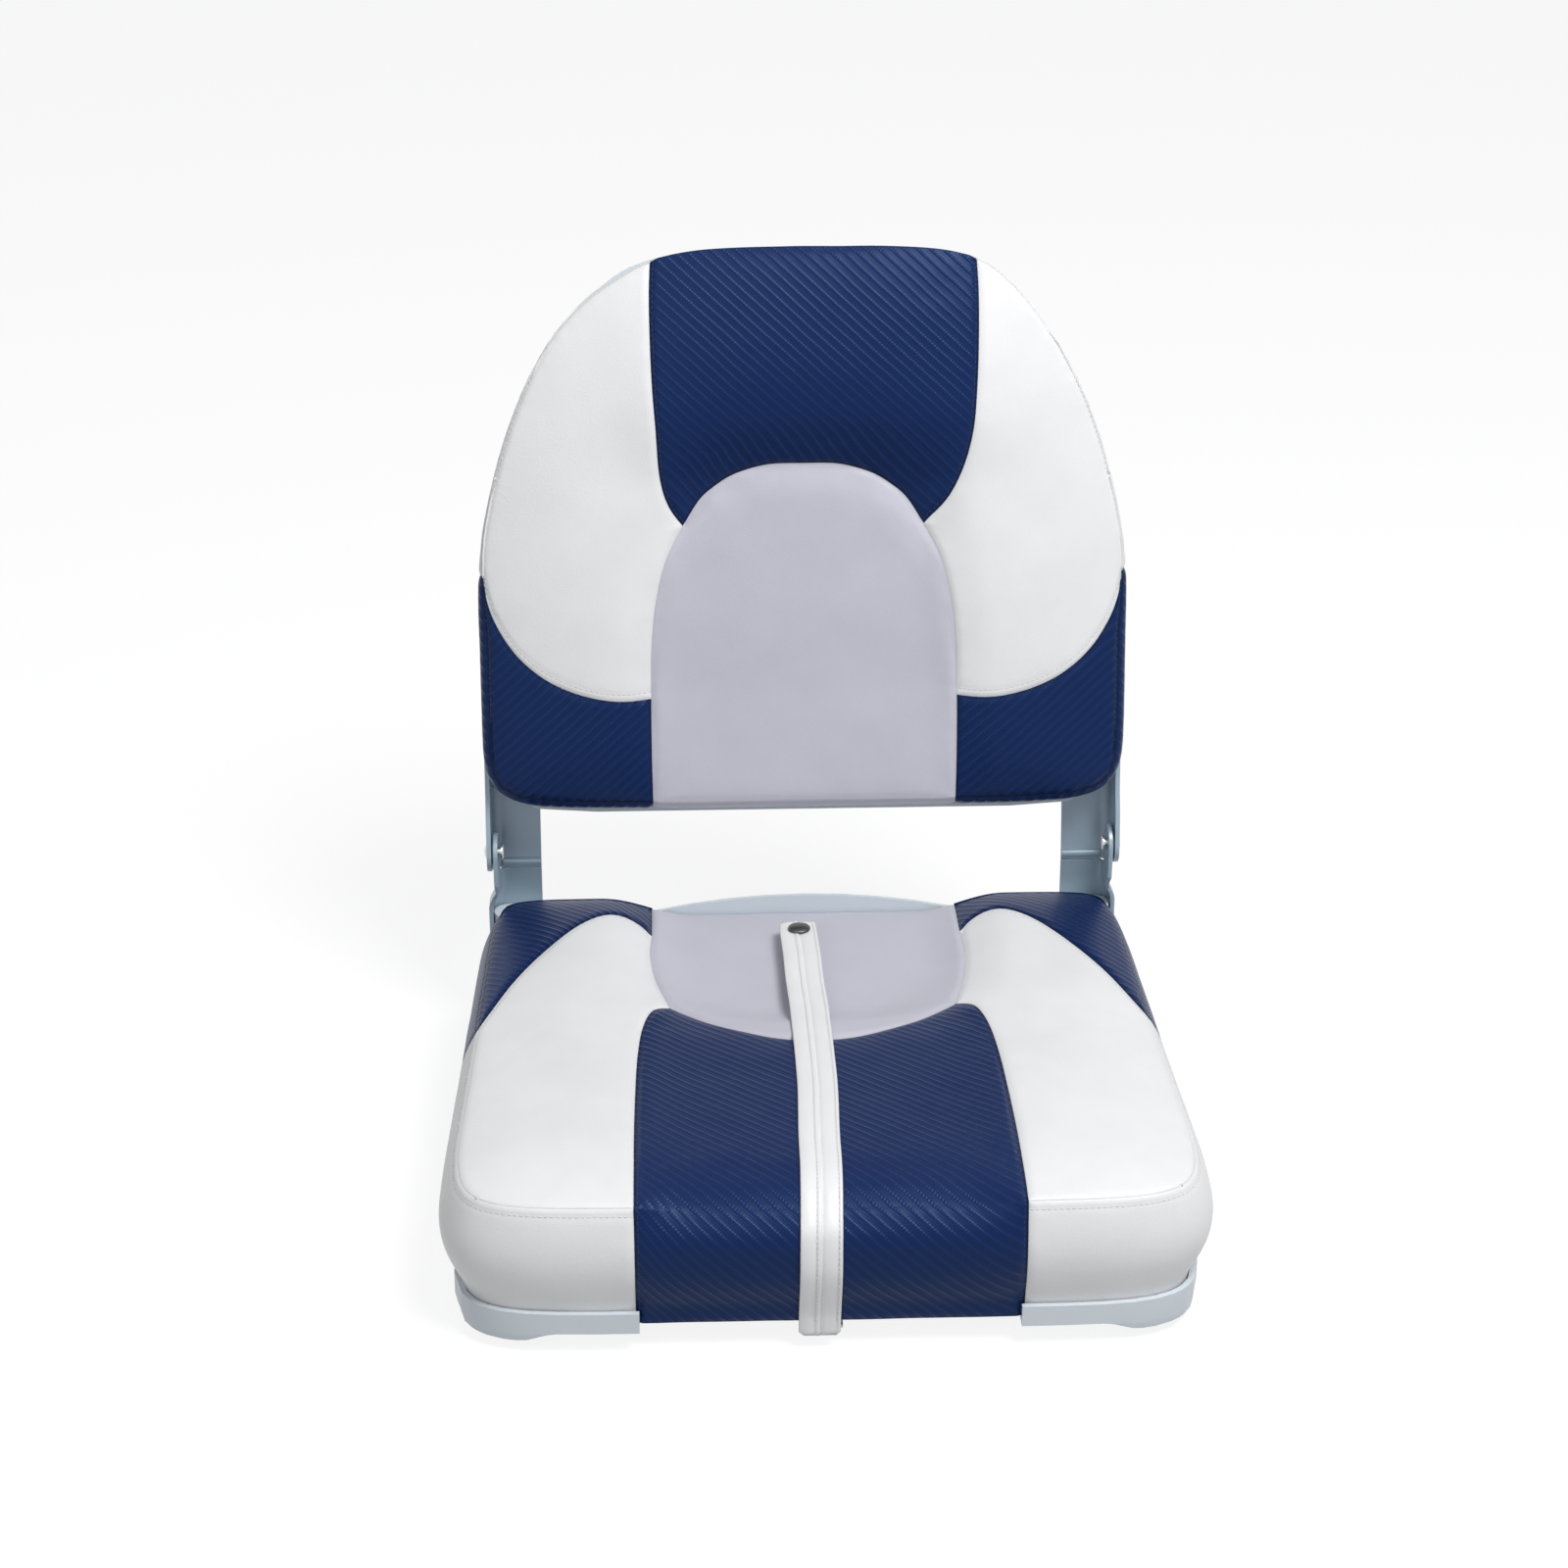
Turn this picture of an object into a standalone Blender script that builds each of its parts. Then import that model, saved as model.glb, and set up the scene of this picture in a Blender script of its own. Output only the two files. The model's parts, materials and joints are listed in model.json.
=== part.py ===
"""Folding boat seat: a moulded pan and a moulded back shell, each with a sewn vinyl cushion,
joined by a pair of pressed L brackets on rivet pivots, with a snap strap that holds the seat shut.

Frame: +X to the sitter's left hand seen from the front, +Y to the rear, +Z up.
The origin is the middle of the pedestal pad's underside. The back is modelled upright in the
frame of its pivot, with X across, -Y out of its front face and Z up from the pivot.
"""

import math

import bpy
import bmesh
from mathutils import Matrix, Vector

MM = 0.001

# Running and seating gaps between touching pieces
SEAT_GAP = 0.3 * MM
SEAM_GAP = 0.4 * MM
OVERRUN = 2 * MM
TURN_STEPS = 14
SCREW_STEPS = 9
RING_POINTS = 48

# Sewn cover
VINYL = 1.2 * MM
FOAM_EASE = 3.4 * MM
BOARD_EASE = 1.5 * MM

# Seat cushion, measured at the seam round its top
SEAT_REAR_HALF_WIDTH = 209 * MM
SEAT_FRONT_HALF_WIDTH = 224 * MM
SEAT_FRONT_Y = -211 * MM
SEAT_REAR_Y = 192 * MM
SEAT_FRONT_CORNER = 50 * MM
SEAT_REAR_CORNER = 26 * MM
SEAT_SEAM_HEIGHT = 80 * MM
SEAT_REAR_RISE = 4 * MM
BOLSTER_CROWN = 10 * MM
FRONT_CROWN = 4.5 * MM
SCOOP_DEPTH = 13 * MM
SIDE_BULGE = 12 * MM
FRONT_BULGE = 7 * MM
FRONT_EDGE_ROUND = 26 * MM
BAND_TUCK = 1 * MM
BAND_TUCK_SHARE = 0.86

# Panels of the seat cover
FRONT_PANEL_HALF = 115 * MM
SCOOP_HALF = 104 * MM
SCOOP_FRONT_Y = -17 * MM
SCOOP_DIP_Y = 28 * MM
SCOOP_TIP_Y = 35 * MM
SCOOP_BEND_Y = 147 * MM
SIDE_PANEL_Y = 14 * MM

# Moulded pan
DECK_UNDER_Z = 14 * MM
DECK = 4 * MM
LIP_WALL = 3.5 * MM
LIP_RISE = 10 * MM
LIP_GAP = 0.6 * MM
FOOT_Z = 8 * MM
LIP_UNDER_Z = 14.5 * MM
RIB_STEP = 20 * MM
FOOT_LENGTH = 52 * MM
FOOT_WIDTH = 46 * MM
RIB = 2.6 * MM
RIB_PITCH = 62 * MM
NOTCH_INSET = 2 * MM
NOTCH_DEPTH = 14 * MM
FRONT_RELIEF = 40 * MM
FRONT_RELIEF_Z = 11 * MM
PAD_HALF = 88 * MM
PAD_CORNER = 12 * MM
UPSTAND_Z = 102.5 * MM
UPSTAND_SAG = 11.5 * MM
UPSTAND_CHORD_HALF = 104 * MM
TOWER_WIDTH = 34.3 * MM
TOWER_Z = 88 * MM
TOWER_WALL = 3.2 * MM

# Pedestal fixings, quarter inch tee nuts on a five inch square
BOLT_SQUARE = 127 * MM
TEE_BARREL = 8 * MM
TEE_BORE = 6.4 * MM
TEE_FLANGE = 19 * MM
TEE_FLANGE_THICK = 1.5 * MM
TEE_LENGTH = 14 * MM

# Cushion boards
SEAT_BOARD = 8 * MM
BACK_BOARD = 6 * MM
BOARD_SCREW_CELLS = 2
BOARD_SCREW = 4 * MM
BOARD_SCREW_HEAD = 9 * MM

# Hinge, one pair of pressed L brackets on each side
PIVOT_Y = 195 * MM
PIVOT_Z = 138 * MM
RECLINE = math.radians(10)
PLATE = 3 * MM
FLANGE_TUCK = 0.7 * MM
WASHER = 0.7 * MM
WASHER_DIAMETER = 17 * MM
BEND_RADIUS = 6 * MM
WEB_WIDTH = 28.3 * MM
WEB_BEHIND_PIVOT = 25 * MM
EYE_RADIUS = 13.5 * MM
RIVET = 6 * MM
RIVET_HEAD = 12.4 * MM
RIVET_DOME = 3.6 * MM
RIVET_FOOT = 1.8 * MM
LOWER_FOOT_Z = 24 * MM
LOWER_JOG = 5 * MM
LOWER_JOG_TOP_Z = 107 * MM
LOWER_JOG_RUN = 14 * MM
LOWER_FLANGE_FRONT = 4 * MM
UPPER_TOP = 140 * MM
UPPER_FLANGE_FRONT = 9.5 * MM
UPPER_DROP = 18 * MM
STOP_BEAD = 3.2 * MM
HINGE_SCREW = 5 * MM
HINGE_SCREW_HEAD = 10.5 * MM
HINGE_SCREW_HEAD_HEIGHT = 3 * MM
LOWER_SCREW_LENGTH = 12 * MM
LOWER_SCREW_ZS = (42 * MM, 76 * MM)
UPPER_SCREW_ZS = (54 * MM, 88 * MM, 122 * MM)

# Back cushion, measured at the seam round its front, from the pivot line
BACK_SIDE_CLEAR = 2.1 * MM
BACK_WIDEST_Z = 150 * MM
BACK_TOP_Z = 410.5 * MM
BACK_BOTTOM_Z = 40 * MM
BACK_SEAM_FRONT = 28 * MM
BACK_BULGE = 6 * MM
BACK_CROWN = 13 * MM
BACK_CENTRE_CROWN = 2.5 * MM
HEAD_CROWN = 8 * MM
BACK_TOP_POWER_SHARE = 4.5
BULGE_FADE_Z = 225 * MM
BULGE_KEPT_SHARE = 0.15
SHOULDER_GAIN = 6.5 * MM
SHOULDER_DRAW = 52 * MM
SHOULDER_LOW_Z = 168 * MM
SHOULDER_HIGH_Z = 390 * MM
SHOULDER_POWER_SHARE = 1.6
BACK_BOTTOM_POWER_SHARE = 10

# Panels of the back cover
ARCH_HALF = 102 * MM
ARCH_TOP_Z = 269 * MM
ARCH_SPLIT_X = 79 * MM
ARCH_SPLIT_Z = 228 * MM
HEAD_PANEL_HALF = 106.5 * MM
LOWER_PANEL_Z = 112 * MM
LOWER_PANEL_SIDE_Z = 196 * MM
LOWER_CORNER_Z = 72 * MM

# Moulded back shell
SHELL_WALL = 3 * MM
SHELL_FRONT = 10 * MM
SHELL_SIDE_SPARE = 1.4 * MM
SHELL_BOTTOM_Z = 29.5 * MM
SHELL_EDGE_ROUND = 7 * MM
SHELL_BOSS = 13 * MM
SHELL_PANEL_STEP = 2 * MM
SHELL_PANEL_MARGIN = 46 * MM

# Snap strap
STRAP_WIDTH = 25 * MM
STRAP = 2.6 * MM
STRAP_OFFSET_X = -5 * MM
STRAP_CLEAR = 0.5 * MM
STRAP_END_Y = 152 * MM
STRAP_END_LIFT = 12 * MM
STRAP_FOOT_Z = 9.5 * MM
STRAP_TAB = 30 * MM
STRAP_SCREW = 4 * MM
STRAP_SCREW_HEAD = 9 * MM
STRAP_SCREW_HEAD_HEIGHT = 2 * MM
SNAP_SET_BACK = 14 * MM
SNAP_CAP = 15 * MM
SNAP_DOME = 2.6 * MM
SNAP_POST = 4 * MM
SNAP_SOCKET = 12 * MM
SNAP_SOCKET_HEIGHT = 3.2 * MM
STUD_Z = 165 * MM
STUD_BASE = 13 * MM
STUD_BASE_THICK = 1.6 * MM
STUD_KNOB = 8 * MM
STUD_HEIGHT = 5 * MM

# Heights and places that follow from the sizes above
DECK_Z = DECK_UNDER_Z + DECK
COVER_FOOT_Z = DECK_Z + SEAT_GAP
SEAM_Z = COVER_FOOT_Z + SEAT_SEAM_HEIGHT
BOARD_TOP_Z = COVER_FOOT_Z + SEAT_BOARD
SEAT_MIDDLE_Y = (SEAT_FRONT_Y + SEAT_REAR_Y) / 2
SEAT_HALF_DEPTH = (SEAT_REAR_Y - SEAT_FRONT_Y) / 2
NOTCH_HALF = FRONT_PANEL_HALF - NOTCH_INSET
WEB_FRONT_Y = PIVOT_Y + WEB_BEHIND_PIVOT - PLATE
FLANGE_INNER_X = SEAT_REAR_HALF_WIDTH - FLANGE_TUCK
WEB_INNER_X = FLANGE_INNER_X - WEB_WIDTH
TOWER_HALF_GAP = FLANGE_INNER_X - TOWER_WIDTH
WASHER_X = FLANGE_INNER_X + PLATE + SEAT_GAP
UPPER_FLANGE_X = WASHER_X + WASHER + SEAT_GAP
BACK_HALF_WIDTH = UPPER_FLANGE_X - BACK_SIDE_CLEAR
SHELL_REAR = WEB_BEHIND_PIVOT - SEAT_GAP
BOARD_REAR = SHELL_FRONT - BACK_BOARD
CUSHION_REAR = SHELL_FRONT + SEAT_GAP


def clear_scene():
    for item in list(bpy.data.objects):
        bpy.data.objects.remove(item, do_unlink=True)


def new_collection(name, hidden=False):
    made = bpy.data.collections.new(name)
    bpy.context.scene.collection.children.link(made)
    made.hide_render = hidden
    return made


def material(name, colour, roughness, metallic=0.0):
    made = bpy.data.materials.new(name)
    made.use_nodes = True
    shader = made.node_tree.nodes["Principled BSDF"]
    shader.inputs["Base Color"].default_value = (*colour, 1)
    shader.inputs["Roughness"].default_value = roughness
    shader.inputs["Metallic"].default_value = metallic
    made.diffuse_color = (*colour, 1)
    return made


clear_scene()
PARTS = new_collection("folding_boat_seat")
CUTTERS = new_collection("cutters", hidden=True)
WHITE_VINYL = material("white_vinyl", (0.80, 0.80, 0.81), 0.45)
NAVY_VINYL = material("navy_vinyl", (0.018, 0.035, 0.12), 0.42)
GREY_VINYL = material("grey_vinyl", (0.52, 0.52, 0.59), 0.48)
SHELL_PLASTIC = material("shell_plastic", (0.55, 0.62, 0.66), 0.4)
BOARD_PLY = material("board_ply", (0.45, 0.31, 0.17), 0.75)
FOAM = material("foam", (0.72, 0.66, 0.42), 0.9)
BRACKET_PAINT = material("bracket_paint", (0.24, 0.28, 0.31), 0.38, 0.6)
BRIGHT_STEEL = material("bright_steel", (0.62, 0.63, 0.64), 0.25, 1.0)
NYLON = material("nylon", (0.78, 0.77, 0.72), 0.5)
SNAP_METAL = material("snap_metal", (0.13, 0.13, 0.14), 0.35, 0.9)


def back_frame():
    """The pivot line of the back, leaned back by the recline."""
    frame = bpy.data.objects.new("back_pivot", None)
    frame.location = (0, PIVOT_Y, PIVOT_Z)
    frame.rotation_euler = (-RECLINE, 0, 0)
    PARTS.objects.link(frame)
    return frame


BACK = back_frame()


# Curves and shares


def smooth_step(value, low, high):
    share = min(max((value - low) / (high - low), 0.0), 1.0)
    return share * share * (3 - 2 * share)


def between(start, end, share):
    return start + (end - start) * share


def solve(measure, wanted, low, high):
    """The place between low and high where a rising measure reaches the wanted value."""
    rising = measure(high) > measure(low)
    for _ in range(40):
        middle = (low + high) / 2
        if (measure(middle) < wanted) == rising:
            low = middle
        else:
            high = middle
    return (low + high) / 2


def smooth_line(points):
    """A function of 0..1 that runs smoothly through the points at an even pace."""
    points = [Vector(point) for point in points]
    runs = [0.0]
    for first, second in zip(points, points[1:]):
        runs.append(runs[-1] + (second - first).length)
    total = runs[-1]

    def at(share):
        reach = min(max(share, 0.0), 1.0) * total
        index = 0
        while index < len(points) - 2 and reach > runs[index + 1]:
            index += 1
        span = runs[index + 1] - runs[index]
        part = (reach - runs[index]) / span
        start, end = points[index], points[index + 1]
        before = points[index - 1] if index else start
        after = points[index + 2] if index + 2 < len(points) else end
        lead = (end - before) * (span / max((end - before).length, span))
        trail = (after - start) * (span / max((after - start).length, span))
        square, cube = part * part, part * part * part
        return (
            start * (2 * cube - 3 * square + 1)
            + lead * (cube - 2 * square + part)
            + end * (3 * square - 2 * cube)
            + trail * (cube - square)
        )

    return at


def patch(front, rear, inner, outer):
    """A surface of (a, b) filled between four edge lines that meet at its corners."""
    corners = (front(0), front(1), rear(0), rear(1))

    def at(a, b):
        across = front(a) * (1 - b) + rear(a) * b
        along = inner(b) * (1 - a) + outer(b) * a
        low = corners[0] * (1 - a) + corners[1] * a
        high = corners[2] * (1 - a) + corners[3] * a
        return across + along - (low * (1 - b) + high * b)

    return at


def in_steps(*runs):
    """One edge line from several, each with its number of steps, so that neighbours share points."""
    total = sum(steps for _, steps in runs)

    def at(share):
        reach = share * total
        for line, steps in runs[:-1]:
            if reach < steps:
                return line(reach / steps)
            reach -= steps
        return runs[-1][0](reach / runs[-1][1])

    return at


def corner_power(radius, half):
    """The power of a superellipse whose corner is cut as a round corner of this radius is."""
    cut = radius * (1 - math.sqrt(0.5)) / half
    return math.log(2) / -math.log(1 - cut)


# Meshes


def link(obj, finish, parent=None, smooth_angle=35):
    PARTS.objects.link(obj)
    obj.data.materials.clear()
    obj.data.materials.append(finish)
    obj.data.shade_smooth()
    obj.data.set_sharp_from_angle(angle=math.radians(smooth_angle))
    obj.parent = parent
    return obj


def from_bmesh(name, mesh_builder):
    bmesh.ops.recalc_face_normals(mesh_builder, faces=mesh_builder.faces[:])
    if mesh_builder.calc_volume(signed=True) < 0:
        bmesh.ops.reverse_faces(mesh_builder, faces=mesh_builder.faces[:])
    mesh = bpy.data.meshes.new(name)
    mesh_builder.to_mesh(mesh)
    mesh_builder.free()
    return bpy.data.objects.new(name, mesh)


def mapped_block(name, columns, rows, levels, place, flat_base=False):
    """A block of columns by rows by levels, each point put where place(a, b, w) says."""
    made = bmesh.new()
    bmesh.ops.create_grid(made, x_segments=columns, y_segments=rows, size=0.5)
    top = made.faces[:]
    grown = bmesh.ops.extrude_face_region(made, geom=top)["geom"]
    raised = [item for item in grown if isinstance(item, bmesh.types.BMVert)]
    bmesh.ops.translate(made, verts=raised, vec=(0, 0, 1))
    if levels > 1:
        risers = [edge for edge in made.edges if abs(edge.verts[0].co.z - edge.verts[1].co.z) > 0.5]
        bmesh.ops.subdivide_edges(made, edges=risers, cuts=levels - 1)
    if flat_base:
        base = [face for face in made.faces if min(v.co.z for v in face.verts) > 0.99]
        bmesh.ops.dissolve_faces(made, faces=base)
    for vertex in made.verts:
        a, b, w = vertex.co.x + 0.5, vertex.co.y + 0.5, vertex.co.z
        vertex.co = place(a, b, w)
    return from_bmesh(name, made)


def loft(name, rings):
    """A closed body through rings of equally many points, capped at both ends."""
    made = bmesh.new()
    rows = [[made.verts.new(point) for point in ring] for ring in rings]
    count = len(rows[0])
    for lower, upper in zip(rows, rows[1:]):
        for index in range(count):
            after = (index + 1) % count
            made.faces.new((lower[index], lower[after], upper[after], upper[index]))
    made.faces.new(rows[0][::-1])
    made.faces.new(rows[-1])
    return from_bmesh(name, made)


def bends_only(outline):
    """The outline without the points that lie on a straight line between their neighbours."""
    kept = []
    for index, point in enumerate(outline):
        before = Vector(point) - Vector(outline[index - 1])
        after = Vector(outline[(index + 1) % len(outline)]) - Vector(point)
        if before.length > 0 and abs(before.normalized().cross(after.normalized())) > 1e-4:
            kept.append(point)
    return kept


def plate(name, outline, thickness, turn=None, middle=(0, 0, 0)):
    """A flat outline drawn as a filled curve, as thick as asked, turned and moved to its place."""
    outline = bends_only(outline)
    curve = bpy.data.curves.new(name, "CURVE")
    curve.dimensions = "2D"
    curve.fill_mode = "BOTH"
    curve.extrude = thickness / 2
    line = curve.splines.new("POLY")
    line.points.add(len(outline) - 1)
    for point, (across, up) in zip(line.points, outline):
        point.co = (across, up, 0, 1)
    line.use_cyclic_u = True
    drawn = bpy.data.objects.new(name, curve)
    CUTTERS.objects.link(drawn)
    bpy.context.view_layer.update()
    graph = bpy.context.evaluated_depsgraph_get()
    mesh = bpy.data.meshes.new_from_object(drawn.evaluated_get(graph))
    bpy.data.objects.remove(drawn, do_unlink=True)
    made = bmesh.new()
    made.from_mesh(mesh)
    bpy.data.meshes.remove(mesh)
    bmesh.ops.remove_doubles(made, verts=made.verts[:], dist=SEAT_GAP / 30)
    place = Matrix.Translation(middle) @ (turn or Matrix.Identity(4))
    made.transform(place)
    return from_bmesh(name, made)


# A drawn (across, up) plane turned to face along X, with across as Y, or along Y
FACING_X = Matrix(((0, 0, 1, 0), (1, 0, 0, 0), (0, 1, 0, 0), (0, 0, 0, 1)))
FACING_Y = Matrix(((1, 0, 0, 0), (0, 0, -1, 0), (0, 1, 0, 0), (0, 0, 0, 1)))


def box(name, low, high):
    made = bmesh.new()
    bmesh.ops.create_cube(made, size=1)
    for vertex in made.verts:
        vertex.co = [between(low[i], high[i], vertex.co[i] + 0.5) for i in range(3)]
    return from_bmesh(name, made)


def rounded_box_outline(low, high, radius, steps=4):
    """The corners of a rectangle, each turned by an arc."""
    centres = (
        (high[0] - radius, high[1] - radius),
        (low[0] + radius, high[1] - radius),
        (low[0] + radius, low[1] + radius),
        (high[0] - radius, low[1] + radius),
    )
    outline = []
    for quarter, (across, up) in enumerate(centres):
        start = 90 * quarter
        outline += arc((across, up), radius, start, start + 90, steps)
    return outline


def arc(centre, radius, start, end, steps):
    points = []
    for index in range(steps + 1):
        angle = math.radians(between(start, end, index / steps))
        points.append((centre[0] + radius * math.cos(angle), centre[1] + radius * math.sin(angle)))
    return points


def toward(axis):
    """The turn that lays local Z along this axis."""
    return Vector((0, 0, 1)).rotation_difference(Vector(axis)).to_matrix().to_4x4()


def rod(name, diameter, start, end, steps=TURN_STEPS):
    start, end = Vector(start), Vector(end)
    made = bmesh.new()
    bmesh.ops.create_cone(
        made,
        cap_ends=True,
        segments=steps,
        radius1=diameter / 2,
        radius2=diameter / 2,
        depth=(end - start).length,
        matrix=Matrix.Translation((start + end) / 2) @ toward(end - start),
    )
    return from_bmesh(name, made)


def turned(name, profile, centre, axis, finish, parent=None, steps=TURN_STEPS):
    """A profile of (radius, height), top to bottom down its outer side, turned about the axis."""
    mesh = bpy.data.meshes.new(name)
    edges = [(index, index + 1) for index in range(len(profile) - 1)]
    if profile[0][0] > 0:
        edges.append((len(profile) - 1, 0))
    mesh.from_pydata([(radius, 0, height) for radius, height in profile], edges, [])
    obj = bpy.data.objects.new(name, mesh)
    spin = obj.modifiers.new("turn", "SCREW")
    spin.angle = math.radians(360)
    spin.steps = steps
    spin.render_steps = steps
    spin.use_merge_vertices = True
    spin.merge_threshold = SEAT_GAP / 30
    spin.use_smooth_shade = True
    obj.matrix_basis = Matrix.Translation(centre) @ toward(axis)
    PARTS.objects.link(obj)
    mesh.materials.append(finish)
    obj.parent = parent
    return obj


def joined(name, pieces):
    """One helper mesh from several that stay apart."""
    made = bmesh.new()
    for piece in pieces:
        made.from_mesh(piece.data)
        bpy.data.objects.remove(piece, do_unlink=True)
    return from_bmesh(name, made)


def combine(target, tool, operation):
    """Cuts, joins or trims the target with the tool and keeps the result as its mesh."""
    for item in (target, tool):
        if not item.users_collection:
            CUTTERS.objects.link(item)
    tool.hide_render = True
    tool.display_type = "WIRE"
    step = target.modifiers.new(operation.lower(), "BOOLEAN")
    step.operation = operation
    step.solver = "EXACT"
    step.object = tool
    bpy.context.view_layer.update()
    graph = bpy.context.evaluated_depsgraph_get()
    mesh = bpy.data.meshes.new_from_object(target.evaluated_get(graph))
    target.modifiers.remove(step)
    target.data = mesh
    mesh.name = target.name
    bpy.data.objects.remove(tool, do_unlink=True)
    return target


def finish_part(obj, finish, parent=None, smooth_angle=35):
    for holder in list(obj.users_collection):
        holder.objects.unlink(obj)
    obj.hide_render = False
    return link(obj, finish, parent, smooth_angle)


def mirrored(obj, name):
    """The piece on the other side of the middle plane."""
    made = bmesh.new()
    made.from_mesh(obj.data)
    made.transform(Matrix.Scale(-1, 4, Vector((1, 0, 0))))
    return link(from_bmesh(name, made), obj.data.materials[0], obj.parent)


# Seat cushion surface


def seat_half_width(y):
    share = (SEAT_REAR_Y - y) / (SEAT_REAR_Y - SEAT_FRONT_Y)
    return between(SEAT_REAR_HALF_WIDTH, SEAT_FRONT_HALF_WIDTH, share)


def seat_power(v):
    corner = SEAT_FRONT_CORNER if v < 0 else SEAT_REAR_CORNER
    return corner_power(corner, SEAT_HALF_DEPTH)


def square_edge(turn):
    """A place on the unit square: 0 is the middle of the front, 2 of the right side, 4 of the rear."""
    if turn <= 1:
        return turn, -1.0
    if turn <= 3:
        return 1.0, turn - 2
    return 4 - turn, 1.0


def seat_edge_bare(turn):
    u, v = square_edge(abs(turn))
    power = seat_power(v)
    size = (abs(u) ** power + abs(v) ** power) ** (1 / power)
    y = SEAT_MIDDLE_Y + SEAT_HALF_DEPTH * v / size
    x = seat_half_width(y) * u / size
    return Vector((math.copysign(x, turn) if turn else x, y))


def edge_normal(edge, turn, nudge=0.002):
    along = edge(turn + nudge) - edge(turn - nudge)
    return Vector((along.y, -along.x)).normalized()


def seat_edge(turn, out=0.0):
    """The seam round the top of the seat, moved outwards square to itself."""
    turn = min(max(turn, -3.99), 3.99)
    return seat_edge_bare(turn) + edge_normal(seat_edge_bare, turn) * out


def seat_reach(x, y):
    """0 at the middle of the seat, 1 at the seam round its top."""
    v = (y - SEAT_MIDDLE_Y) / SEAT_HALF_DEPTH
    u = x / seat_half_width(y)
    power = seat_power(v)
    return (abs(u) ** power + abs(v) ** power) ** (1 / power)


SCOOP_FROM_SHARE = 0.74
SCOOP_TO_SHARE = 1.32
BOLSTER_FROM_SHARE = 0.36
BOLSTER_TO_SHARE = 0.66
EDGE_FALL_POWER_SHARE = 7
SCOOP_POWER_SHARE = 3


def scoop_reach(x, y):
    """0 at the middle of the scoop, 1 at the seam round it."""
    ahead = max(SCOOP_BEND_Y - y, 0.0) / (SCOOP_BEND_Y - SCOOP_DIP_Y)
    beside = abs(x) / SCOOP_HALF
    return (ahead**SCOOP_POWER_SHARE + beside**SCOOP_POWER_SHARE) ** (1 / SCOOP_POWER_SHARE)


def seat_top(x, y):
    """The height of the cover's outer face over the seat."""
    reach = min(seat_reach(x, y), 1.0)
    outside = smooth_step(scoop_reach(x, y), SCOOP_FROM_SHARE, SCOOP_TO_SHARE)
    side = smooth_step(abs(x) / seat_half_width(y), BOLSTER_FROM_SHARE, BOLSTER_TO_SHARE)
    crown = between(FRONT_CROWN, BOLSTER_CROWN, side) * (1 - reach**EDGE_FALL_POWER_SHARE)
    rise = SEAT_REAR_RISE * smooth_step(y, SEAT_MIDDLE_Y, SEAT_REAR_Y)
    return SEAM_Z + rise + crown * outside - SCOOP_DEPTH * (1 - outside)


def band_swell(turn, down):
    """How far the side of the seat cushion stands out of the seam, down 0 at the seam to 1."""
    normal = edge_normal(seat_edge_bare, turn)
    bulge = SIDE_BULGE * normal.x**2
    if normal.y < 0:
        bulge += FRONT_BULGE * normal.y**2
    share = min(down / BAND_TUCK_SHARE, 1.0)
    tuck = BAND_TUCK * smooth_step(down, 0.5, BAND_TUCK_SHARE)
    return bulge * math.sin(math.pi * share) - tuck


def seat_band(turn, down, inset):
    """A point on the side of the seat cushion."""
    turn = min(max(turn, -3.99), 3.99)
    seam = seat_edge(turn)
    top = seat_top(seam.x, seam.y) - inset * (1 - down) ** 2
    flat = seat_edge(turn, band_swell(turn, down) - inset)
    return Vector((flat.x, flat.y, between(top, COVER_FOOT_Z, down)))


BAND_DOWN_SHARES = (0.0, 0.14, 0.36, 0.62, 0.86, 1.0)

# Steps of the panels' grids, the same on both sides of a seam
FRONT_TOP_ROWS = 7
SCOOP_SIDE_ROWS = 6
SCOOP_REAR_ROWS = 2
GREY_TOP_ROWS = SCOOP_SIDE_ROWS + SCOOP_REAR_ROWS
SIDE_COLUMNS = 6
CORNER_ROWS = 5


def spaced(shares, share):
    """The value at this share of the way through an unevenly spaced list."""
    reach = share * (len(shares) - 1)
    index = min(int(reach + 1e-6), len(shares) - 2)
    return between(shares[index], shares[index + 1], reach - index)


def trimmed(share, gap, length):
    """Draws a patch in from its ends, so that neighbours keep a seam between them."""
    draw = gap / (2 * length)
    return between(draw, 1 - draw, share)


FRONT_TURN = solve(lambda t: seat_edge(t).x, FRONT_PANEL_HALF, 0.05, 0.95)
SIDE_TURN = solve(lambda t: seat_edge(t).y, SIDE_PANEL_Y, 1.2, 2.8)
REAR_TURN = solve(lambda t: seat_edge(t).x, SCOOP_HALF, 3.95, 3.05)


def gathered(start, end, share, corner):
    """A place between two turns, closer spaced toward the one that is the corner."""
    if corner == end:
        return between(start, end, 1 - (1 - share) ** CORNER_GATHER_SHARE)
    return between(start, end, share**CORNER_GATHER_SHARE)


CORNER_GATHER_SHARE = 1.35


def edge_run(start, end, out=0.0, corner=None):
    if corner is None:
        return lambda share: seat_edge(between(start, end, share), out)
    return lambda share: seat_edge(gathered(start, end, share, corner), out)


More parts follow.
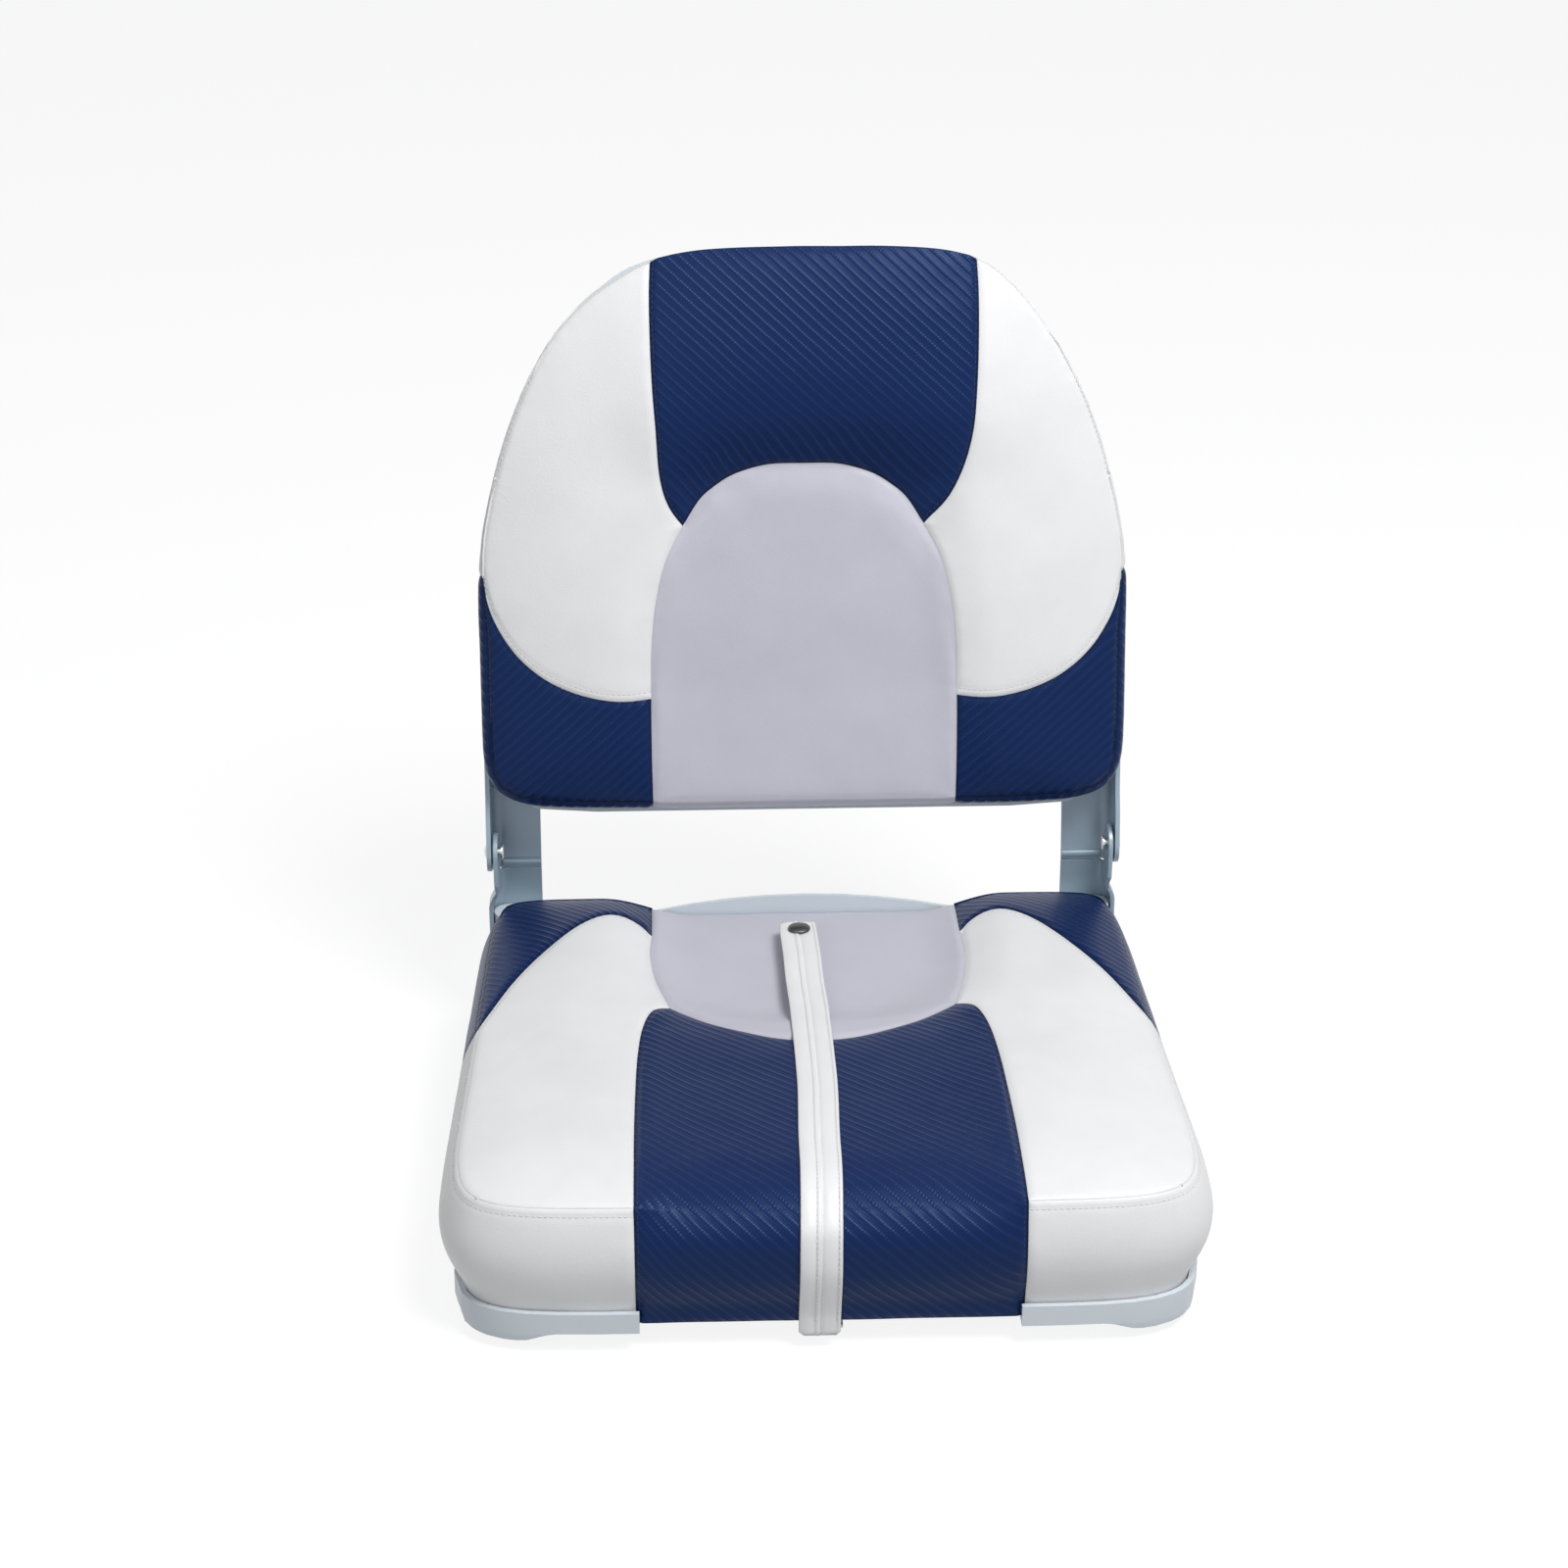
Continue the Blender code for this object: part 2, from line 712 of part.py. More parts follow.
# Each seam line over the seat, from the front edge or the scoop to the rear. Shares are of the
# half widths and lengths that the seam runs between.
FRONT_SEAM_SHARES = ((1.0, 0.0), (1.0, 0.28), (0.995, 0.5), (0.98, 0.72), (0.95, 0.87), (0.89, 0.965))
SCOOP_TIP_SHARE = 0.80
SCOOP_SIDE_SHARES = ((0.93, 0.2), (0.985, 0.45), (1.01, 0.74))
SCOOP_ARC_SHARES = ((0.0, 0.0), (0.27, 0.07), (0.51, 0.27), (0.73, 0.55), (0.9, 0.84))
CORNER_SEAM_SHARES = (
    (0.0, 0.0),
    (0.09, 0.085),
    (0.2, 0.105),
    (0.36, 0.015),
    (0.55, -0.2),
    (0.79, -0.56),
    (0.93, -0.85),
)


def scoop_tip():
    return Vector((FRONT_PANEL_HALF * SCOOP_TIP_SHARE, SCOOP_TIP_Y))


def front_seam(side):
    start = seat_edge(FRONT_TURN)
    tip = scoop_tip()
    points = []
    for across, along in FRONT_SEAM_SHARES:
        points.append((side * start.x * across, between(start.y, tip.y, along)))
    return points + [(side * tip.x, tip.y)]


def scoop_side(side):
    tip = scoop_tip()
    points = [(side * tip.x, tip.y)]
    for across, along in SCOOP_SIDE_SHARES:
        points.append((side * SCOOP_HALF * across, between(tip.y, SCOOP_BEND_Y, along)))
    return points + [(side * SCOOP_HALF, SCOOP_BEND_Y)]


def scoop_arc():
    tip = scoop_tip()
    right = []
    for across, along in SCOOP_ARC_SHARES:
        right.append((tip.x * across, between(SCOOP_FRONT_Y, tip.y, along)))
    right.append(tuple(tip))
    left = [(-x, y) for x, y in right[:0:-1]]
    return left + right


def corner_seam(out):
    start = Vector((SCOOP_HALF, SCOOP_BEND_Y))
    end = seat_edge(SIDE_TURN, out)
    drop = start.y - end.y
    points = []
    for across, along in CORNER_SEAM_SHARES:
        points.append((between(start.x, end.x, across), start.y + drop * along))
    return points + [tuple(end)]


def over_seat(flat, w):
    """Lays a flat point on the cover's outer face, or on its inner face where w is 1."""
    return Vector((flat.x, flat.y, seat_top(flat.x, flat.y) - VINYL * w))


def top_panel(name, columns, rows, edges, size, finish, seam_drop=True):
    """A cover panel over the seat. edges(out) gives its four edge lines for a cover drawn in by out."""
    outer = patch(*edges(0.0))
    inner = patch(*edges(-VINYL))

    def place(a, b, w):
        a = trimmed(a, SEAM_GAP, size[0])
        b = trimmed(b, SEAM_GAP, size[1])
        flat = inner(a, b) if w > 0.5 else outer(a, b)
        return over_seat(flat, w)

    return link(mapped_block(name, columns, rows, 1, place), finish)


def front_seam_line(side, out):
    points = front_seam(side)
    points[0] = (points[0][0], seat_edge(FRONT_TURN, out).y)
    return smooth_line(points)


def white_edges(out):
    front = edge_run(FRONT_TURN, 1.0, out, 1.0)
    outer = edge_run(1.0, SIDE_TURN, out, 1.0)
    rear = smooth_line(corner_seam(out))
    inner = in_steps(
        (front_seam_line(1, out), FRONT_TOP_ROWS), (smooth_line(scoop_side(1)), SCOOP_SIDE_ROWS)
    )
    return front, rear, inner, outer


def navy_edges(out):
    front = smooth_line(corner_seam(out))
    rear = edge_run(REAR_TURN, 3.0, out, 3.0)
    inner = smooth_line([(SCOOP_HALF, SCOOP_BEND_Y), tuple(seat_edge(REAR_TURN, out))])
    outer = edge_run(SIDE_TURN, 3.0, out, 3.0)
    return front, rear, inner, outer


def band_panel(name, steps, start, corner, end, finish):
    """A piece of the cover's side, between two places round the seam and past a corner."""
    rows = len(BAND_DOWN_SHARES) - 1
    columns = sum(steps)
    turns = in_steps(
        (lambda share: gathered(start, corner, share, corner), steps[0]),
        (lambda share: gathered(corner, end, share, corner), steps[1]),
    )
    length = (seat_edge(end) - seat_edge(start)).length
    height = SEAM_Z - COVER_FOOT_Z

    def place(a, b, w):
        turn = turns(trimmed(a, SEAM_GAP, length))
        down = between(2 * SEAM_GAP / height, 1.0, spaced(BAND_DOWN_SHARES, b))
        return seat_band(turn, down, VINYL * w)

    return link(mapped_block(name, columns, rows, 1, place), finish)


ROUND_FADE_POWER_SHARE = 6
FOAM_ROUND_SHARE = 1.1
FOAM_FADE_POWER_SHARE = 24


def front_rounded(point, away, half=FRONT_PANEL_HALF, power=ROUND_FADE_POWER_SHARE):
    """Draws the front edge in to a round, away being the way along the cover from the edge."""
    beside = min(abs(point.x) / half, 1.0)
    near = max(1 - away / FRONT_EDGE_ROUND, 0.0)
    slant = math.sqrt(0.5)
    pull = FRONT_EDGE_ROUND * (math.sqrt(2) - 1) * near ** (1 + slant) * (1 - beside**power)
    return point + Vector((0, slant, -slant)) * pull


def wrapped_place(top, edge_turn, top_rows, sizes, side_gap):
    """Places a panel that runs over the top and on down the band. Its last rows lie on the band."""
    rows = top_rows + len(BAND_DOWN_SHARES) - 1
    split = top_rows / rows
    run, drop = sizes

    def place(a, b, w, lift=0.0):
        a = trimmed(a, side_gap, FRONT_PANEL_HALF * 2)
        inset = VINYL * w - lift
        if b <= split:
            along = trimmed(b / split, SEAM_GAP, run) if b < split else 1.0
            flat = top(inset)(a, along)
            point = Vector((flat.x, flat.y, seat_top(flat.x, flat.y) - inset))
            away = (1 - along) * run
        else:
            down = spaced(BAND_DOWN_SHARES, (b - split) / (1 - split))
            point = seat_band(edge_turn(a), down, inset)
            away = down * drop
        return front_rounded(point, away)

    return place, rows


def navy_front_top(inset):
    """The front panel's flat form, from the scoop's arc to the front edge."""

    def side(sign):
        line = front_seam_line(sign, -inset)
        return lambda share: line(1 - share)

    edge = edge_run(-FRONT_TURN, FRONT_TURN, -inset)
    return patch(smooth_line(scoop_arc()), edge, side(-1), side(1))


FRONT_RUN = SCOOP_FRONT_Y - SEAT_FRONT_Y
NAVY_FRONT_PLACE, NAVY_FRONT_ROWS = wrapped_place(
    navy_front_top,
    lambda a: between(-FRONT_TURN, FRONT_TURN, a),
    FRONT_TOP_ROWS,
    (FRONT_RUN, SEAT_SEAM_HEIGHT),
    SEAM_GAP,
)


def grey_rear_top(inset):
    """The scoop panel's flat form, from its front arc to the rear edge."""

    def side(sign):
        bend = (sign * SCOOP_HALF, SCOOP_BEND_Y)
        straight = smooth_line([bend, (sign * SCOOP_HALF, seat_edge(REAR_TURN, -inset).y)])
        return in_steps((smooth_line(scoop_side(sign)), SCOOP_SIDE_ROWS), (straight, SCOOP_REAR_ROWS))

    def edge(share):
        across = between(-SCOOP_HALF, SCOOP_HALF, share)
        return Vector((across, seat_edge(REAR_TURN, -inset).y))

    return patch(smooth_line(scoop_arc()), edge, side(-1), side(1))


def grey_edge_place(a, b, w):
    """The scoop panel lies in the scoop and hangs straight down over the rear edge."""
    rows = GREY_TOP_ROWS + 3
    split = GREY_TOP_ROWS / rows
    a = trimmed(a, SEAM_GAP, SCOOP_HALF * 2)
    inset = VINYL * w
    along = min(b / split, 1.0)
    along = between(SEAM_GAP / (SEAT_REAR_Y - SCOOP_FRONT_Y), 1.0, along)
    flat = grey_rear_top(inset)(a, along)
    z = seat_top(flat.x, flat.y) - inset
    if b > split:
        z = between(z, COVER_FOOT_Z, (b - split) / (1 - split))
    return Vector((flat.x, flat.y, z))


def seat_covers():
    front = mapped_block("seat_panel_navy_front", 10, NAVY_FRONT_ROWS, 1, NAVY_FRONT_PLACE)
    link(front, NAVY_VINYL)
    grey = mapped_block("seat_panel_grey", 10, GREY_TOP_ROWS + 3, 1, grey_edge_place)
    link(grey, GREY_VINYL)
    depth = SEAT_REAR_Y - SEAT_FRONT_Y
    width = SEAT_FRONT_HALF_WIDTH - FRONT_PANEL_HALF
    rows = FRONT_TOP_ROWS + SCOOP_SIDE_ROWS
    white_size = (width, depth / 2)
    navy_size = (width, depth / 5)
    front_steps = (SIDE_COLUMNS, rows)
    rear_steps = (CORNER_ROWS, SIDE_COLUMNS)
    pieces = (
        top_panel("seat_panel_white_right", SIDE_COLUMNS, rows, white_edges, white_size, WHITE_VINYL),
        top_panel("seat_panel_navy_right", SIDE_COLUMNS, CORNER_ROWS, navy_edges, navy_size, NAVY_VINYL),
        band_panel("seat_band_white_right", front_steps, FRONT_TURN, 1.0, SIDE_TURN, WHITE_VINYL),
        band_panel("seat_band_navy_right", rear_steps, SIDE_TURN, 3.0, REAR_TURN, NAVY_VINYL),
    )
    for piece in pieces:
        mirrored(piece, piece.name.replace("right", "left"))


def seat_foam():
    """The foam block fills the cover from the board to just under the vinyl."""
    draw = VINYL + FOAM_EASE

    def place(a, b, w):
        u, v = 2 * a - 1, 2 * b - 1
        u, v = (math.sin(part * math.pi / 2) * 0.5 + part * 0.5 for part in (u, v))
        longest = max(abs(u), abs(v))
        if longest < 1e-6:
            return Vector((0, SEAT_MIDDLE_Y, seat_top(0, SEAT_MIDDLE_Y) - draw))
        edge_u, edge_v = u / longest, v / longest
        if edge_v <= -1 + 1e-9:
            turn = edge_u
        elif edge_v >= 1 - 1e-9:
            turn = math.copysign(4 - abs(edge_u), edge_u)
        else:
            turn = math.copysign(2 + edge_v, edge_u)
        seam = seat_edge(turn, -draw)
        middle = Vector((0, SEAT_MIDDLE_Y))
        if w < 1e-6:
            flat = middle.lerp(seam, longest)
            away = flat.y - SEAT_FRONT_Y - draw
            point = Vector((flat.x, flat.y, seat_top(flat.x, flat.y) - draw))
            return front_rounded(point, away, FRONT_PANEL_HALF * FOAM_ROUND_SHARE, FOAM_FADE_POWER_SHARE)
        foot = BOARD_TOP_Z + SEAT_GAP
        down = w * (SEAM_Z - foot) / (SEAM_Z - COVER_FOOT_Z)
        swell = max(band_swell(turn, down), -BAND_TUCK) * longest
        flat = seat_edge(turn, swell - draw)
        flat = middle.lerp(flat, longest)
        top = seat_top(seam.x, seam.y) - draw
        away = w * (top - foot) if flat.y < SEAT_MIDDLE_Y else FRONT_EDGE_ROUND
        point = Vector((flat.x, flat.y, between(top, foot, w)))
        return front_rounded(point, away, FRONT_PANEL_HALF * FOAM_ROUND_SHARE, FOAM_FADE_POWER_SHARE)

    return link(mapped_block("seat_foam", 14, 14, 4, place, flat_base=True), FOAM)


def ring_of(edge, out, turns=None):
    """Points right round an edge line that is known on its right half."""
    count = RING_POINTS // 2
    turns = turns or [4 * (index + 0.5) / count for index in range(count)]
    right = [edge(turn, out) for turn in turns]
    left = [Vector((-point.x, point.y)) for point in right[::-1]]
    return right + left


def seat_ring_turns():
    """Places round the seat that lie where the cover's band has its own points."""
    side_rows = FRONT_TOP_ROWS + SCOOP_SIDE_ROWS
    turns = [gathered(FRONT_TURN, 1.0, step / SIDE_COLUMNS, 1.0) for step in range(SIDE_COLUMNS + 1)]
    sparse = [step for step in range(1, side_rows) if step < 3 or step % 3 == 1] + [side_rows]
    turns += [gathered(1.0, SIDE_TURN, step / side_rows, 1.0) for step in sparse]
    turns += [gathered(SIDE_TURN, 3.0, step / CORNER_ROWS, 3.0) for step in range(1, CORNER_ROWS + 1)]
    turns += [gathered(3.0, REAR_TURN, step / SIDE_COLUMNS, 3.0) for step in range(1, SIDE_COLUMNS + 1)]
    return turns


def tee_places():
    half = BOLT_SQUARE / 2
    return [(x, y) for x in (-half, half) for y in (-half, half)]


def board_screw_places():
    reach = BOARD_SCREW_CELLS * RIB_PITCH
    return [(x, SEAT_MIDDLE_Y + y) for x in (-reach, reach) for y in (-reach, reach)]


def seat_board():
    inset = VINYL + BOARD_EASE + BAND_TUCK
    flat = ring_of(seat_edge, -inset, seat_ring_turns())
    middle = (0, 0, COVER_FOOT_Z + SEAT_BOARD / 2)
    board = plate("seat_board", [tuple(point) for point in flat], SEAT_BOARD, None, middle)
    tools = []
    recess = TEE_FLANGE_THICK + SEAT_GAP
    for x, y in tee_places():
        low = (x, y, DECK_Z - OVERRUN)
        tools.append(rod("recess", TEE_FLANGE + 4 * SEAT_GAP, low, (x, y, COVER_FOOT_Z + recess)))
    for x, y in board_screw_places():
        top = BOARD_TOP_Z - SEAT_GAP * 3
        tools.append(rod("pilot", BOARD_SCREW + 2 * SEAT_GAP, (x, y, DECK_Z - OVERRUN), (x, y, top)))
    combine(board, joined("board_cuts", tools), "DIFFERENCE")
    return finish_part(board, BOARD_PLY)


# Moulded pan


def pan_ring(out, z):
    return [(point.x, point.y, z) for point in ring_of(seat_edge, out, seat_ring_turns())]


def pan_cells():
    """The pockets between the ribs under the deck, trimmed to the inside of the lip."""
    cells = []
    columns = int(SEAT_FRONT_HALF_WIDTH / RIB_PITCH) + 1
    rows = int(SEAT_HALF_DEPTH / RIB_PITCH) + 1
    half = (RIB_PITCH - RIB) / 2
    for column in range(-columns, columns + 1):
        for row in range(-rows, rows + 1):
            x = column * RIB_PITCH
            y = SEAT_MIDDLE_Y + row * RIB_PITCH
            low = (x - half, y - half, -OVERRUN)
            high = (x + half, y + half, DECK_UNDER_Z)
            cells.append(box("cell", low, high))
    grid = joined("cells", cells)
    inside = loft("inside", [pan_ring(LIP_GAP, -2 * OVERRUN), pan_ring(LIP_GAP, DECK_Z)])
    return combine(grid, inside, "INTERSECT")


def tab_pocket():
    """Room among the ribs for the strap's sewn end."""
    inner, _ = strap_sections()[0]
    half = STRAP_WIDTH / 2 + RIB
    low = (STRAP_OFFSET_X - half, inner.x, -OVERRUN)
    high = (STRAP_OFFSET_X + half, inner.x + STRAP + STRAP_TAB + RIB, DECK_UNDER_Z)
    return box("tab_pocket", low, high)


def lip_wave(half, foot):
    """The underside of the lip between two feet, seen square on, as a low arch."""
    inner = half - foot
    ease = (LIP_UNDER_Z - FOOT_Z) * 2.5
    points = [(-inner - ease / 2, -OVERRUN)]
    for side, order in ((-1, 1), (1, -1)):
        rise = []
        for index in range(5):
            share = index / 4
            across = side * between(inner + ease / 2, inner - ease, share)
            rise.append((across, between(FOOT_Z, LIP_UNDER_Z, smooth_step(share, 0, 1))))
        points += rise[::order]
    points.append((inner + ease / 2, -OVERRUN))
    return points


def around_ribs(cut):
    """Keeps a cut to the lip and the ends of the ribs beside it."""
    kept = loft("ribs", [pan_ring(-RIB_STEP, -2 * OVERRUN), pan_ring(-RIB_STEP, 2 * LIP_UNDER_Z)])
    return combine(cut, kept, "DIFFERENCE")


def upstand_outline():
    """The rear wall, an arch over the width between the hinge towers."""
    radius = (UPSTAND_CHORD_HALF**2 + UPSTAND_SAG**2) / (2 * UPSTAND_SAG)
    half = TOWER_HALF_GAP + TOWER_WALL / 2
    spread = math.degrees(math.asin(half / radius))
    top = arc((0, UPSTAND_Z - radius), radius, 90 - spread, 90 + spread, 14)
    foot = DECK_UNDER_Z + DECK / 2
    return top + [(-half, foot), (half, foot)]


def tower_box(name, side, wall, low_z, high_z):
    """A hinge tower, its corners turned to clear the bend of the bracket that wraps it."""
    front = SEAT_REAR_Y + LIP_GAP + LIP_WALL / 4 + wall
    rear = WEB_FRONT_Y - SEAT_GAP - wall
    inner = TOWER_HALF_GAP + wall
    outer = FLANGE_INNER_X + LOWER_JOG - SEAT_GAP - wall
    xs = sorted((side * inner, side * outer))
    radius = BEND_RADIUS + LOWER_JOG - wall
    outline = rounded_box_outline((xs[0], front), (xs[1], rear), radius)
    return plate(name, outline, high_z - low_z, None, (0, 0, (low_z + high_z) / 2))


def seat_pan():
    lip_top = DECK_Z + LIP_RISE
    out = LIP_GAP + LIP_WALL
    draft = out - LIP_WALL / 3
    pan = loft("seat_pan", [pan_ring(draft, FOOT_Z), pan_ring(out, DECK_UNDER_Z), pan_ring(out, lip_top)])
    tray = loft("tray", [pan_ring(LIP_GAP, DECK_Z), pan_ring(LIP_GAP, lip_top + OVERRUN)])
    combine(pan, tray, "DIFFERENCE")
    combine(pan, pan_cells(), "DIFFERENCE")
    combine(pan, tab_pocket(), "DIFFERENCE")
    length = 3 * SEAT_HALF_DEPTH
    wave = lip_wave(SEAT_FRONT_HALF_WIDTH, FOOT_WIDTH)
    combine(pan, around_ribs(plate("wave", wave, length, FACING_Y, (0, SEAT_MIDDLE_Y, 0))), "DIFFERENCE")
    wave = [(SEAT_MIDDLE_Y + along, up) for along, up in lip_wave(SEAT_HALF_DEPTH, FOOT_LENGTH)]
    combine(pan, around_ribs(plate("wave", wave, length, FACING_X)), "DIFFERENCE")
    notch_front = SEAT_FRONT_Y - 3 * out
    notch = rounded_box_outline(
        (-NOTCH_HALF, -OVERRUN), (NOTCH_HALF, lip_top + NOTCH_DEPTH), LIP_RISE / 2
    )
    notch_rear = SEAT_FRONT_Y + NOTCH_DEPTH
    middle = (0, (notch_front + notch_rear) / 2, 0)
    combine(pan, plate("notch", notch, notch_rear - notch_front, FACING_Y, middle), "DIFFERENCE")
    low = (-NOTCH_HALF, notch_front, -OVERRUN)
    combine(pan, box("relief", low, (NOTCH_HALF, SEAT_FRONT_Y + FRONT_RELIEF, FRONT_RELIEF_Z)), "DIFFERENCE")
    middle_z = (DECK_UNDER_Z + DECK / 2) / 2
    pad = rounded_box_outline((-PAD_HALF, -PAD_HALF), (PAD_HALF, PAD_HALF), PAD_CORNER)
    combine(pan, plate("pad", pad, 2 * middle_z, None, (0, 0, middle_z)), "UNION")
    wall_y = SEAT_REAR_Y + LIP_GAP + LIP_WALL / 2
    wall = plate("upstand", upstand_outline(), LIP_WALL * 0.8, FACING_Y, (0, wall_y, 0))
    combine(pan, wall, "UNION")
    for side in (-1, 1):
        combine(pan, tower_box("tower", side, 0, LIP_UNDER_Z, TOWER_Z), "UNION")
        combine(pan, tower_box("hollow", side, TOWER_WALL, -OVERRUN, TOWER_Z - TOWER_WALL), "DIFFERENCE")
    bores = []
    for x, y in tee_places():
        bores.append(rod("tee", TEE_BARREL + 2 * SEAT_GAP, (x, y, -OVERRUN), (x, y, lip_top)))
    for x, y in board_screw_places():
        bores.append(rod("pilot", BOARD_SCREW + 2 * SEAT_GAP, (x, y, 0), (x, y, lip_top)))
    x, y = STRAP_OFFSET_X, strap_screw_y()
    bores.append(rod("pilot", STRAP_SCREW + 2 * SEAT_GAP, (x, y, 0), (x, y, lip_top)))
    front, rear = WEB_FRONT_Y - 3 * TOWER_WALL, WEB_FRONT_Y + OVERRUN
    for side in (-1, 1):
        for z in LOWER_SCREW_ZS:
            x = side * lower_screw_x()
            bores.append(rod("pilot", HINGE_SCREW + 2 * SEAT_GAP, (x, front, z), (x, rear, z)))
    combine(pan, joined("bores", bores), "DIFFERENCE")
    return finish_part(pan, SHELL_PLASTIC)


def tee_nuts():
    top = COVER_FOOT_Z + TEE_FLANGE_THICK
    base = COVER_FOOT_Z
    for index, (x, y) in enumerate(tee_places()):
        profile = (
            (TEE_BORE / 2, top),
            (TEE_FLANGE / 2, top),
            (TEE_FLANGE / 2, base),
            (TEE_BARREL / 2, base),
            (TEE_BARREL / 2, top - TEE_LENGTH),
            (TEE_BORE / 2, top - TEE_LENGTH),
        )
        turned(f"tee_nut_{index + 1}", profile, (x, y, 0), (0, 0, 1), BRIGHT_STEEL)


def screw(name, shank, head, head_height, length, seat, axis, finish=BRIGHT_STEEL, parent=None):
    """A pan head screw. seat is the middle of the face under its head, and axis points out of it."""
    dome = head_height * 0.45
    tip = shank / 3
    profile = (
        (0, head_height),
        (head * 0.3, head_height),
        (head / 2, head_height - dome),
        (head / 2, 0),
        (shank / 2, 0),
        (shank / 2, tip - length),
        (0, -length),
    )
    return turned(name, profile, seat, axis, finish, parent, SCREW_STEPS)


def board_screws():
    for index, (x, y) in enumerate(board_screw_places()):
        length = BOARD_TOP_Z - DECK_UNDER_Z - 4 * SEAT_GAP
        seat = (x, y, DECK_UNDER_Z - SEAT_GAP)
        name = f"board_screw_{index + 1}"
        screw(name, BOARD_SCREW, BOARD_SCREW_HEAD, BOARD_SCREW / 2, length, seat, (0, 0, -1))


# Hinge brackets


def lower_screw_x():
    return between(WEB_INNER_X, FLANGE_INNER_X - BEND_RADIUS, 0.5)


def bracket_profile(outer_x, rear_y, front_y, inner_x):
    """The bent strip seen from above: a flange that runs to the rear and a web that turns inwards."""
    bend = BEND_RADIUS + PLATE
    corner = (outer_x - bend, rear_y - bend)
    outline = [(outer_x, front_y)]
    outline += arc(corner, bend, 0, 90, 5)
    outline += [(inner_x, rear_y), (inner_x, rear_y - PLATE)]
    outline += arc(corner, BEND_RADIUS, 90, 0, 5)
    outline += [(outer_x - PLATE, front_y)]
    return outline


def lower_web_top():
    """The lower web ends where the upper web's foot stands on it with the back leaned back."""
    y = WEB_BEHIND_PIVOT + PLATE
    low = -y * math.sin(RECLINE) - UPPER_DROP * math.cos(RECLINE)
    return PIVOT_Z + low - SEAT_GAP


def lower_side_outline():
    """The lower bracket seen from the side, as (y, z)."""
    front = PIVOT_Y + LOWER_FLANGE_FRONT
    rear = PIVOT_Y + WEB_BEHIND_PIVOT + OVERRUN
    top = lower_web_top()
    notch = top - SEAT_GAP
    outline = [(front, LOWER_FOOT_Z), (front, LOWER_JOG_TOP_Z - LOWER_JOG)]
    outline += [(PIVOT_Y - EYE_RADIUS * 0.9, PIVOT_Z - EYE_RADIUS * 1.6)]
    outline += arc((PIVOT_Y, PIVOT_Z), EYE_RADIUS, 180, -30, 12)
    outline += [(PIVOT_Y + EYE_RADIUS * 0.86, notch), (WEB_FRONT_Y - BEND_RADIUS, notch)]
    outline += [(WEB_FRONT_Y - BEND_RADIUS * 0.9, top), (rear, top), (rear, LOWER_FOOT_Z)]
    return outline


def trimmed_bracket(name, profile, side_outline, low, high):
    """A bent strip cut to its side outline, with its pivot hole."""
    strip = plate(name, profile, high - low, None, (0, 0, (low + high) / 2))
    span = 4 * WEB_INNER_X
    combine(strip, plate("trim", side_outline, span, FACING_X), "INTERSECT")
    return strip


def jogged(obj):
    """Sets the flange outwards below the cushion's top, where it passes the tower."""
    made = bmesh.new()
    made.from_mesh(obj.data)
    cuts = 4
    for index in range(cuts + 1):
        level = LOWER_JOG_TOP_Z - LOWER_JOG_RUN * index / cuts
        geometry = made.verts[:] + made.edges[:] + made.faces[:]
        near = SEAT_GAP / 30
        bmesh.ops.bisect_plane(made, geom=geometry, plane_co=(0, 0, level), plane_no=(0, 0, 1), dist=near)
    start = FLANGE_INNER_X - BEND_RADIUS - PLATE
    for vertex in made.verts:
        down = smooth_step(LOWER_JOG_TOP_Z - vertex.co.z, 0, LOWER_JOG_RUN)
        across = min(max((vertex.co.x - start) / (FLANGE_INNER_X - start), 0.0), 1.0)
        vertex.co.x += LOWER_JOG * down * across
    made.to_mesh(obj.data)
    made.free()


def lower_brackets():
    outer = FLANGE_INNER_X + PLATE
    rear = PIVOT_Y + WEB_BEHIND_PIVOT
    profile = bracket_profile(outer, rear, PIVOT_Y - EYE_RADIUS - OVERRUN, WEB_INNER_X)
    top = PIVOT_Z + EYE_RADIUS + OVERRUN
    bracket = trimmed_bracket("hinge_lower_right", profile, lower_side_outline(), LOWER_FOOT_Z, top)
    jogged(bracket)
    start, end = (WEB_INNER_X, PIVOT_Y, PIVOT_Z), (outer + OVERRUN, PIVOT_Y, PIVOT_Z)
    bores = [rod("pivot", RIVET + 2 * SEAT_GAP, start, end)]
    for z in LOWER_SCREW_ZS:
        x = lower_screw_x()
        start, end = (x, WEB_FRONT_Y - OVERRUN, z), (x, rear + OVERRUN, z)
        bores.append(rod("screw", HINGE_SCREW + 2 * SEAT_GAP, start, end))
    combine(bracket, joined("bores", bores), "DIFFERENCE")
    finish_part(bracket, BRACKET_PAINT)
    mirrored(bracket, "hinge_lower_left")


def upper_side_outline():
    """The upper bracket seen from the side in the back's frame, as (y, z)."""
    rear = WEB_BEHIND_PIVOT + PLATE + OVERRUN
    corner = EYE_RADIUS / 2
    narrow = -UPPER_FLANGE_FRONT
    outline = [(narrow, UPPER_TOP - corner)]
    outline += [(narrow, BACK_BOTTOM_Z), (-EYE_RADIUS, SHELL_BOTTOM_Z - EYE_RADIUS / 2)]
    outline += arc((0, 0), EYE_RADIUS, 180, 310, 9)
    outline += [(WEB_BEHIND_PIVOT - BEND_RADIUS, -UPPER_DROP), (rear, -UPPER_DROP)]
    outline += [(rear, UPPER_TOP)]
    outline += [(narrow + corner, UPPER_TOP)]
    return outline


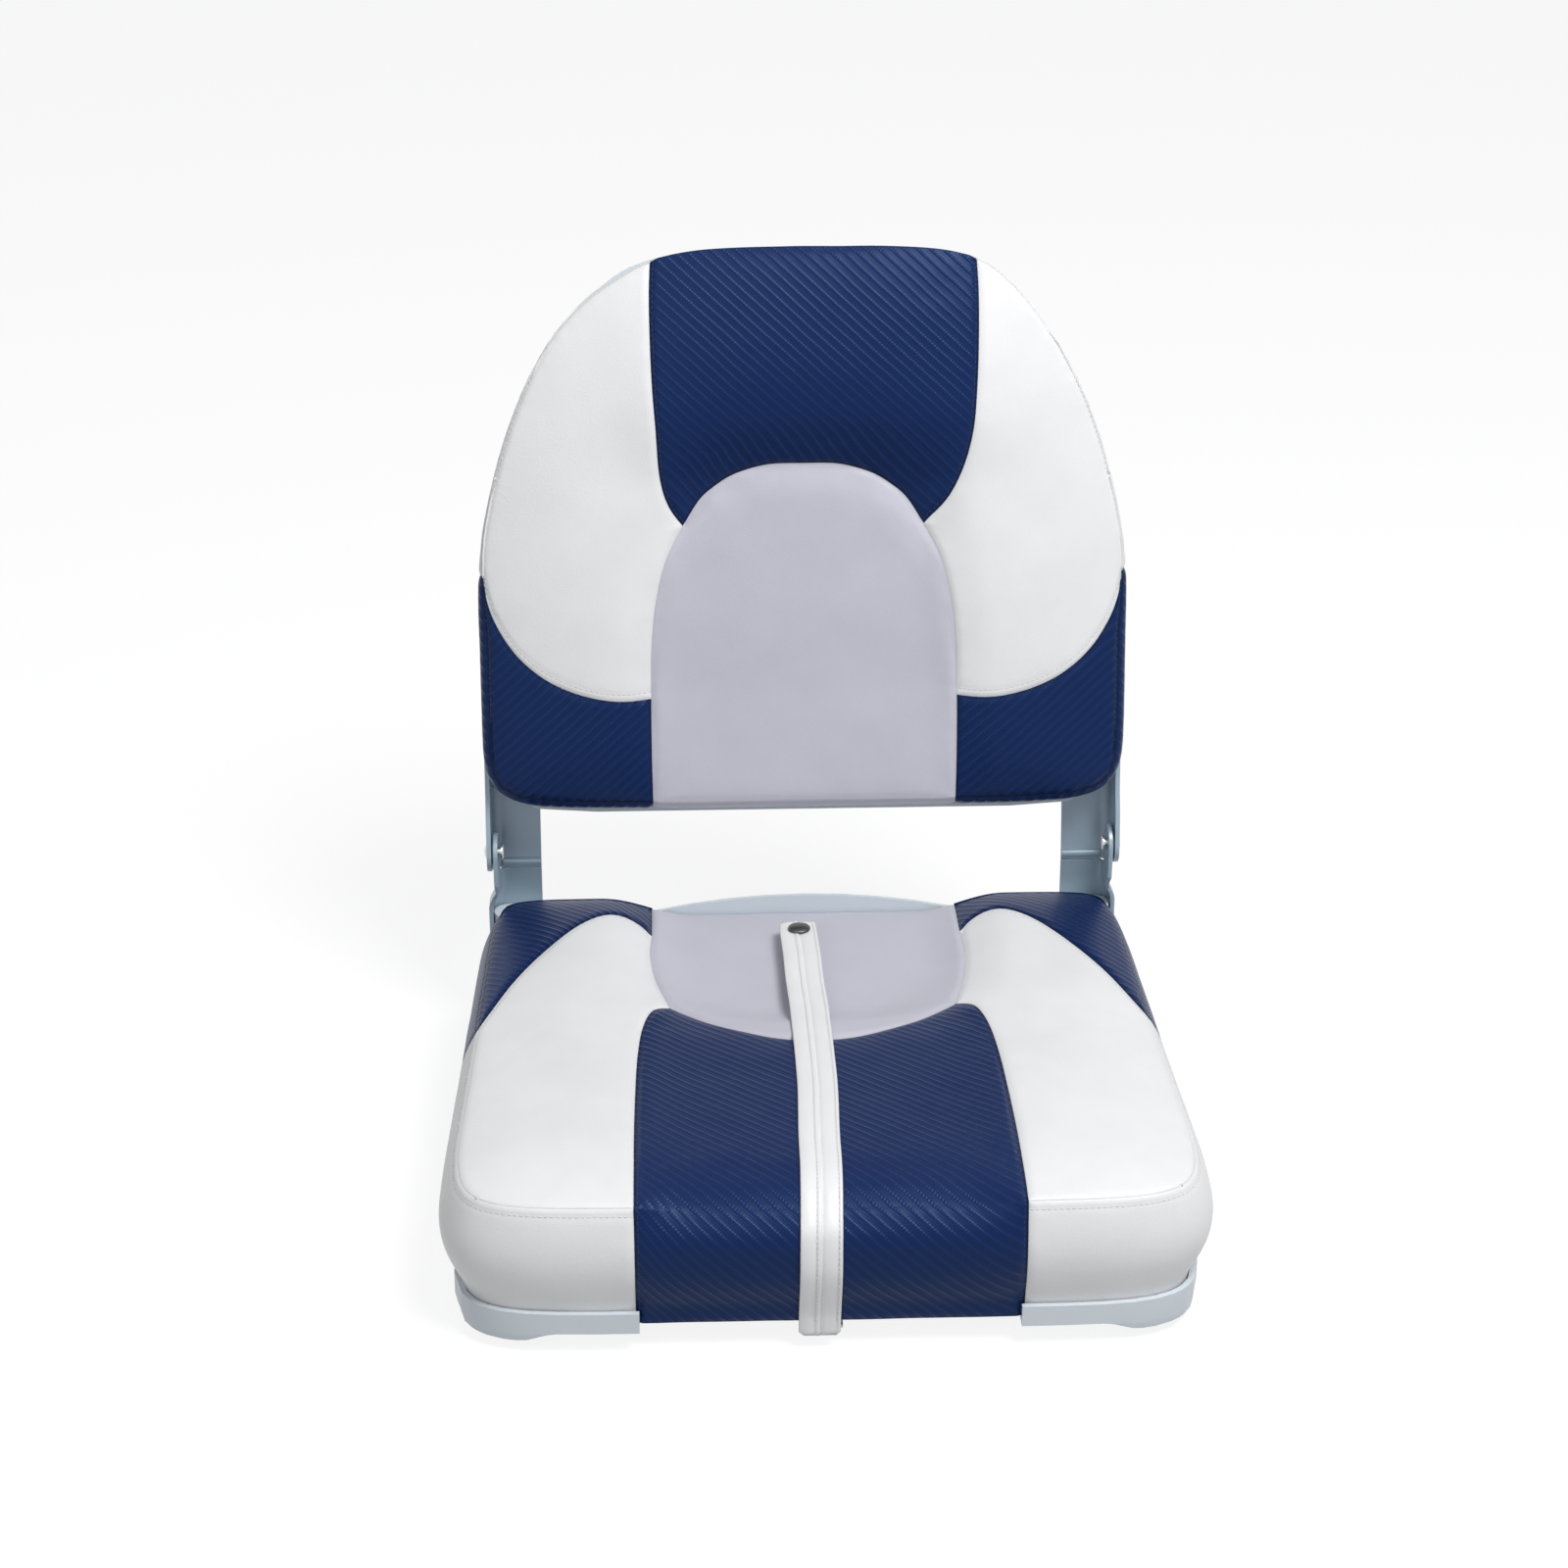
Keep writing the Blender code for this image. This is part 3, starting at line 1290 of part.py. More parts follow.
def upper_brackets():
    inner = UPPER_FLANGE_X
    outer = inner + PLATE
    rear = WEB_BEHIND_PIVOT + PLATE
    profile = bracket_profile(outer, rear, -EYE_RADIUS - OVERRUN, WEB_INNER_X)
    low = -UPPER_DROP - OVERRUN
    bracket = trimmed_bracket("hinge_upper_right", profile, upper_side_outline(), low, UPPER_TOP + OVERRUN)
    bead_x = inner - BEND_RADIUS
    bead_z = STOP_BEAD * 1.3 - UPPER_DROP
    bead_y = WEB_BEHIND_PIVOT + STOP_BEAD * 0.2
    inset = SEAT_GAP
    start, end = (WEB_INNER_X + inset, bead_y, bead_z), (bead_x, bead_y, bead_z)
    combine(bracket, rod("bead", 2 * STOP_BEAD, start, end), "UNION")
    bores = [rod("pivot", RIVET + 2 * SEAT_GAP, (WEB_INNER_X, 0, 0), (outer + OVERRUN, 0, 0))]
    for z in UPPER_SCREW_ZS:
        x = lower_screw_x()
        bores.append(rod("screw", HINGE_SCREW + 2 * SEAT_GAP, (x, BACK_BOARD, z), (x, rear + OVERRUN, z)))
    combine(bracket, joined("bores", bores), "DIFFERENCE")
    finish_part(bracket, BRACKET_PAINT, BACK)
    mirrored(bracket, "hinge_upper_left")


def hinge_hardware():
    rear = PIVOT_Y + WEB_BEHIND_PIVOT + SEAT_GAP
    back_rear = WEB_BEHIND_PIVOT + PLATE + SEAT_GAP
    grip = UPPER_FLANGE_X + PLATE + SEAT_GAP
    for side, tag in ((-1, "left"), (1, "right")):
        inner = FLANGE_INNER_X - SEAT_GAP
        profile = (
            (0, RIVET_DOME),
            (RIVET_HEAD * 0.2, RIVET_DOME * 0.92),
            (RIVET_HEAD * 0.37, RIVET_DOME * 0.62),
            (RIVET_HEAD * 0.47, RIVET_DOME * 0.25),
            (RIVET_HEAD / 2, 0),
            (RIVET / 2, 0),
            (RIVET / 2, inner - grip),
            (RIVET * 0.9, inner - grip),
            (RIVET * 0.8, inner - grip - RIVET_FOOT),
            (0, inner - grip - RIVET_FOOT),
        )
        turned(f"hinge_rivet_{tag}", profile, (side * inner, PIVOT_Y, PIVOT_Z), (-side, 0, 0), BRIGHT_STEEL)
        bore = RIVET / 2 + SEAT_GAP
        profile = (
            (bore, WASHER),
            (WASHER_DIAMETER / 2, WASHER),
            (WASHER_DIAMETER / 2, 0),
            (bore, 0),
        )
        turned(f"hinge_washer_{tag}", profile, (side * WASHER_X, PIVOT_Y, PIVOT_Z), (side, 0, 0), NYLON)
        x = side * lower_screw_x()
        for index, z in enumerate(LOWER_SCREW_ZS):
            name = f"lower_screw_{tag}_{index + 1}"
            head = HINGE_SCREW_HEAD_HEIGHT
            screw(name, HINGE_SCREW, HINGE_SCREW_HEAD, head, LOWER_SCREW_LENGTH, (x, rear, z), (0, 1, 0))
        for index, z in enumerate(UPPER_SCREW_ZS):
            name = f"upper_screw_{tag}_{index + 1}"
            length = back_rear + BOARD_REAR + BACK_BOARD - 4 * SEAT_GAP
            seat = (x, back_rear, z)
            head = HINGE_SCREW_HEAD_HEIGHT
            screw(name, HINGE_SCREW, HINGE_SCREW_HEAD, head, length, seat, (0, 1, 0), parent=BACK)


# Back cushion surface, drawn as (x, z) with the front at -Y


def back_power(z):
    return BACK_TOP_POWER_SHARE if z > BACK_WIDEST_Z else BACK_BOTTOM_POWER_SHARE


def side_fade(z):
    """How far the side has stopped bulging, from the back's widest line up."""
    return smooth_step(z, BACK_WIDEST_Z, BULGE_FADE_Z)


def back_half_width(z):
    """Half the width that the seam would have at a height without its corners."""
    drawn = min(max((z - SHOULDER_LOW_Z) / (SHOULDER_HIGH_Z - SHOULDER_LOW_Z), 0.0), 1.0)
    return BACK_HALF_WIDTH + SHOULDER_GAIN * side_fade(z) - SHOULDER_DRAW * drawn**SHOULDER_POWER_SHARE


def back_edge_bare(turn):
    """The seam round the front of the back: 0 is the middle of its foot and 4 of its top."""
    angle = math.radians(90 * (abs(turn) / 2 - 1))
    above = angle > 0
    power = BACK_TOP_POWER_SHARE if above else BACK_BOTTOM_POWER_SHARE
    rise = BACK_TOP_Z - BACK_WIDEST_Z if above else BACK_WIDEST_Z - BACK_BOTTOM_Z
    u, v = abs(math.cos(angle)), math.sin(angle)
    size = (u**power + abs(v) ** power) ** (1 / power)
    z = BACK_WIDEST_Z + rise * v / size
    x = back_half_width(z) * u / size
    return Vector((math.copysign(x, turn) if turn else x, z))


def back_edge(turn, out=0.0):
    turn = min(max(turn, -3.995), 3.995)
    return back_edge_bare(turn) + edge_normal(back_edge_bare, turn, 0.003) * out


def back_reach(x, z):
    above = z > BACK_WIDEST_Z
    power = back_power(z)
    rise = BACK_TOP_Z - BACK_WIDEST_Z if above else BACK_WIDEST_Z - BACK_BOTTOM_Z
    u, v = abs(x) / back_half_width(z), abs(z - BACK_WIDEST_Z) / rise
    return (u**power + v**power) ** (1 / power)


ARCH_POWER_SHARE = 3.2
ARCH_FROM_SHARE = 0.82
ARCH_TO_SHARE = 1.28
HEAD_FROM_SHARE = 0.94
HEAD_TO_SHARE = 1.14
HEAD_SIDE_FROM_SHARE = 0.8
HEAD_SIDE_TO_SHARE = 1.5
BACK_FALL_POWER_SHARE = 5


def arch_reach(x, z):
    beside = abs(x) / ARCH_HALF
    above = max(z - BACK_BOTTOM_Z, 0.0) / (ARCH_TOP_Z - BACK_BOTTOM_Z)
    return (beside**ARCH_POWER_SHARE + above**ARCH_POWER_SHARE) ** (1 / ARCH_POWER_SHARE)


def back_front(x, z):
    """How far the cover's outer face stands ahead of the pivot line."""
    reach = min(back_reach(x, z), 1.0)
    outside = smooth_step(arch_reach(x, z), ARCH_FROM_SHARE, ARCH_TO_SHARE)
    head = smooth_step(z / ARCH_TOP_Z, HEAD_FROM_SHARE, HEAD_TO_SHARE)
    head *= 1 - smooth_step(abs(x) / HEAD_PANEL_HALF, HEAD_SIDE_FROM_SHARE, HEAD_SIDE_TO_SHARE)
    crown = between(BACK_CENTRE_CROWN, BACK_CROWN, outside) + HEAD_CROWN * head
    return BACK_SEAM_FRONT + crown * (1 - reach**BACK_FALL_POWER_SHARE)


def gusset_point(turn, share, inset):
    """A point on the side of the back cushion, share 0 at the front seam and 1 at the shell."""
    seam = back_edge(turn)
    front = back_front(seam.x, seam.y) - inset * (1 - share) ** 2
    bulge = BACK_BULGE * (1 - (1 - BULGE_KEPT_SHARE) * side_fade(seam.y))
    swell = bulge * math.sin(math.pi * min(share * 1.1, 1.0))
    flat = back_edge(turn, swell - inset)
    return Vector((flat.x, -between(front, CUSHION_REAR, share), flat.y))


def on_back(flat, w):
    return Vector((flat.x, -(back_front(flat.x, flat.y) - VINYL * w), flat.y))


HEAD_TURN = solve(lambda t: back_edge(t).x, HEAD_PANEL_HALF, 3.9, 2.5)
SIDE_SEAM_TURN = solve(lambda t: back_edge(t).y, LOWER_PANEL_SIDE_Z, 1.0, 3.0)
FOOT_TURN = solve(lambda t: back_edge(t).x, ARCH_HALF, 0.02, 0.9)
LOWER_CORNER_TURN = solve(lambda t: back_edge(t).y, LOWER_CORNER_Z, 0.4, 1.9)
GUSSET_SHARES = (0.0, 0.22, 0.5, 0.8, 1.0)

# Steps of the back panels' grids, the same on both sides of a seam
ARCH_COLUMNS = 8
ARCH_UPPER_ROWS = 5
ARCH_LOWER_ROWS = 3
ARCH_ROWS = ARCH_UPPER_ROWS + ARCH_LOWER_ROWS
HEAD_ROWS = 7
BACK_COLUMNS = 6
SHOULDER_TURN = between(SIDE_SEAM_TURN, HEAD_TURN, 0.62)

# Seam lines of the back, as shares of the way between their two ends
LOWER_ARCH_SHARES = ((0.3, 0.3), (0.75, 0.65))
UPPER_ARCH_SHARES = ((0.045, 0.3), (0.2, 0.58), (0.52, 0.82))
ARCH_TOP_SHARES = ((0.0, 1.0), (0.285, 0.988), (0.55, 0.855), (0.7, 0.69), (0.85, 0.45))
HEAD_SEAM_SHARES = (
    (0.859, 0.092),
    (0.932, 0.207),
    (0.97, 0.339),
    (0.9935, 0.517),
    (1.005, 0.7),
    (1.008, 0.885),
)
LOWER_SEAM_SHARES = (
    (0.13, -0.01),
    (0.28, 0.005),
    (0.45, 0.06),
    (0.63, 0.17),
    (0.8, 0.36),
    (0.92, 0.6),
    (0.975, 0.8),
)


def lower_arch_side(side, out):
    """The side of the grey panel from its foot to where the lower seam meets it."""
    foot = back_edge(FOOT_TURN, out)
    meet = arch_meet()
    points = [(side * foot.x, foot.y)]
    for across, up in LOWER_ARCH_SHARES:
        points.append((side * between(foot.x, meet.x, across), between(foot.y, meet.y, up)))
    return smooth_line(points + [(side * meet.x, meet.y)])


def upper_arch_side(side):
    """The side of the grey panel from the lower seam up to the head panel."""
    meet = arch_meet()
    points = [(side * meet.x, meet.y)]
    for across, up in UPPER_ARCH_SHARES:
        x = between(meet.x, ARCH_SPLIT_X, across)
        points.append((side * x, between(meet.y, ARCH_SPLIT_Z, up)))
    return smooth_line(points + [(side * ARCH_SPLIT_X, ARCH_SPLIT_Z)])


def arch_top():
    right = []
    for across, up in ARCH_TOP_SHARES:
        right.append((ARCH_SPLIT_X * across, between(ARCH_SPLIT_Z, ARCH_TOP_Z, up)))
    right.append((ARCH_SPLIT_X, ARCH_SPLIT_Z))
    left = [(-x, z) for x, z in right[:0:-1]]
    return left + right


def head_seam(side, out):
    end = back_edge(HEAD_TURN, out)
    points = [(side * ARCH_SPLIT_X, ARCH_SPLIT_Z)]
    for across, up in HEAD_SEAM_SHARES:
        points.append((side * HEAD_PANEL_HALF * across, between(ARCH_SPLIT_Z, end.y, up)))
    return points + [(side * end.x, end.y)]


def arch_meet():
    """Where the white and lower navy panels meet the arch."""
    return Vector((ARCH_HALF, LOWER_PANEL_Z))


def lower_seam(out):
    start = arch_meet()
    end = back_edge(SIDE_SEAM_TURN, out)
    points = [tuple(start)]
    for across, up in LOWER_SEAM_SHARES:
        points.append((between(start.x, end.x, across), between(start.y, end.y, up)))
    return points + [tuple(end)]


def back_run(start, end, out):
    return lambda share: back_edge(between(start, end, share), out)


def white_back_edges(out):
    """From the lower seam up to the head panel, inner edge on the arch and the head seam."""
    inner = in_steps((upper_arch_side(1), ARCH_UPPER_ROWS), (smooth_line(head_seam(1, out)), HEAD_ROWS))
    front = smooth_line(lower_seam(out))
    outer = back_run(SIDE_SEAM_TURN, SHOULDER_TURN, out)
    rear = back_run(HEAD_TURN, SHOULDER_TURN, out)
    return front, rear, inner, outer


def lower_back_edges(out):
    """The navy panel beside the arch's foot."""
    front = back_run(FOOT_TURN, LOWER_CORNER_TURN, out)
    rear = smooth_line(lower_seam(out))
    inner = lower_arch_side(1, out)
    outer = back_run(LOWER_CORNER_TURN, SIDE_SEAM_TURN, out)
    return front, rear, inner, outer


def back_panel(name, columns, rows, edges, size, finish):
    outer, inner = patch(*edges(0.0)), patch(*edges(-VINYL))

    def place(a, b, w):
        a = trimmed(a, SEAM_GAP, size[0])
        b = trimmed(b, SEAM_GAP, size[1])
        return on_back(inner(a, b) if w > 0.5 else outer(a, b), w)

    return link(mapped_block(name, columns, rows, 1, place), finish, BACK)


def gusset(name, steps, start, middle, end, finish):
    length = (back_edge(end) - back_edge(start)).length
    depth = BACK_SEAM_FRONT - CUSHION_REAR
    columns = sum(steps)
    turns = in_steps(
        (lambda share: between(start, middle, share), steps[0]),
        (lambda share: between(middle, end, share), steps[1]),
    )

    def place(a, b, w):
        turn = turns(trimmed(a, SEAM_GAP, length))
        share = between(2 * SEAM_GAP / depth, 1.0, spaced(GUSSET_SHARES, b))
        return gusset_point(turn, share, VINYL * w)

    return link(mapped_block(name, columns, len(GUSSET_SHARES) - 1, 1, place), finish, BACK)


def head_place(a, b, w):
    """The head panel, from the arch over the top edge and back to the shell."""
    rows = HEAD_ROWS + len(GUSSET_SHARES) - 1
    split = HEAD_ROWS / rows
    a = trimmed(a, SEAM_GAP, HEAD_PANEL_HALF * 2)
    inset = VINYL * w
    if b <= split + 1e-6:
        draw = SEAM_GAP / (BACK_TOP_Z - ARCH_TOP_Z)
        along = between(draw, 1.0, min(b / split, 1.0))

        def edge(share):
            return mirror_edge(between(-HEAD_TURN_SPAN, HEAD_TURN_SPAN, share), -inset)

        left, right = (smooth_line(head_seam(side, -inset)) for side in (-1, 1))
        flat = patch(smooth_line(arch_top()), edge, left, right)
        return on_back(flat(a, along), w)
    share = spaced(GUSSET_SHARES, (b - split) / (1 - split))
    across = between(-HEAD_TURN_SPAN, HEAD_TURN_SPAN, a)
    return mirror_gusset(across, share, inset)


HEAD_TURN_SPAN = 4 - HEAD_TURN


def mirror_edge(span, out):
    """The edge near the top of the back, span 0 at its middle."""
    point = back_edge(4 - abs(span), out)
    return Vector((math.copysign(point.x, span), point.y))


def mirror_gusset(span, share, inset):
    point = gusset_point(4 - abs(span), share, inset)
    point.x = math.copysign(point.x, span)
    return point


def arch_place(a, b, w):
    """The grey panel, from the top of the arch down over the foot and back to the shell."""
    rows = ARCH_ROWS + len(GUSSET_SHARES) - 1
    split = ARCH_ROWS / rows
    a = trimmed(a, SEAM_GAP, ARCH_HALF * 2)
    inset = VINYL * w

    def side(sign):
        upper, lower = upper_arch_side(sign), lower_arch_side(sign, -inset)
        return in_steps(
            (lambda share: upper(1 - share), ARCH_UPPER_ROWS),
            (lambda share: lower(1 - share), ARCH_LOWER_ROWS),
        )

    if b <= split + 1e-6:
        draw = SEAM_GAP / (ARCH_TOP_Z - BACK_BOTTOM_Z)
        along = between(draw, 1.0, min(b / split, 1.0))

        def edge(share):
            return back_edge(between(-FOOT_TURN, FOOT_TURN, share), -inset)

        flat = patch(smooth_line(arch_top()), edge, side(-1), side(1))
        return on_back(flat(a, along), w)
    share = spaced(GUSSET_SHARES, (b - split) / (1 - split))
    return gusset_point(between(-FOOT_TURN, FOOT_TURN, a), share, inset)


def back_covers():
    rows = len(GUSSET_SHARES) - 1
    head = mapped_block("back_panel_navy_head", ARCH_COLUMNS, HEAD_ROWS + rows, 1, head_place)
    link(head, NAVY_VINYL, BACK)
    arch = mapped_block("back_panel_grey", ARCH_COLUMNS, ARCH_ROWS + rows, 1, arch_place)
    link(arch, GREY_VINYL, BACK)
    tall = BACK_TOP_Z - LOWER_PANEL_Z
    wide = BACK_HALF_WIDTH - ARCH_HALF
    side_rows = ARCH_UPPER_ROWS + HEAD_ROWS
    low_steps = (BACK_COLUMNS, ARCH_LOWER_ROWS)
    high_steps = (side_rows, BACK_COLUMNS)
    white = ("back_panel_white_right", BACK_COLUMNS, side_rows, white_back_edges, (wide, tall))
    navy = ("back_panel_navy_right", BACK_COLUMNS, ARCH_LOWER_ROWS, lower_back_edges, (wide, wide / 2))
    pieces = (
        back_panel(*white, WHITE_VINYL),
        back_panel(*navy, NAVY_VINYL),
        gusset("back_gusset_navy_right", low_steps, FOOT_TURN, LOWER_CORNER_TURN, SIDE_SEAM_TURN, NAVY_VINYL),
        gusset("back_gusset_white_right", high_steps, SIDE_SEAM_TURN, SHOULDER_TURN, HEAD_TURN, WHITE_VINYL),
    )
    for piece in pieces:
        mirrored(piece, piece.name.replace("right", "left"))


def back_foam():
    draw = VINYL + FOAM_EASE

    def place(a, b, w):
        u, v = 2 * a - 1, 2 * b - 1
        longest = max(abs(u), abs(v))
        middle = Vector((0, between(BACK_BOTTOM_Z, BACK_TOP_Z, 0.5)))
        if longest < 1e-6:
            return Vector((0, -(back_front(0, middle.y) - draw), middle.y))
        edge_u, edge_v = u / longest, v / longest
        if edge_v <= -1 + 1e-9:
            turn = edge_u
        elif edge_v >= 1 - 1e-9:
            turn = math.copysign(4 - abs(edge_u), edge_u)
        else:
            turn = math.copysign(2 + edge_v, edge_u)
        seam = back_edge(turn, -draw)
        flat = middle.lerp(seam, longest)
        if w < 1e-6:
            return Vector((flat.x, -(back_front(flat.x, flat.y) - draw), flat.y))
        rear = CUSHION_REAR + SEAT_GAP
        front = back_front(seam.x, seam.y) - draw
        return Vector((flat.x, -between(front, rear, w), flat.y))

    return link(mapped_block("back_foam", 12, 12, 2, place, flat_base=True), FOAM, BACK)


# Moulded back shell


def shell_ring(out, y):
    """The shell's outline, wider than the cushion's seam at the sides and lower at its foot."""
    ring = []
    for point in ring_of(back_edge, SHELL_SIDE_SPARE + out):
        below = max(BACK_WIDEST_Z - point.y, 0.0) / (BACK_WIDEST_Z - BACK_BOTTOM_Z)
        drop = (BACK_BOTTOM_Z - SHELL_BOTTOM_Z - SHELL_SIDE_SPARE) * below
        ring.append((point.x, y, point.y - drop))
    return ring


def back_shell():
    half = SHELL_EDGE_ROUND * (1 - math.sqrt(0.5))
    shell = loft(
        "back_shell",
        [
            shell_ring(0, -SHELL_FRONT),
            shell_ring(0, SHELL_REAR - SHELL_EDGE_ROUND),
            shell_ring(-half, SHELL_REAR - half),
            shell_ring(-SHELL_EDGE_ROUND, SHELL_REAR),
        ],
    )
    floor = SHELL_REAR - SHELL_WALL
    inner_round = SHELL_EDGE_ROUND + SHELL_WALL / 2
    hollow = loft(
        "hollow",
        [
            shell_ring(-SHELL_WALL, -SHELL_FRONT - OVERRUN),
            shell_ring(-SHELL_WALL, floor - SHELL_EDGE_ROUND / 2),
            shell_ring(-inner_round, floor),
        ],
    )
    combine(shell, hollow, "DIFFERENCE")
    middle = between(SHELL_BOTTOM_Z, BACK_TOP_Z, 0.5)
    rear = shell_ring(0, SHELL_REAR + OVERRUN)
    floor = shell_ring(0, SHELL_REAR - SHELL_PANEL_STEP)
    share = 1 - SHELL_PANEL_MARGIN / BACK_HALF_WIDTH
    rings = [[(x * share, y, between(middle, z, share)) for x, y, z in ring] for ring in (floor, rear)]
    step = loft("step", rings)
    combine(shell, step, "DIFFERENCE")
    seat_y = -BOARD_REAR + SEAT_GAP
    bosses, bores = [], []
    for side in (-1, 1):
        for z in UPPER_SCREW_ZS:
            x = side * lower_screw_x()
            bosses.append(rod("boss", SHELL_BOSS, (x, seat_y, z), (x, SHELL_REAR - SHELL_WALL / 2, z)))
            start, end = (x, seat_y - OVERRUN, z), (x, SHELL_REAR + OVERRUN, z)
            bores.append(rod("bore", HINGE_SCREW + 2 * SEAT_GAP, start, end))
    combine(shell, joined("bosses", bosses), "UNION")
    combine(shell, joined("bores", bores), "DIFFERENCE")
    return finish_part(shell, SHELL_PLASTIC, BACK)


def back_board():
    inset = SHELL_WALL + SEAT_GAP * 2
    ring = shell_ring(-inset, 0)
    outline = [(x, z) for x, _, z in ring]
    middle_y = -(BOARD_REAR + BACK_BOARD / 2)
    board = plate("back_board", outline, BACK_BOARD, FACING_Y, (0, middle_y, 0))
    pilots = []
    for side in (-1, 1):
        for z in UPPER_SCREW_ZS:
            x = side * lower_screw_x()
            tip = -BOARD_REAR - BACK_BOARD + SEAT_GAP * 2
            pilots.append(rod("pilot", HINGE_SCREW + 2 * SEAT_GAP, (x, 0, z), (x, tip, z)))
    combine(board, joined("pilots", pilots), "DIFFERENCE")
    return finish_part(board, BOARD_PLY, BACK)


# Snap strap


def strap_screw_y():
    return SEAT_FRONT_Y + NOTCH_DEPTH + STRAP_SCREW_HEAD


def strap_stations():
    """The strap's inner face on the middle plane, from its foot under the seat to its free end."""
    centre = 0.5 + STRAP_OFFSET_X / (2 * FRONT_PANEL_HALF)
    lift = STRAP_CLEAR
    over = []
    for row in range(NAVY_FRONT_ROWS, -1, -1):
        point = NAVY_FRONT_PLACE(centre, row / NAVY_FRONT_ROWS, 0.0, lift)
        over.append(Vector((point.y, point.z)))
    foot = Vector((over[0].x, STRAP_FOOT_Z))
    last = over[-1]
    end = Vector((STRAP_END_Y, seat_top(0, STRAP_END_Y) + STRAP_END_LIFT))
    flat_end = 1 - 2 * SNAP_SET_BACK / (end - last).length
    free = []
    for share in (0.25, 0.5, 0.75, 1.0):
        sag = STRAP * math.sin(math.pi * share) ** 2
        point = last.lerp(end, flat_end * share)
        free.append(Vector((point.x, point.y - sag)))
    return [foot] + over + free + [end]


def strap_sections():
    """Pairs of (inner, outer) points along the strap."""
    line = strap_stations()
    pairs = []
    for index, point in enumerate(line):
        before = line[max(index - 1, 0)]
        after = line[min(index + 1, len(line) - 1)]
        along = (after - before).normalized()
        out = Vector((-along.y, along.x))
        pairs.append((point, point + out * STRAP))
    return pairs


def strap_pivot():
    inner, outer = strap_sections()[0]
    return Vector((0, (inner.x + outer.x) / 2, STRAP_FOOT_Z + STRAP / 2))


def snap_place():
    """The middle of the snap on the strap: its inner point, its outer point and the way out."""
    pairs = strap_sections()
    along = (pairs[-1][0] - pairs[-2][0]).normalized()
    out = Vector((-along.y, along.x))
    inner = pairs[-1][0] - along * SNAP_SET_BACK
    return inner, inner + out * STRAP, out


def snap_strap():
    pairs = strap_sections()
    pivot = strap_pivot()
    frame = bpy.data.objects.new("strap_pivot", None)
    frame.location = pivot
    PARTS.objects.link(frame)
    rows = len(pairs) - 1

    def place(a, b, w):
        inner, outer = pairs[round(b * rows)]
        point = inner.lerp(outer, w)
        x = STRAP_OFFSET_X + (a - 0.5) * STRAP_WIDTH
        return Vector((x, point.x, point.y)) - pivot

    strap = mapped_block("strap", 1, rows, 1, place)
    inner, outer, out = snap_place()
    reach = out * OVERRUN * 3
    start = Vector((STRAP_OFFSET_X, inner.x - reach.x, inner.y - reach.y)) - pivot
    end = Vector((STRAP_OFFSET_X, outer.x + reach.x, outer.y + reach.y)) - pivot
    combine(strap, rod("hole", SNAP_POST + 2 * SEAT_GAP, start, end), "DIFFERENCE")
    finish_part(strap, WHITE_VINYL, frame)
    axis = (0, out.x, out.y)
    top = Vector((STRAP_OFFSET_X, outer.x + out.x * SEAT_GAP, outer.y + out.y * SEAT_GAP)) - pivot
    post = STRAP + SEAT_GAP * 2 + SNAP_SOCKET_HEIGHT * 0.6
    cap = (
        (0, SNAP_DOME),
        (SNAP_CAP * 0.28, SNAP_DOME * 0.9),
        (SNAP_CAP * 0.44, SNAP_DOME * 0.5),
        (SNAP_CAP / 2, 0),
        (SNAP_POST / 2, 0),
        (SNAP_POST / 2, -post),
        (0, -post),
    )
    turned("snap_cap", cap, top, axis, SNAP_METAL, frame)
    under = Vector((STRAP_OFFSET_X, inner.x - out.x * SEAT_GAP, inner.y - out.y * SEAT_GAP)) - pivot
    bore = SNAP_POST / 2 + SEAT_GAP
    mouth = SNAP_SOCKET * 0.36
    socket = (
        (bore, 0),
        (SNAP_SOCKET / 2, 0),
        (SNAP_SOCKET / 2, -SNAP_SOCKET_HEIGHT),
        (mouth, -SNAP_SOCKET_HEIGHT),
        (mouth, -SNAP_SOCKET_HEIGHT * 0.4),
        (bore, -SNAP_SOCKET_HEIGHT * 0.4),
    )
    turned("snap_socket", socket, under, axis, BRIGHT_STEEL, frame)


def strap_anchor():
    """The strap's sewn end, screwed up under the deck."""
    top = DECK_UNDER_Z - SEAT_GAP
    inner, _ = strap_sections()[0]
    front = inner.x + STRAP
    half = STRAP_WIDTH / 2
    low = (STRAP_OFFSET_X - half, front, top - STRAP)
    high = (STRAP_OFFSET_X + half, front + STRAP_TAB, top)
    tab = box("strap_tab", low, high)
    y = strap_screw_y()
    start, end = (STRAP_OFFSET_X, y, 0), (STRAP_OFFSET_X, y, DECK_Z)
    combine(tab, rod("hole", STRAP_SCREW + 2 * SEAT_GAP, start, end), "DIFFERENCE")
    finish_part(tab, WHITE_VINYL)
    seat = (STRAP_OFFSET_X, y, top - STRAP - SEAT_GAP)
    length = DECK_Z - seat[2] - SEAT_GAP
    screw("strap_screw", STRAP_SCREW, STRAP_SCREW_HEAD, STRAP_SCREW_HEAD_HEIGHT, length, seat, (0, 0, -1))


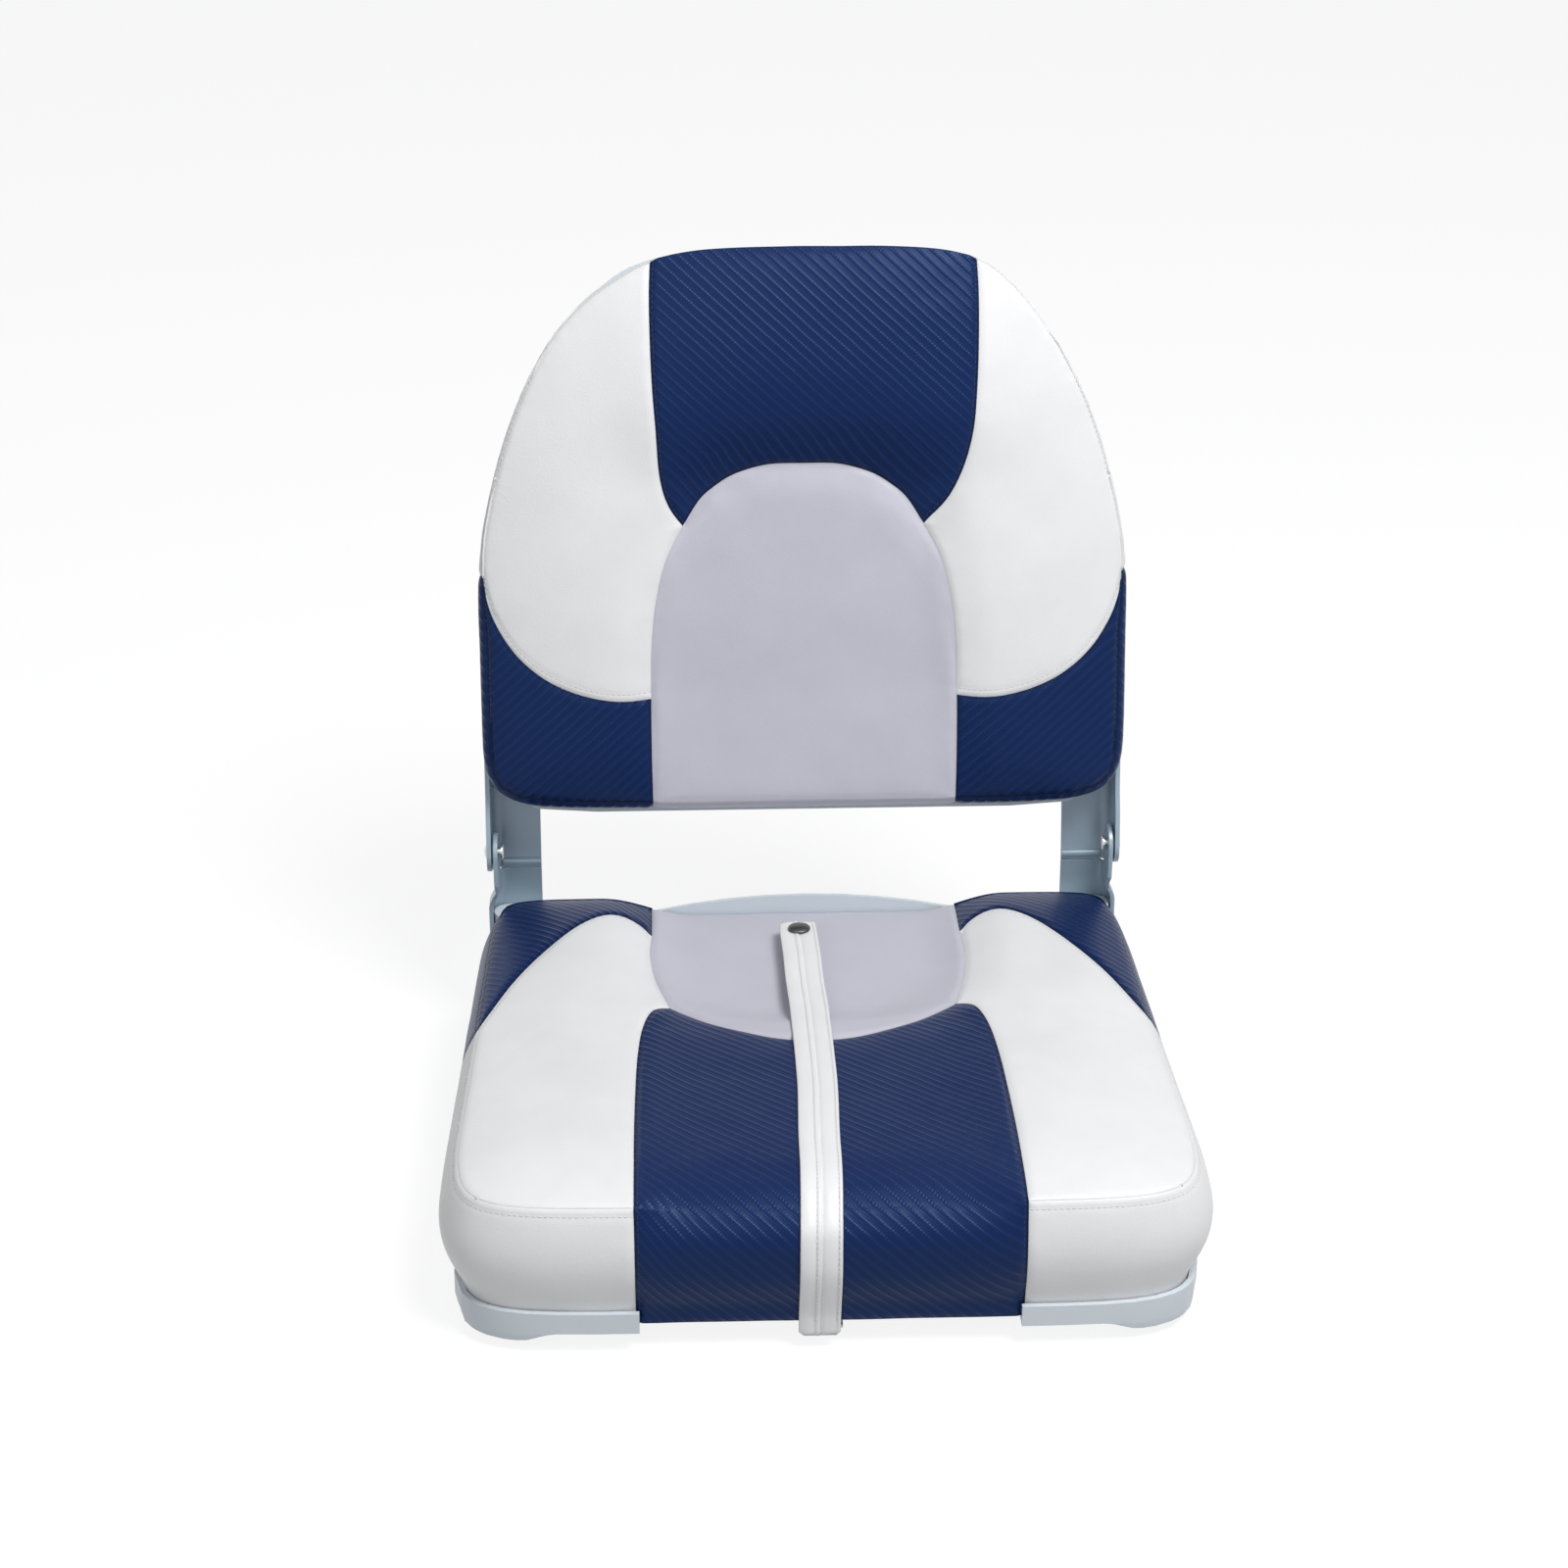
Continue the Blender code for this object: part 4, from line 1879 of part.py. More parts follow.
def snap_stud():
    """The stud on the rear of the shell that takes the strap's snap."""
    top = STUD_HEIGHT
    profile = (
        (0, top),
        (STUD_KNOB * 0.36, top),
        (STUD_KNOB / 2, top * 0.8),
        (STUD_KNOB / 2, top * 0.62),
        (STUD_KNOB * 0.38, top * 0.5),
        (STUD_KNOB * 0.38, STUD_BASE_THICK),
        (STUD_BASE / 2, STUD_BASE_THICK * 0.6),
        (STUD_BASE / 2, 0),
        (0, 0),
    )
    y = SHELL_REAR - SHELL_PANEL_STEP + SEAT_GAP
    turned("snap_stud", profile, (STRAP_OFFSET_X, y, STUD_Z), (0, 1, 0), BRIGHT_STEEL, BACK)


def build():
    seat_pan()
    tee_nuts()
    seat_board()
    board_screws()
    seat_foam()
    seat_covers()
    lower_brackets()
    upper_brackets()
    hinge_hardware()
    back_shell()
    back_board()
    back_foam()
    back_covers()
    snap_strap()
    strap_anchor()
    snap_stud()


build()
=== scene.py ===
import json
import math

import bmesh
import bpy
import numpy as np
from mathutils import Matrix, Vector, noise
from mathutils.bvhtree import BVHTree
from mathutils.kdtree import KDTree


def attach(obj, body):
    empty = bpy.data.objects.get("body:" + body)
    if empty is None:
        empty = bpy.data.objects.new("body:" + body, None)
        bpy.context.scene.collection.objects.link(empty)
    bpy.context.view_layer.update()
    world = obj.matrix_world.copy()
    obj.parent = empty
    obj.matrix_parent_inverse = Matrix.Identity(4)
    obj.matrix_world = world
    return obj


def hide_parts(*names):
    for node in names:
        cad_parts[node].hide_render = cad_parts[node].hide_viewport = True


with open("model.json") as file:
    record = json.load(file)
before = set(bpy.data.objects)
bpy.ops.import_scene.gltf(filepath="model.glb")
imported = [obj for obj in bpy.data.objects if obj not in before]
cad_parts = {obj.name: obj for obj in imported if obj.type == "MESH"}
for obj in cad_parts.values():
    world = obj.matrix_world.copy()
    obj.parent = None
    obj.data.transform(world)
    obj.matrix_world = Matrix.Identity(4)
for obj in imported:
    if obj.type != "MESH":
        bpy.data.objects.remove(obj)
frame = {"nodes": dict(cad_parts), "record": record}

bl_info = {
    "name": "Folding Boat Seat",
    "version": (1, 0, 0),
    "blender": (4, 5, 0),
    "location": "View3D > Sidebar > Boat Seat",
    "description": "Sewn vinyl covers, snap strap, moulded pan and shell, hinges and studio of a boat seat",
    "category": "Object",
}

MM = 0.001
VINYL = 1.2 * MM
HALVINGS = 40

# What the operators share: the materials by name, and each sewn cover's surface by its cushion
FINISHES = {}
COVERED = {}

# Seat cushion, measured at the seam round its top
SEAT_REAR_HALF_WIDTH = 209 * MM
SEAT_FRONT_HALF_WIDTH = 224 * MM
SEAT_FRONT_Y = -211 * MM
SEAT_REAR_Y = 192 * MM
SEAT_FRONT_CORNER = 50 * MM
SEAT_REAR_CORNER = 26 * MM
SEAT_REAR_RISE = 4 * MM
BOLSTER_CROWN = 10 * MM
FRONT_CROWN = 4.5 * MM
SCOOP_DEPTH = 13 * MM
SIDE_BULGE = 12 * MM
FRONT_BULGE = 7 * MM
FRONT_EDGE_ROUND = 26 * MM
BAND_TUCK = 1 * MM
BAND_TUCK_SHARE = 0.86
FRONT_PANEL_HALF = 115 * MM
SCOOP_HALF = 104 * MM
SCOOP_FRONT_Y = -17 * MM
SCOOP_DIP_Y = 28 * MM
SCOOP_TIP_Y = 35 * MM
SCOOP_BEND_Y = 147 * MM
SIDE_PANEL_Y = 14 * MM
COVER_FOOT_Z = 18.3 * MM
SEAM_Z = 98.3 * MM
SEAT_MIDDLE_Y = (SEAT_FRONT_Y + SEAT_REAR_Y) / 2
SEAT_HALF_DEPTH = (SEAT_REAR_Y - SEAT_FRONT_Y) / 2
SEAT_MIDDLE = Vector((0, SEAT_MIDDLE_Y, 60 * MM))
SEAT_CROWN_POWER = 7
BOLSTER_RISE = (0.36, 0.66)
SCOOP_POWER = 3
SCOOP_RIM = (0.74, 1.32)
BAND_TUCK_START = 0.5
FRONT_ROUND_POWER = 6
SEAT_TURN_END = 3.99
SEAT_NUDGE = 0.002

# Back cushion, measured at the seam round its front, from the pivot line
PIVOT = Vector((0, 195 * MM, 138 * MM))
RECLINE = math.radians(10)
BACK_MIDDLE = Vector((0, 0, 220 * MM))
BACK_HALF_WIDTH = 210.5 * MM
BACK_WIDEST_Z = 150 * MM
BACK_TOP_Z = 410.5 * MM
BACK_BOTTOM_Z = 40 * MM
BACK_SEAM_FRONT = 28 * MM
BACK_BULGE = 6 * MM
BACK_CROWN = 13 * MM
BACK_CENTRE_CROWN = 2.5 * MM
HEAD_CROWN = 8 * MM
BACK_TOP_POWER = 4.5
BULGE_FADE_Z = 225 * MM
BULGE_KEPT = 0.15
SHOULDER_GAIN = 6.5 * MM
SHOULDER_DRAW = 52 * MM
SHOULDER_LOW_Z = 168 * MM
SHOULDER_HIGH_Z = 390 * MM
SHOULDER_POWER = 1.6
BACK_BOTTOM_POWER = 10
CUSHION_REAR = 10.3 * MM
ARCH_HALF = 102 * MM
ARCH_TOP_Z = 269 * MM
ARCH_SPLIT_X = 79 * MM
ARCH_SPLIT_Z = 228 * MM
HEAD_PANEL_HALF = 106.5 * MM
LOWER_PANEL_Z = 112 * MM
LOWER_PANEL_SIDE_Z = 196 * MM
LOWER_CORNER_Z = 72 * MM
EVEN_ROUNDS = 24
BACK_EVEN_REACH = (30 * MM, 110 * MM)
SEAT_EVEN_REACH = (20 * MM, 70 * MM)
OUTLINE_STEP = 9 * MM
OUTLINE_CUTS = 5
OUTLINE_FROM_Z = 149 * MM
OUTLINE_REACH = 0.6
OUTLINE_LEVEL = 0.02
OUTLINE_DEPTH = 0.5 * MM
LOW_EASE = 2.4 * MM
LOW_EASE_FALL = (110 * MM, 180 * MM)
ARCH_DIP = 5.5 * MM
ARCH_DIP_START = 0.93
ARCH_DIP_RUN = 0.055
ARCH_DIP_DEEPEST = 0.985
ARCH_DIP_REACH = 0.24
ARCH_DIP_RISE = (195 * MM, 250 * MM)
BACK_TUCK = 0.28
BACK_TUCK_RISE = (190 * MM, 300 * MM)
BACK_CROWN_POWER = 5
BACK_TURN_END = 3.995
BACK_NUDGE = 0.003
ARCH_POWER = 3.2
ARCH_RIM = (0.82, 1.28)
HEAD_SWELL_RISE = (0.94, 1.14)
HEAD_SWELL_FALL = (0.8, 1.5)
GUSSET_FULLNESS = 1.1
SHOULDER_SHARE = 0.62
HEAD_LEAN = 7.5 * MM
HEAD_LEAN_RIM = (1.0, 1.12)
HEAD_LEAN_RISE = (215 * MM, 300 * MM)
HEAD_LEAN_END = 165 * MM
BACK_TURN = Matrix.Translation(PIVOT) @ Matrix.Rotation(-RECLINE, 4, "X")

# Steps of the covers' grids between seams, about 6 mm each
FRONT_TOP_STEPS = 40
SCOOP_SIDE_STEPS = 18
CORNER_STEPS = 16
SIDE_STEPS = 18
ARC_STEPS = 36
BAND_STEPS = 13
DROP_STEPS = 8
ARCH_UPPER_STEPS = 20
ARCH_LOWER_STEPS = 16
HEAD_STEPS = 27
BACK_SIDE_STEPS = 22
ARCH_STEPS = 34
GUSSET_STEPS = 5
NEAR_SEAM = (0.25, 0.6)


def colour_prop(name, description, default):
    return bpy.props.FloatVectorProperty(
        name=name, description=description, subtype="COLOR", size=3, min=0.0, max=1.0, default=default
    )


def length_prop(name, description, default):
    return bpy.props.FloatProperty(
        name=name, description=description, default=default, min=0.0, precision=5, unit="LENGTH"
    )


def number_prop(name, description, default):
    return bpy.props.FloatProperty(name=name, description=description, default=default, min=0.0)


def angle_prop(name, description, degrees):
    return bpy.props.FloatProperty(
        name=name, description=description, default=math.radians(degrees), subtype="ANGLE"
    )


class CoverSettings(bpy.types.PropertyGroup):
    """Colours and sewing of the vinyl covers"""

    white: colour_prop("White", "Colour of the white vinyl", (0.80, 0.80, 0.81))
    navy: colour_prop("Navy", "Colour of the navy vinyl", (0.005, 0.019, 0.086))
    grey: colour_prop("Grey", "Colour of the grey vinyl", (0.52, 0.52, 0.59))
    seam_depth: length_prop("Seam depth", "How far a seam is drawn into the foam", 1.2 * MM)
    seam_reach: length_prop("Seam reach", "How far from a seam the vinyl starts to fall", 5.0 * MM)
    seam_slit: length_prop("Seam slit", "Half the slit left between two sewn panels", 0.05 * MM)
    pucker: length_prop("Pucker", "Height of the small gathers beside the seams", 0.22 * MM)
    ripple: length_prop("Ripple", "Height of the soft unevenness of the foam", 0.45 * MM)
    puff: length_prop("Puff", "Furthest that the stuffed vinyl may swell", 1.8 * MM)
    pressure: number_prop("Pressure", "Pressure of the foam on the vinyl in the cloth step", 4.0)
    twill_pitch: length_prop("Twill pitch", "Spacing of the ribs embossed in the navy vinyl", 5.6 * MM)


class SewingSettings(bpy.types.PropertyGroup):
    """Thread of the topstitching"""

    pitch: length_prop("Pitch", "Spacing of the stitches", 3.6 * MM)
    length: length_prop("Length", "Length of one stitch", 2.6 * MM)
    thread: length_prop("Thread", "Thickness of the thread", 0.55 * MM)
    light: colour_prop("Light thread", "Thread on the white vinyl", (0.66, 0.67, 0.69))
    dark: colour_prop("Dark thread", "Thread on the navy vinyl", (0.009, 0.022, 0.075))


class HardwareSettings(bpy.types.PropertyGroup):
    """Colours of the moulded and metal pieces"""

    plastic: colour_prop("Moulded plastic", "Colour of the pan and the back shell", (0.62, 0.68, 0.73))
    paint: colour_prop("Bracket paint", "Colour of the painted hinge brackets", (0.33, 0.43, 0.51))
    steel: colour_prop("Steel", "Colour of the screws and rivets", (0.66, 0.67, 0.68))
    snap: colour_prop("Snap", "Colour of the snap cap", (0.10, 0.10, 0.105))
    ply: colour_prop("Plywood", "Colour of the cushion boards", (0.45, 0.31, 0.17))
    edge_round: length_prop("Edge round", "Round of the sheet metal's edges", 0.5 * MM)


class StudioSettings(bpy.types.PropertyGroup):
    """Light and camera"""

    key: number_prop("Key light", "Power of the large lamp above on the right, in watts", 54.0)
    fill: number_prop("Fill light", "Power of the lamp in front on the left, in watts", 8.0)
    sky: number_prop("Sky", "Strength of the white surroundings as light", 0.25)
    azimuth: angle_prop("Azimuth", "Camera's way round the seat", -2.05)
    elevation: angle_prop("Elevation", "Camera's height over the seat", 24)
    distance: length_prop("Distance", "From the camera to its target", 2200 * MM)
    lens: bpy.props.FloatProperty(name="Lens", description="Focal length", default=79.425, unit="CAMERA")


# Curves and shares


def clamped(value):
    return min(max(value, 0.0), 1.0)


def smooth_step(value, low, high):
    share = clamped((value - low) / (high - low))
    return share * share * (3 - 2 * share)


def between(start, end, share):
    return start + (end - start) * share


def solve(measure, wanted, low, high):
    """The place between low and high where a rising or falling measure reaches the wanted value."""
    rising = measure(high) > measure(low)
    for _ in range(HALVINGS):
        middle = (low + high) / 2
        if (measure(middle) < wanted) == rising:
            low = middle
        else:
            high = middle
    return (low + high) / 2


def smooth_line(points):
    """A function of 0..1 that runs smoothly through the points at an even pace."""
    points = [Vector(point) for point in points]
    runs = [0.0]
    for first, second in zip(points, points[1:]):
        runs.append(runs[-1] + (second - first).length)
    total = runs[-1]

    def at(share):
        reach = clamped(share) * total
        index = 0
        while index < len(points) - 2 and reach > runs[index + 1]:
            index += 1
        span = runs[index + 1] - runs[index]
        part = (reach - runs[index]) / span
        start, end = points[index], points[index + 1]
        before = points[index - 1] if index else start
        after = points[index + 2] if index + 2 < len(points) else end
        lead = (end - before) * (span / max((end - before).length, span))
        trail = (after - start) * (span / max((after - start).length, span))
        square, cube = part * part, part * part * part
        return (
            start * (2 * cube - 3 * square + 1)
            + lead * (cube - 2 * square + part)
            + end * (3 * square - 2 * cube)
            + trail * (cube - square)
        )

    return at


def seam_line(side, start, end, shape, wide=None):
    """A seam from start to end by shares of the way between them, or of a width of its own."""
    points = [start]
    for a, b in shape:
        x = between(start[0], end[0], a) if wide is None else wide * a
        points.append((x, between(start[1], end[1], b)))
    return smooth_line([(side * x, y) for x, y in (*points, end)])


def mirrored_arc(right):
    """A line that runs through these places and the same on the left."""
    return smooth_line([(-x, y) for x, y in right[:0:-1]] + right)


def in_steps(*runs):
    """One edge line from several, each with its number of steps, so that neighbours share points."""
    total = sum(steps for _, steps in runs)

    def at(share):
        reach = share * total
        for line, steps in runs[:-1]:
            if reach < steps - 1e-9:
                return line(reach / steps)
            reach -= steps
        line, steps = runs[-1]
        return line(clamped(reach / steps))

    return at


def turned_round(line):
    """The same line from its other end."""
    return lambda share: line(1 - share)


def stations(*counts):
    """Shares along an edge, one a step, and closer beside the seams that end each run."""
    places = [0.0]
    for count in counts:
        start = places[-1]
        places += [start + near for near in NEAR_SEAM]
        places += [start + step for step in range(1, count)]
        places += [start + count - near for near in reversed(NEAR_SEAM)]
        places.append(start + count)
    return [place / places[-1] for place in places]


def coons(edges, across, along):
    """Rows of flat points filled between four edge lines that meet at their corners."""
    front, rear, inner, outer = edges
    low, high = [front(a) for a in across], [rear(a) for a in across]
    left, right = [inner(b) for b in along], [outer(b) for b in along]
    rows = []
    for b, begin, end in zip(along, left, right):
        row = []
        for a, near, far in zip(across, low, high):
            corners = (low[0] * (1 - a) + low[-1] * a) * (1 - b) + (high[0] * (1 - a) + high[-1] * a) * b
            row.append(near * (1 - b) + far * b + begin * (1 - a) + end * a - corners)
        rows.append(row)
    return rows


def evened(rows, row, reach):
    """Evens out the points around the outer corner in this row, where two borders run on in one line."""
    corner = rows[row][-1].copy()
    for _ in range(EVEN_ROUNDS):
        for i in range(1, len(rows) - 1):
            for j in range(1, len(rows[0]) - 1):
                share = 1 - smooth_step((rows[i][j] - corner).length, *reach)
                if share > 0:
                    middle = (rows[i - 1][j] + rows[i + 1][j] + rows[i][j - 1] + rows[i][j + 1]) / 4
                    rows[i][j] = rows[i][j].lerp(middle, share)
    return rows


def corner_power(radius, half):
    cut = radius * (1 - math.sqrt(0.5)) / half
    return math.log(2) / -math.log(1 - cut)


def rounded_reach(u, v, power):
    """How far out a place lies, with 1 on a square whose corners are rounded by this power."""
    return (abs(u) ** power + abs(v) ** power) ** (1 / power)


# Seat cushion surface


def seat_half_width(y):
    share = (SEAT_REAR_Y - y) / (SEAT_REAR_Y - SEAT_FRONT_Y)
    return between(SEAT_REAR_HALF_WIDTH, SEAT_FRONT_HALF_WIDTH, share)


def seat_power(v):
    return corner_power(SEAT_FRONT_CORNER if v < 0 else SEAT_REAR_CORNER, SEAT_HALF_DEPTH)


def square_edge(turn):
    if turn <= 1:
        return turn, -1.0
    if turn <= 3:
        return 1.0, turn - 2
    return 4 - turn, 1.0


def seat_edge_bare(turn):
    u, v = square_edge(abs(turn))
    size = rounded_reach(u, v, seat_power(v))
    y = SEAT_MIDDLE_Y + SEAT_HALF_DEPTH * v / size
    x = seat_half_width(y) * u / size
    return Vector((math.copysign(x, turn) if turn else x, y))


def edge_normal(edge, turn, nudge):
    along = edge(turn + nudge) - edge(turn - nudge)
    return Vector((along.y, -along.x)).normalized()


def seat_edge(turn, out=0.0):
    """The seam round the top of the seat: 0 is the middle of its front and 4 of its rear."""
    turn = min(max(turn, -SEAT_TURN_END), SEAT_TURN_END)
    return seat_edge_bare(turn) + edge_normal(seat_edge_bare, turn, SEAT_NUDGE) * out


def seat_reach(x, y):
    v = (y - SEAT_MIDDLE_Y) / SEAT_HALF_DEPTH
    return rounded_reach(x / seat_half_width(y), v, seat_power(v))


def scoop_reach(x, y):
    ahead = max(SCOOP_BEND_Y - y, 0.0) / (SCOOP_BEND_Y - SCOOP_DIP_Y)
    return rounded_reach(ahead, x / SCOOP_HALF, SCOOP_POWER)


def seat_top(x, y):
    """The height of the cover's outer face over the seat."""
    reach = min(seat_reach(x, y), 1.0)
    outside = smooth_step(scoop_reach(x, y), *SCOOP_RIM)
    side = smooth_step(abs(x) / seat_half_width(y), *BOLSTER_RISE)
    crown = between(FRONT_CROWN, BOLSTER_CROWN, side) * (1 - reach**SEAT_CROWN_POWER)
    rise = SEAT_REAR_RISE * smooth_step(y, SEAT_MIDDLE_Y, SEAT_REAR_Y)
    return SEAM_Z + rise + crown * outside - SCOOP_DEPTH * (1 - outside)


def seat_band(turn, down):
    """A point on the side of the seat cushion, down 0 at the seam round its top and 1 at its foot."""
    turn = min(max(turn, -SEAT_TURN_END), SEAT_TURN_END)
    normal = edge_normal(seat_edge_bare, turn, SEAT_NUDGE)
    bulge = SIDE_BULGE * normal.x**2
    if normal.y < 0:
        bulge += FRONT_BULGE * normal.y**2
    share = min(down / BAND_TUCK_SHARE, 1.0)
    swell = bulge * math.sin(math.pi * share)
    swell -= BAND_TUCK * smooth_step(down, BAND_TUCK_START, BAND_TUCK_SHARE)
    seam, flat = seat_edge(turn), seat_edge(turn, swell)
    return Vector((flat.x, flat.y, between(seat_top(seam.x, seam.y), COVER_FOOT_Z, down)))


FRONT_TURN = solve(lambda t: seat_edge(t).x, FRONT_PANEL_HALF, 0.05, 0.95)
SIDE_TURN = solve(lambda t: seat_edge(t).y, SIDE_PANEL_Y, 1.2, 2.8)
REAR_TURN = solve(lambda t: seat_edge(t).x, SCOOP_HALF, 3.95, 3.05)
FRONT_CORNER_TURN = 1.0
REAR_CORNER_TURN = 3.0
CORNER_GATHER = 1.35


def gathered(start, end, share, corner):
    """A place between two turns, closer spaced toward the one that is the corner."""
    if corner == end:
        return between(start, end, 1 - (1 - share) ** CORNER_GATHER)
    return between(start, end, share**CORNER_GATHER)


def edge_run(start, end, corner=None):
    if corner is None:
        return lambda share: seat_edge(between(start, end, share))
    return lambda share: seat_edge(gathered(start, end, share, corner))


# Seam lines, as shares of the widths and lengths that each runs between
FRONT_SEAM = ((1.0, 0.28), (0.995, 0.5), (0.98, 0.72), (0.95, 0.87), (0.89, 0.965))
SCOOP_TIP_SHARE = 0.80
SCOOP_TIP = Vector((FRONT_PANEL_HALF * SCOOP_TIP_SHARE, SCOOP_TIP_Y))
SCOOP_SIDE = ((0.93, 0.2), (0.985, 0.45), (1.01, 0.74))
SCOOP_ARC = ((0.0, 0.0), (0.27, 0.07), (0.51, 0.27), (0.73, 0.55), (0.9, 0.84))
CORNER_SEAM = ((0.09, -0.085), (0.2, -0.105), (0.36, -0.015), (0.55, 0.2), (0.79, 0.56), (0.93, 0.85))


def front_seam(side):
    start = seat_edge(FRONT_TURN)
    return seam_line(side, start, SCOOP_TIP, FRONT_SEAM, wide=start.x)


def scoop_side(side):
    return seam_line(side, SCOOP_TIP, (SCOOP_HALF, SCOOP_BEND_Y), SCOOP_SIDE, wide=SCOOP_HALF)


def scoop_arc():
    right = [(SCOOP_TIP.x * a, between(SCOOP_FRONT_Y, SCOOP_TIP.y, b)) for a, b in SCOOP_ARC]
    return mirrored_arc([*right, tuple(SCOOP_TIP)])


def corner_seam():
    return seam_line(1, Vector((SCOOP_HALF, SCOOP_BEND_Y)), seat_edge(SIDE_TURN), CORNER_SEAM)


def over_seat(rows):
    return [[Vector((p.x, p.y, seat_top(p.x, p.y))) for p in row] for row in rows]


def front_rounded(point, away):
    """Draws the front edge of the navy panel in to a round."""
    beside = min(abs(point.x) / FRONT_PANEL_HALF, 1.0)
    near = max(1 - away / FRONT_EDGE_ROUND, 0.0)
    slant = math.sqrt(0.5)
    pull = FRONT_EDGE_ROUND * (math.sqrt(2) - 1) * near ** (1 + slant) * (1 - beside**FRONT_ROUND_POWER)
    return point + Vector((0, slant, -slant)) * pull


class CoverPanel:
    """One cut piece of vinyl: its rows of points, the node it stands for and its finish."""

    def __init__(self, node, slot, rows, marks):
        self.node = node
        self.slot = slot
        self.rows = rows
        self.marks = marks

    def mirrored(self):
        rows = [[Vector((-p.x, p.y, p.z)) for p in reversed(row)] for row in self.rows]
        marks = [[(-u, v) for u, v in reversed(row)] for row in self.marks]
        return CoverPanel(self.node.replace("right", "left"), self.slot, rows, marks)


def flat_marks(rows, up, way=1):
    """A pattern place for each point of a panel that lies flat. A way of -1 lays the vinyl face about."""
    return [[(way * p.x, p[up]) for p in row] for row in rows]


def wrapped_marks(rows, flat, up, way):
    """Pattern places of a panel whose rows after the flat ones turn over an edge."""
    marks = flat_marks(rows[:flat], up)
    for before, row in zip(rows[flat - 1 :], rows[flat:]):
        marks.append([(p.x, m[1] + way * (p - q).length) for p, q, m in zip(row, before, marks[-1])])
    return marks


def round_marks(rows, up):
    """A pattern place for a band: across is measured along its top row."""
    across = [rows[0][0].x]
    for before, point in zip(rows[0], rows[0][1:]):
        across.append(across[-1] + (point - before).length)
    return [[(a, p[up]) for a, p in zip(across, row)] for row in rows]


def band_turns(steps, first, second):
    """The turns at a band's stations, in two runs that each have their own steps."""
    turns = in_steps((first, sum(steps[0])), (second, sum(steps[1])))
    return [turns(share) for share in stations(*steps[0], *steps[1])]


def seat_band_panel(node, slot, steps, start, corner, end):
    across = band_turns(
        steps,
        lambda share: gathered(start, corner, share, corner),
        lambda share: gathered(corner, end, share, corner),
    )
    rows = [[seat_band(turn, down) for turn in across] for down in stations(BAND_STEPS)]
    return CoverPanel(node, slot, rows, round_marks(rows, 2))


def seat_front_panel():
    top = stations(FRONT_TOP_STEPS)
    left, right = turned_round(front_seam(-1)), turned_round(front_seam(1))
    edges = (scoop_arc(), edge_run(-FRONT_TURN, FRONT_TURN), left, right)
    across = stations(ARC_STEPS)
    run = SCOOP_FRONT_Y - SEAT_FRONT_Y
    rows = []
    for b, row in zip(top, over_seat(coons(edges, across, top))):
        rows.append([front_rounded(point, (1 - b) * run) for point in row])
    for down in stations(BAND_STEPS)[1:]:
        turns = [between(-FRONT_TURN, FRONT_TURN, a) for a in across]
        drop = down * (SEAM_Z - COVER_FOOT_Z)
        rows.append([front_rounded(seat_band(turn, down), drop) for turn in turns])
    marks = wrapped_marks(rows, len(top), 1, -1)
    return CoverPanel("seat_panel_navy_front", "navy_vinyl", rows, marks)


def seat_scoop_panel():
    def side(sign):
        foot = (sign * SCOOP_HALF, seat_edge(REAR_TURN).y)
        straight = smooth_line([(sign * SCOOP_HALF, SCOOP_BEND_Y), foot])
        return in_steps((scoop_side(sign), SCOOP_SIDE_STEPS), (straight, CORNER_STEPS))

    def rear(share):
        return Vector((between(-SCOOP_HALF, SCOOP_HALF, share), seat_edge(REAR_TURN).y))

    along = stations(SCOOP_SIDE_STEPS, CORNER_STEPS)
    rows = over_seat(coons((scoop_arc(), rear, side(-1), side(1)), stations(ARC_STEPS), along))
    edge = rows[-1]
    for down in stations(DROP_STEPS)[1:]:
        rows.append([Vector((p.x, p.y, between(p.z, COVER_FOOT_Z, down))) for p in edge])
    return CoverPanel("seat_panel_grey", "grey_vinyl", rows, wrapped_marks(rows, len(along), 1, 1))


